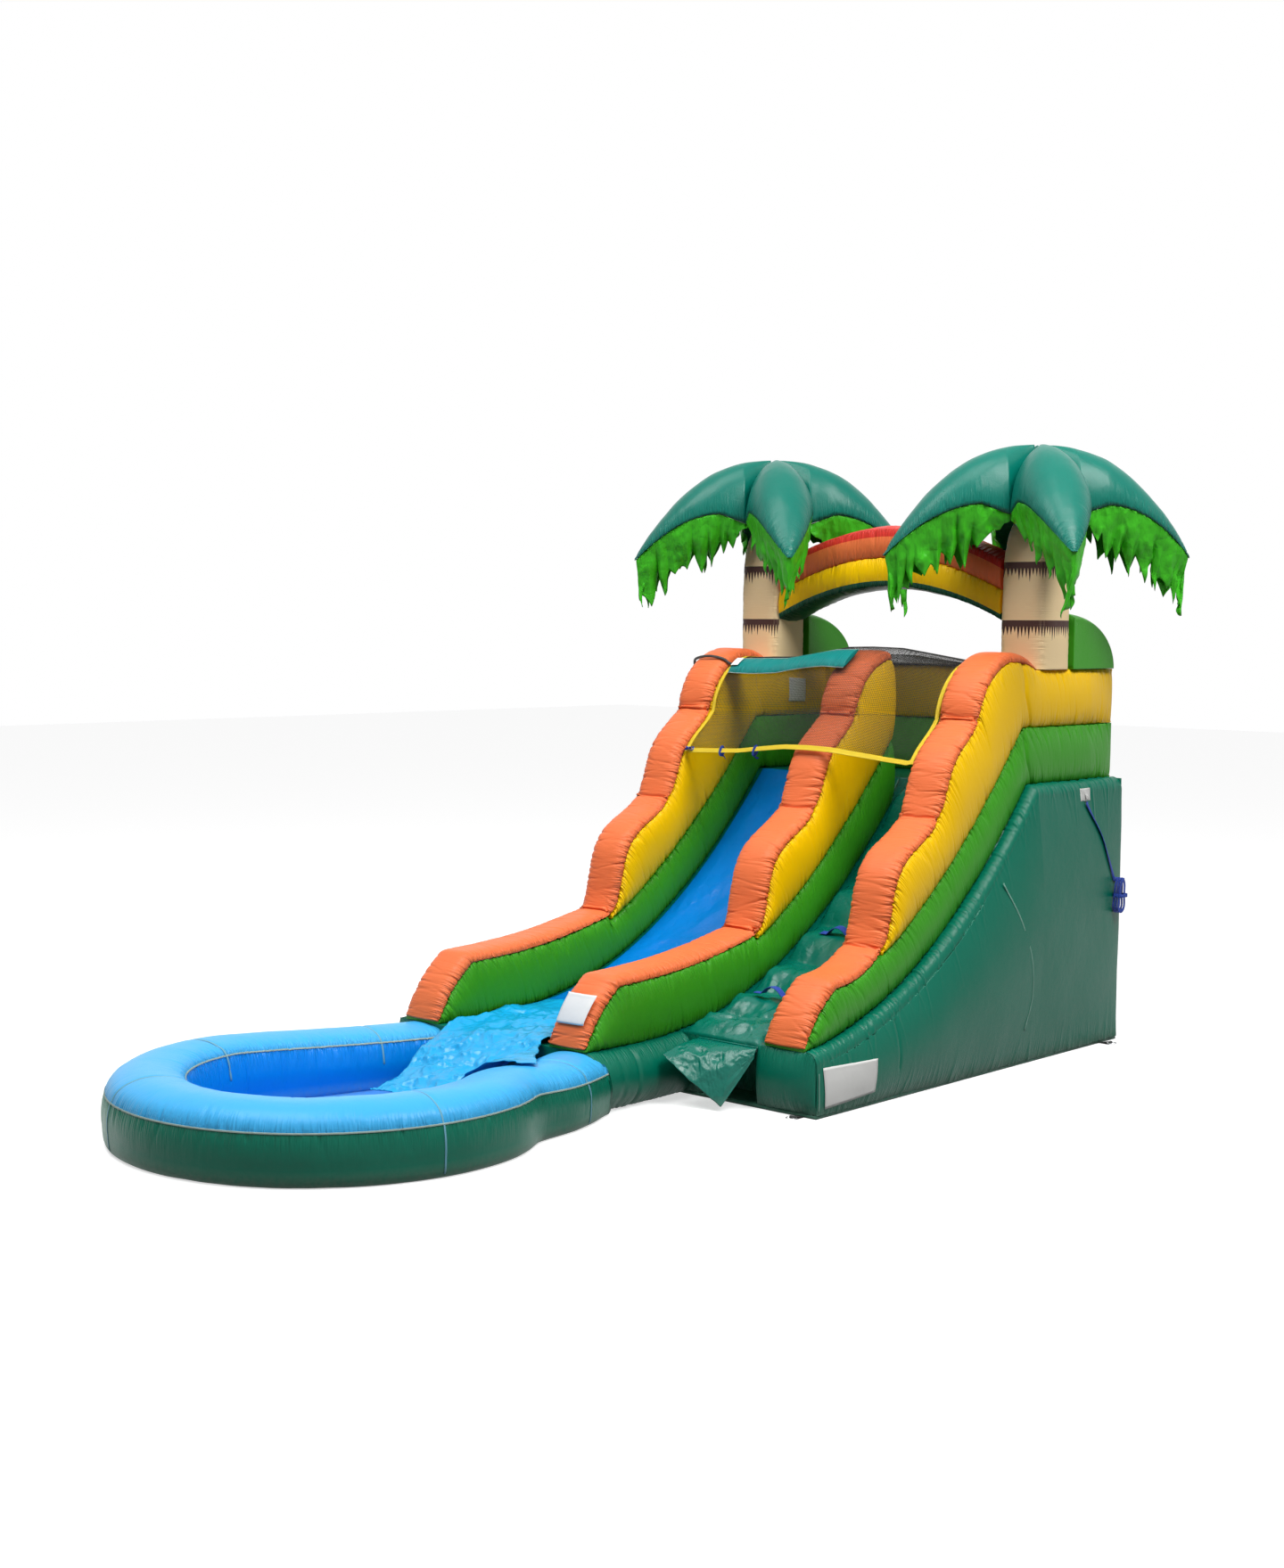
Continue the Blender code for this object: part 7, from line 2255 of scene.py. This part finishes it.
@dataclass
class SlideLiner:
    """The glossy blue sheet down the slide, and its crumpled apron over the exit."""

    apron_share: tuple[float, ...] = (0.0, 0.06, 0.16, 0.3, 0.46, 0.64, 0.82, 1.0)
    apron_fall: tuple[float, ...] = (0.0, 0.03, 0.13, 0.34, 0.6, 0.83, 0.96, 1.0)
    landing: float = 0.075
    rows: tuple[int, int] = (250, 124)
    columns: int = 98
    crumple_height: float = 0.034
    swell_height: float = 0.016
    left: float = -0.8835
    right: float = -0.0345
    neck_left: float = -0.787
    neck_right: float = -0.050
    narrowing: float = 3.60
    apron: float = 0.74
    taper: float = 0.13
    flare: float = 0.46
    thickness: float = 0.004

    def build(self) -> None:
        """Build and dress the liner as one sheet, its apron in a paler colour."""
        bed = np.linspace(PLAN.platform_run, PLAN.long_wall, self.rows[0])
        apron = 0.006 + PLAN.long_wall + self.apron * np.linspace(0.004, 1, self.rows[1])
        run = np.concatenate([bed, apron])
        past = np.clip((run - self.narrowing) / (PLAN.long_wall - self.narrowing), 0, 1)
        far = np.clip((run - PLAN.long_wall) / self.apron, 0, 1)
        left = self.left + (self.neck_left - self.left) * past + self.taper * far
        right = self.right + (self.neck_right - self.right) * past + self.flare * far
        fall = averaged(np.interp(far, self.apron_share, self.apron_fall), 5)
        hanging = PLAN.runout + (self.landing - PLAN.runout) * fall
        z = np.where(run < PLAN.long_wall, PLAN.bed(run), hanging)
        across = np.linspace(0, 1, self.columns)[None, :]
        x = left[:, None] + (right - left)[:, None] * across
        steps = np.hypot(np.gradient(run), np.gradient(z))
        u = np.cumsum(steps)[:, None]
        edge = np.clip(np.minimum(across, 1 - across) * 8, 0, 1)
        loose = np.clip((run[:, None] - 2.95) / 0.5, 0, 1) ** 1.5
        creases = crumple(u + 0.9 * x, x - 0.5 * u, cell=0.30, seed=2, octaves=3) * 0.011 * (1 - loose)
        sharp = crumple(u, x, cell=0.17, seed=4, octaves=4) * self.crumple_height
        slow = cloud(stacked(u, x, 0.0), cell=0.2, seed=8) * self.swell_height
        crumpled = (sharp + slow) * loose
        lift = self.thickness + 0.001 + np.maximum(creases * edge + 0.003, 0) * (1 - loose)
        lift = lift + np.maximum(crumpled + 0.020, 0.0) * loose
        ends = np.clip((run[:, None] - PLAN.platform_run) / 0.12, 0, 1)
        slope = unit(stacked(-np.gradient(z), np.gradient(run)))
        lift = lift * (0.35 + 0.65 * ends)
        grid = stacked(x, PLAN.y_at(run[:, None] + slope[:, :1] * lift), z[:, None] + slope[:, 1:] * lift)
        wobble = cloud(stacked(u, 3 * across, 0.0), cell=0.12, seed=12)
        at_edge = (np.abs(across - 0.5) > 0.42) * np.clip(far[:, None] * 2 - 0.4, 0, 1)
        grid[..., 0] += 0.018 * wobble * at_edge
        grid[..., 1] += (0.05 * wobble * far[:, None] + 0.22 * across**2) * far[:, None]
        crown = self.over_ring(grid) + np.maximum(crumpled, 0) * 0.5
        grid[..., 2] = np.where(far[:, None] > 0, np.maximum(grid[..., 2], crown), grid[..., 2])
        skin = Skin.flat(grid)
        item = MeshMaker.sheet("slide_liner_sheet", skin, self.thickness)
        dress(item, [LINER_BLUE, APRON_BLUE], ("slide_liner",))
        self.colour_apron(item)
        declare_sheet(skin)

    def over_ring(self, grid: np.ndarray) -> np.ndarray:
        """Height at which the cloth rides on the pool's right neck and falls away from it.

        It goes by the distance from the ring's centreline, in shares of the ring's half width.
        """
        pool = Pool()
        route = pool.route()
        neck = route[: len(route) // 4]
        near = np.full(grid.shape[:2], np.inf)
        for spot in neck[::4]:
            near = np.minimum(near, np.hypot(grid[..., 0] - spot[0], grid[..., 1] - spot[1]))
        share = near / pool.half_width
        height = np.interp(share, (0, 0.5, 0.9, 1.15, 1.9, 2.6), (1, 1, 0.97, 0.86, 0.5, 0.2))
        return (pool.neck + 0.036) * height

    @staticmethod
    def colour_apron(item: bpy.types.Object) -> None:
        """Give the faces past the slide's foot the apron's finish."""
        mesh = item.data
        count = len(mesh.polygons)
        centres = np.empty(3 * count)
        mesh.polygons.foreach_get("center", centres)
        past = centres.reshape(-1, 3)[:, 1] < PLAN.y_at(3.10)
        mesh.polygons.foreach_set("material_index", past.astype(np.int32))


@dataclass
class ClimbFittings:
    """The flap at the foot of the climbing lane, and the grab handles up it."""

    left: float = 0.4385
    right: float = 0.8775
    hinge_y: float = -2.4863
    hinge_z: float = 0.34245
    hem: float = 0.006
    drop: float = 0.315
    short_drop: float = 0.055
    tip_share: float = 0.80
    left_spill: float = 0.30
    tip_spill: float = 0.21
    right_spill: float = 0.03
    thickness: float = 0.003
    handle_x: float = 0.603
    handle_length: float = 0.26
    handle_width: float = 0.05
    handle_lift: float = 0.045

    def build(self, base: Base) -> None:
        """Build and dress the flap and three handles."""
        self.build_flap()
        pitch = (PLAN.base_run - PLAN.platform_run) / base.step_count
        for number, step in enumerate((1, 3, 5), start=1):
            self.build_handle(number, PLAN.platform_run + (step + 0.5) * pitch, base)

    def build_flap(self) -> None:
        """A pointed, crumpled flap that spills forward from its rolled hem.

        Down the cloth it goes forward by spill·d^0.75 while it falls by drop·d^1.5.
        """
        share = np.linspace(0, 1, 110)[:, None]
        near = np.where(share < self.tip_share, share / self.tip_share, (1 - share) / (1 - self.tip_share))
        drop = self.short_drop + (self.drop - self.short_drop) * near
        turn = np.linspace(np.radians(200), np.radians(-15), 20)
        hem_y = self.hinge_y + self.hem * np.cos(turn)
        hem_z = self.hinge_z + self.hem * np.sin(turn)
        down = np.linspace(0, 1, 60)[1:]
        x = self.left + (self.right - self.left) * share
        spill = np.interp(
            share, (0.0, self.tip_share, 1.0), (self.left_spill, self.tip_spill, self.right_spill)
        )
        folds = crumple(x, 0.3 * down, cell=0.13, seed=6, octaves=4) * 0.024 * np.clip(down * 2, 0, 1)
        folds = folds * np.clip(share * 12, 0.25, 1)
        y = self.hinge_y - self.thickness - spill * down**0.75 - 0.7 * np.maximum(folds, -0.01)
        z = self.hinge_z - self.hem - (drop - self.hem) * down**1.5 + 0.7 * folds * (1 - down**4)
        z = np.maximum(z, 0.006)
        y = np.concatenate([hem_y + 0 * share, y], axis=1)
        z = np.concatenate([hem_z + 0 * share, z], axis=1)
        skin = Skin.flat(stacked(x, y, z))
        cloth(
            "climb_flap_cloth",
            skin,
            0.0022,
            [LOOSE_GREEN],
            ("climb_flap",),
            body="flap",
        )

    def build_handle(self, number: int, run: float, base: Base) -> None:
        """Webbing sewn flat at both ends and arched between them."""
        x = np.linspace(-0.5, 0.5, 80)
        arch = np.sin(np.pi * np.clip((x + 0.5 - 0.22) / 0.56, 0, 1)) ** 0.8
        spots = run + np.linspace(-0.5, 0.5, 9) * self.handle_width
        crest = PLAN.bed(spots) + base.steps(spots, np.ones(9))
        z = crest[None, :] + 0.0075 + self.handle_lift * arch[:, None]
        grid = stacked(
            self.handle_x + (x * self.handle_length)[:, None],
            PLAN.y_at(spots),
            np.maximum(z, z.mean(axis=1, keepdims=True) - 0.004),
        )
        skin = Skin.flat(grid)
        cloth(
            f"grab_strap_{number}",
            skin,
            0.0035,
            [BLUE_STRAP],
            (f"climb_handle_{number}",),
        )


@dataclass
class Tether:
    """The patch on the right side with its loop, and the strap that ends in a tied hank."""

    run: float = 0.47
    height: float = 1.64
    patch_wide: float = 0.12
    patch_tall: float = 0.08
    strap_radius: float = 0.008
    hank_run: float = 0.085
    hank_height: float = 0.965
    half_height: float = 0.105
    half_width: float = 0.058
    waist: float = 0.38
    turns: int = 3
    loop_points: int = 24
    pitch: float = 0.0185
    strap_wide: float = 0.024
    strap_thick: float = 0.0050
    clear: float = 0.009
    panel: np.ndarray = field(default_factory=lambda: np.zeros((1, 1, 3)))
    face: float = field(init=False, default=0.0)

    def beside(self, y: float, z: float, reach: float = 0.03) -> float:
        """The panel's outermost x near one place."""
        return float(standing_out(self.panel, np.array([[y, z]]), 0, 1, reach)[0])

    def stand(self) -> float:
        """The x of the hank's innermost turn."""
        centre = PLAN.y_at(self.hank_run)
        levels = (self.hank_height - 0.08, self.hank_height, self.hank_height + 0.08)
        return max(self.beside(centre, z, 0.07) for z in levels) + self.strap_thick / 2 + 0.006

    def build(self) -> None:
        """Build and dress the patch, the loop and the strap with its hank."""
        t = np.linspace(-1, 1, 26)
        y = PLAN.y_at(self.run) + self.patch_wide / 2 * t[:, None]
        z = self.height + self.patch_tall / 2 * t[None, :]
        swell = 0.004 * (1 - t[:, None] ** 6) * (1 - t[None, :] ** 6)
        spots = stacked(y, z).reshape(-1, 2)
        self.face = self.beside(PLAN.y_at(self.run), self.height, 0.02) + 0.003
        under = standing_out(self.panel, spots, 0, 1, 0.02).reshape(26, 26)
        grid = stacked(under + 0.0035 + swell, y, z)
        skin = Skin.flat(grid)
        cloth(
            "tether_patch_cloth",
            skin,
            0.003,
            [WHITE_STRAP],
            ("tether_patch",),
        )
        turn = np.linspace(-np.pi / 2, np.pi / 2, 26)
        path = stacked(
            self.face + 0.005 + 0.0105 * np.cos(turn),
            np.full(26, PLAN.y_at(self.run)),
            self.height - 0.020 + 0.021 * np.sin(turn),
        )
        cross = strap_section(0.030, 0.004)
        tangent = unit(np.gradient(path, axis=0))
        out = np.cross(tangent, [0, 1, 0])
        loop = path[:, None] + cross[:, :1] * np.array([0, 1, 0]) + out[:, None] * cross[:, 1:]
        trim("tether_loop", loop, WHITE_STRAP)
        self.build_strap()

    def hank(self) -> np.ndarray:
        """Turns of the hank, drawn in at the waist, that step outward along their front run."""
        stand = self.stand()
        centre = PLAN.y_at(self.hank_run)
        turn = np.arange(self.turns * self.loop_points + 1) / self.loop_points
        angle = 2 * np.pi * turn
        waist = 1 - self.waist * np.sin(angle) ** 4
        climb = np.clip((turn % 1.0 - 0.55) / 0.4, 0, 1)
        layer = np.floor(turn + 1e-9) + softened(climb)
        return stacked(
            stand + self.pitch * layer,
            centre + self.half_width * np.sin(angle) * waist,
            self.hank_height + self.half_height * np.cos(angle),
        )

    def build_strap(self) -> None:
        """The strap down the side and its hank, as one cord."""
        hank = self.hank()
        start = np.array([self.face + 0.016, 0.25, 1.5947])
        lead = hank[0] + np.array([0, -2 * self.strap_radius, 0])
        route = [tuple(start), tuple(start - np.array([0, 0, 2 * self.strap_radius]))]
        for back, down in ((0.18, 0.18), (0.47, 0.43), (0.70, 0.715), (0.857, 0.924)):
            run = self.run + (self.hank_run - self.run) * back
            z = start[2] + (lead[2] - start[2]) * down
            y = PLAN.y_at(run)
            route.append((self.beside(y, z) + self.clear, y, z))
        route.append(tuple(lead - np.array([0, 2 * self.strap_radius, 0])))
        route.append(tuple(lead))
        strap = np.vstack([route[0], spline(route[1:], 8)])
        path = np.vstack([strap, spline([tuple(p) for p in hank], 2)])
        hung = np.clip(np.arange(len(path)) / len(strap), 0, 1)
        twist = 0.35 * np.sin(2.2 * np.pi * hung) + 0.5 * np.sin(np.pi * hung) ** 2
        section = strap_section(self.strap_wide, self.strap_thick)
        grid = sweep(path, section, (1, 0.001, 0.002), twist * (hung < 1))
        item = MeshMaker.tube("tether_line", Skin(grid), (0.0, 0.0))
        dress(item, [BLUE_STRAP], ("tether_strap", "tether_hank"))
        band = self.build_band()
        2 * self.strap_radius

    def build_band(self) -> bpy.types.Object:
        """The tie round the waist of the hank."""
        stand = self.stand()
        turn = full_turn(48)
        long = (self.turns * self.pitch + 2 * self.strap_radius) / 2 + 0.004
        wide = self.half_width * (1 - self.waist) + self.strap_radius + 0.004
        c, s = np.cos(turn), np.sin(turn)
        path = stacked(
            stand + self.turns * self.pitch / 2 + long * signed_power(c, 0.7),
            PLAN.y_at(self.hank_run) + wide * signed_power(s, 0.7),
            np.full(48, self.hank_height),
        )
        section = strap_section(0.022, 0.002)
        away = stacked(c, s, 0.0)
        grid = path[:, None] + away[:, None] * section[:, 1:] + np.array([0, 0, 1.0]) * section[:, :1]
        item = MeshMaker.tube("hank_tie", Skin(grid), None)
        return dress(item, [BLUE_STRAP], ())


@dataclass
class RearFittings:
    """The inflation sleeve and the deflation zip on the rear panel."""

    sleeve_x: float = 0.72
    sleeve_radius: float = 0.1245
    sleeve_length: float = 0.30
    zip_x: float = -0.55
    zip_z: float = 0.22
    zip_length: float = 0.50
    zip_width: float = 0.045

    def build(self) -> None:
        """Build and dress the sleeve and the zip."""
        y = np.linspace(0, 1, 60)[:, None]
        turn = full_turn(72)[None, :]
        ripple = 0.004 * cloud(stacked(np.cos(turn), np.sin(turn), 3 * y), cell=0.4, seed=31)
        radius = self.sleeve_radius - 0.003 - np.abs(ripple) * np.sin(np.pi * y)
        centre = 0.1455 - 0.020 * y
        x = self.sleeve_x + radius * np.cos(turn)
        z = np.maximum(centre + radius * np.sin(turn), 0.0008)
        outer = stacked(x, PLAN.palm_setback + 0.0005 + self.sleeve_length * y, z)
        inner = outer.copy()
        inner[..., 0] = self.sleeve_x + (radius - 0.004) * np.cos(turn)
        inner[..., 2] = np.maximum(centre + (radius - 0.004) * np.sin(turn), 0.0045)
        loop = np.concatenate([outer, inner[::-1]], axis=0)
        loop = np.swapaxes(loop, 0, 1)
        item = MeshMaker.tube("inflation_sleeve_cloth", Skin(loop), None)
        dress(item, [DARK_GREEN], ("inflation_sleeve",))
        declare_sheet(Skin(outer, (), True))
        self.build_zip()

    def build_zip(self) -> None:
        """The zip's tape with two rows of teeth."""
        face = PLAN.palm_setback + 0.0006
        x = np.linspace(-self.zip_length / 2, self.zip_length / 2, 120)[:, None] + self.zip_x
        across = np.linspace(-1, 1, 18)[None, :]
        bead = 0.0036 * np.exp(-((across / 0.16) ** 4))
        teeth = 0.0005 * np.sin(x * 2 * np.pi / 0.012) * np.exp(-((across / 0.14) ** 4))
        z = self.zip_z + self.zip_width / 2 * across
        upper = stacked(x, face + 0.0012 + bead + teeth, z)
        lower = upper.copy()
        lower[..., 1] = face
        item = MeshMaker.shell("zip_tape_strip", Skin.flat(upper), lower)
        dress(item, [ZIP_WEAVE], ("zip_tape",))


@dataclass(frozen=True)
class Lamp:
    """A square area light."""

    name: str
    place: tuple[float, float, float]
    size: float
    power: float


@dataclass
class Studio:
    """The floor, the light and the camera."""

    camera_place: tuple[float, float, float] = (8.3066, -11.5658, 2.7078)
    heading: float = 42.51
    pitch: float = 4.337
    roll: float = -0.381
    lens: float = 48.674
    sensor: float = 36.0
    white: float = 1.0
    ambient: float = 0.15
    floor_glow: float = 0.60
    floor_reach: float = 40.0
    floor_drop: float = 0.0006
    floor_lit: float = 0.12
    floor_seen: float = 0.62
    lamps: tuple[Lamp, ...] = (
        Lamp("key", (-2.5, -6.0, 10.0), 4.0, 420.0),
        Lamp("top", (6.0, -2.0, 9.5), 4.0, 820.0),
        Lamp("fill", (9.5, -9.0, 3.0), 6.0, 45.0),
    )
    target: tuple[float, float, float] = (0.0, -2.0, 1.2)
    sun: float = 1.35
    sun_angle: float = 30.0
    sun_place: tuple[float, float, float] = (0.6, -3.0, 9.0)

    def build(self) -> None:
        """Set the scene."""
        self.build_floor()
        self.build_world()
        self.build_lamps()
        self.build_camera()
        bpy.context.scene.view_settings.view_transform = "Standard"

    def build_floor(self) -> None:
        """A pale floor that looks white to the camera away from the object's shadow."""
        mesh = bpy.data.meshes.new("studio_floor")
        signs = ((-1, -1), (1, -1), (1, 1), (-1, 1))
        corners = [(a * self.floor_reach, b * self.floor_reach, -self.floor_drop) for a, b in signs]
        mesh.from_pydata(corners, [], [(0, 1, 2, 3)])
        made = bpy.data.materials.new("studio_floor_paint")
        made.use_nodes = True
        w = Wiring(made.node_tree)
        shader = made.node_tree.nodes["Principled BSDF"]
        seen = self.seen(w)
        shades = [(*(level,) * 3, 1) for level in (self.floor_lit, self.floor_seen)]
        w.join(w.mix(seen, *shades), shader.inputs["Base Color"])
        shader.inputs["Roughness"].default_value = 1.0
        shader.inputs["Specular IOR Level"].default_value = 0.0
        shader.inputs["Emission Color"].default_value = (1, 1, 1, 1)
        w.join(seen * self.floor_glow, shader.inputs["Emission Strength"])
        mesh.materials.append(made)
        placed("studio_floor", mesh)

    @staticmethod
    def seen(w: Wiring) -> Signal:
        """Whether a ray shows the background: from the camera, a reflection or through glass."""
        path = w.node("ShaderNodeLightPath")
        kinds = ("Camera", "Transmission", "Glossy")
        camera, through, mirrored = (Signal(w, path.outputs[f"Is {kind} Ray"]) for kind in kinds)
        return camera | through | mirrored

    def build_world(self) -> None:
        """A soft even sky that is plain white to the camera."""
        world = bpy.data.worlds.new("studio_world")
        bpy.context.scene.world = world
        world.use_nodes = True
        w = Wiring(world.node_tree)
        back = world.node_tree.nodes["Background"]
        back.inputs["Color"].default_value = (1, 1, 1, 1)
        w.join(self.seen(w) * (self.white - self.ambient) + self.ambient, back.inputs["Strength"])

    def build_lamps(self) -> None:
        """Broad lights from above on the left and the right, a weak fill and a soft sun."""
        for given in self.lamps:
            lamp = bpy.data.lights.new(given.name, "AREA")
            lamp.energy = given.power
            lamp.size = given.size
            self.aim(placed(given.name, lamp), np.array(given.place), np.array(self.target))
        sun = bpy.data.lights.new("sky_light", "SUN")
        sun.energy = self.sun
        sun.angle = math.radians(self.sun_angle)
        self.aim(placed("sky_light", sun), np.array(self.sun_place), np.zeros(3))

    @classmethod
    def aim(cls, item: bpy.types.Object, place: np.ndarray, target: np.ndarray) -> None:
        """Place an object so that its -Z looks at a target."""
        look = unit(target - place)
        right = unit(np.cross(look, [0, 0, 1.0]))
        cls.stand(item, right, np.cross(right, look), look, place)

    @staticmethod
    def stand(item: bpy.types.Object, x: np.ndarray, y: np.ndarray, look: np.ndarray, place: tuple) -> None:
        """Give an object its X and Y directions, the way that its -Z looks and its place."""
        pose = np.eye(4)
        for column, part in enumerate((x, y, -look, place)):
            pose[:3, column] = part
        item.matrix_world = Matrix(pose.tolist())

    def build_camera(self) -> None:
        """The camera, from its heading, downward pitch and roll."""
        data = bpy.data.cameras.new("camera")
        data.lens = self.lens
        data.sensor_width = self.sensor
        data.sensor_fit = "AUTO"
        item = placed("camera", data)
        a, p, r = (math.radians(v) for v in (self.heading, self.pitch, self.roll))
        look = np.array([-math.sin(a) * math.cos(p), math.cos(a) * math.cos(p), -math.sin(p)])
        right = np.array([math.cos(a), math.sin(a), 0.0])
        down = np.cross(look, right)
        x_axis = math.cos(r) * right + math.sin(r) * down
        y_axis = math.sin(r) * right - math.cos(r) * down
        self.stand(item, x_axis, y_axis, look, self.camera_place)
        bpy.context.scene.camera = item


def dress_hardware() -> None:
    """Better finishes for the CAD pieces that stay."""
    for node, finish in (("hose_coupling", COUPLING), ("zip_slider", STEEL)):
        item = bpy.data.objects[node]
        for slot in item.material_slots:
            slot.material = finish.material()


def main() -> None:
    """Build the slide's pieces in order, then the studio."""
    logging.basicConfig(level=logging.INFO, format="%(name)s: %(message)s")
    Studio().build()
    net = RoofNet()
    SprayLine(net).build()
    net.build()
    inner = ((-0.037, 2.34), (0.143, 2.33), (0.145, 2.17), (-0.035, 2.175))
    nose = ((0.052, 0.645), (0.262, 0.645), (0.250, 0.487), (0.040, 0.482))
    walls = (
        SideWall("left_wall", PLAN.left_x, PLAN.long_wall, 0.0, PLAN.cap_start, 11, inner_label=inner),
        SideWall("centre_wall", PLAN.centre_x, PLAN.long_wall, 1.17, PLAN.crest_run, 23, nose_label=nose),
        SideWall("right_wall", PLAN.right_x, PLAN.base_run, 0.0, PLAN.cap_start, 37),
    )
    for wall in walls:
        wall.build()
    BackWall().build()
    base = Base()
    base.build()
    Tether(panel=base.right_face).build()
    front = PLAN.y_at(PLAN.base_run)
    tabs = (
        ("front_right", 0.92 * PLAN.half_base, front, (0.0, -1.0)),
        ("rear_right", PLAN.half_base, PLAN.y_at(0.192), (1.0, 0.0)),
        ("rear_left", -PLAN.half_base, PLAN.y_at(0.192), (-1.0, 0.0)),
        ("front_left", -PLAN.half_base, PLAN.y_at(2.88), (-1.0, 0.0)),
    )
    for tab in tabs:
        GroundTab(*tab).build()
    for side, x, seed in (("left", PLAN.left_x, 201), ("right", PLAN.right_x, 301)):
        Palm(side, x, seed).build()
    Arch().build()
    Pool().build()
    SlideLiner().build()
    ClimbFittings().build(base)
    RearFittings().build()
    dress_hardware()


if __name__ == "__main__":
    main()
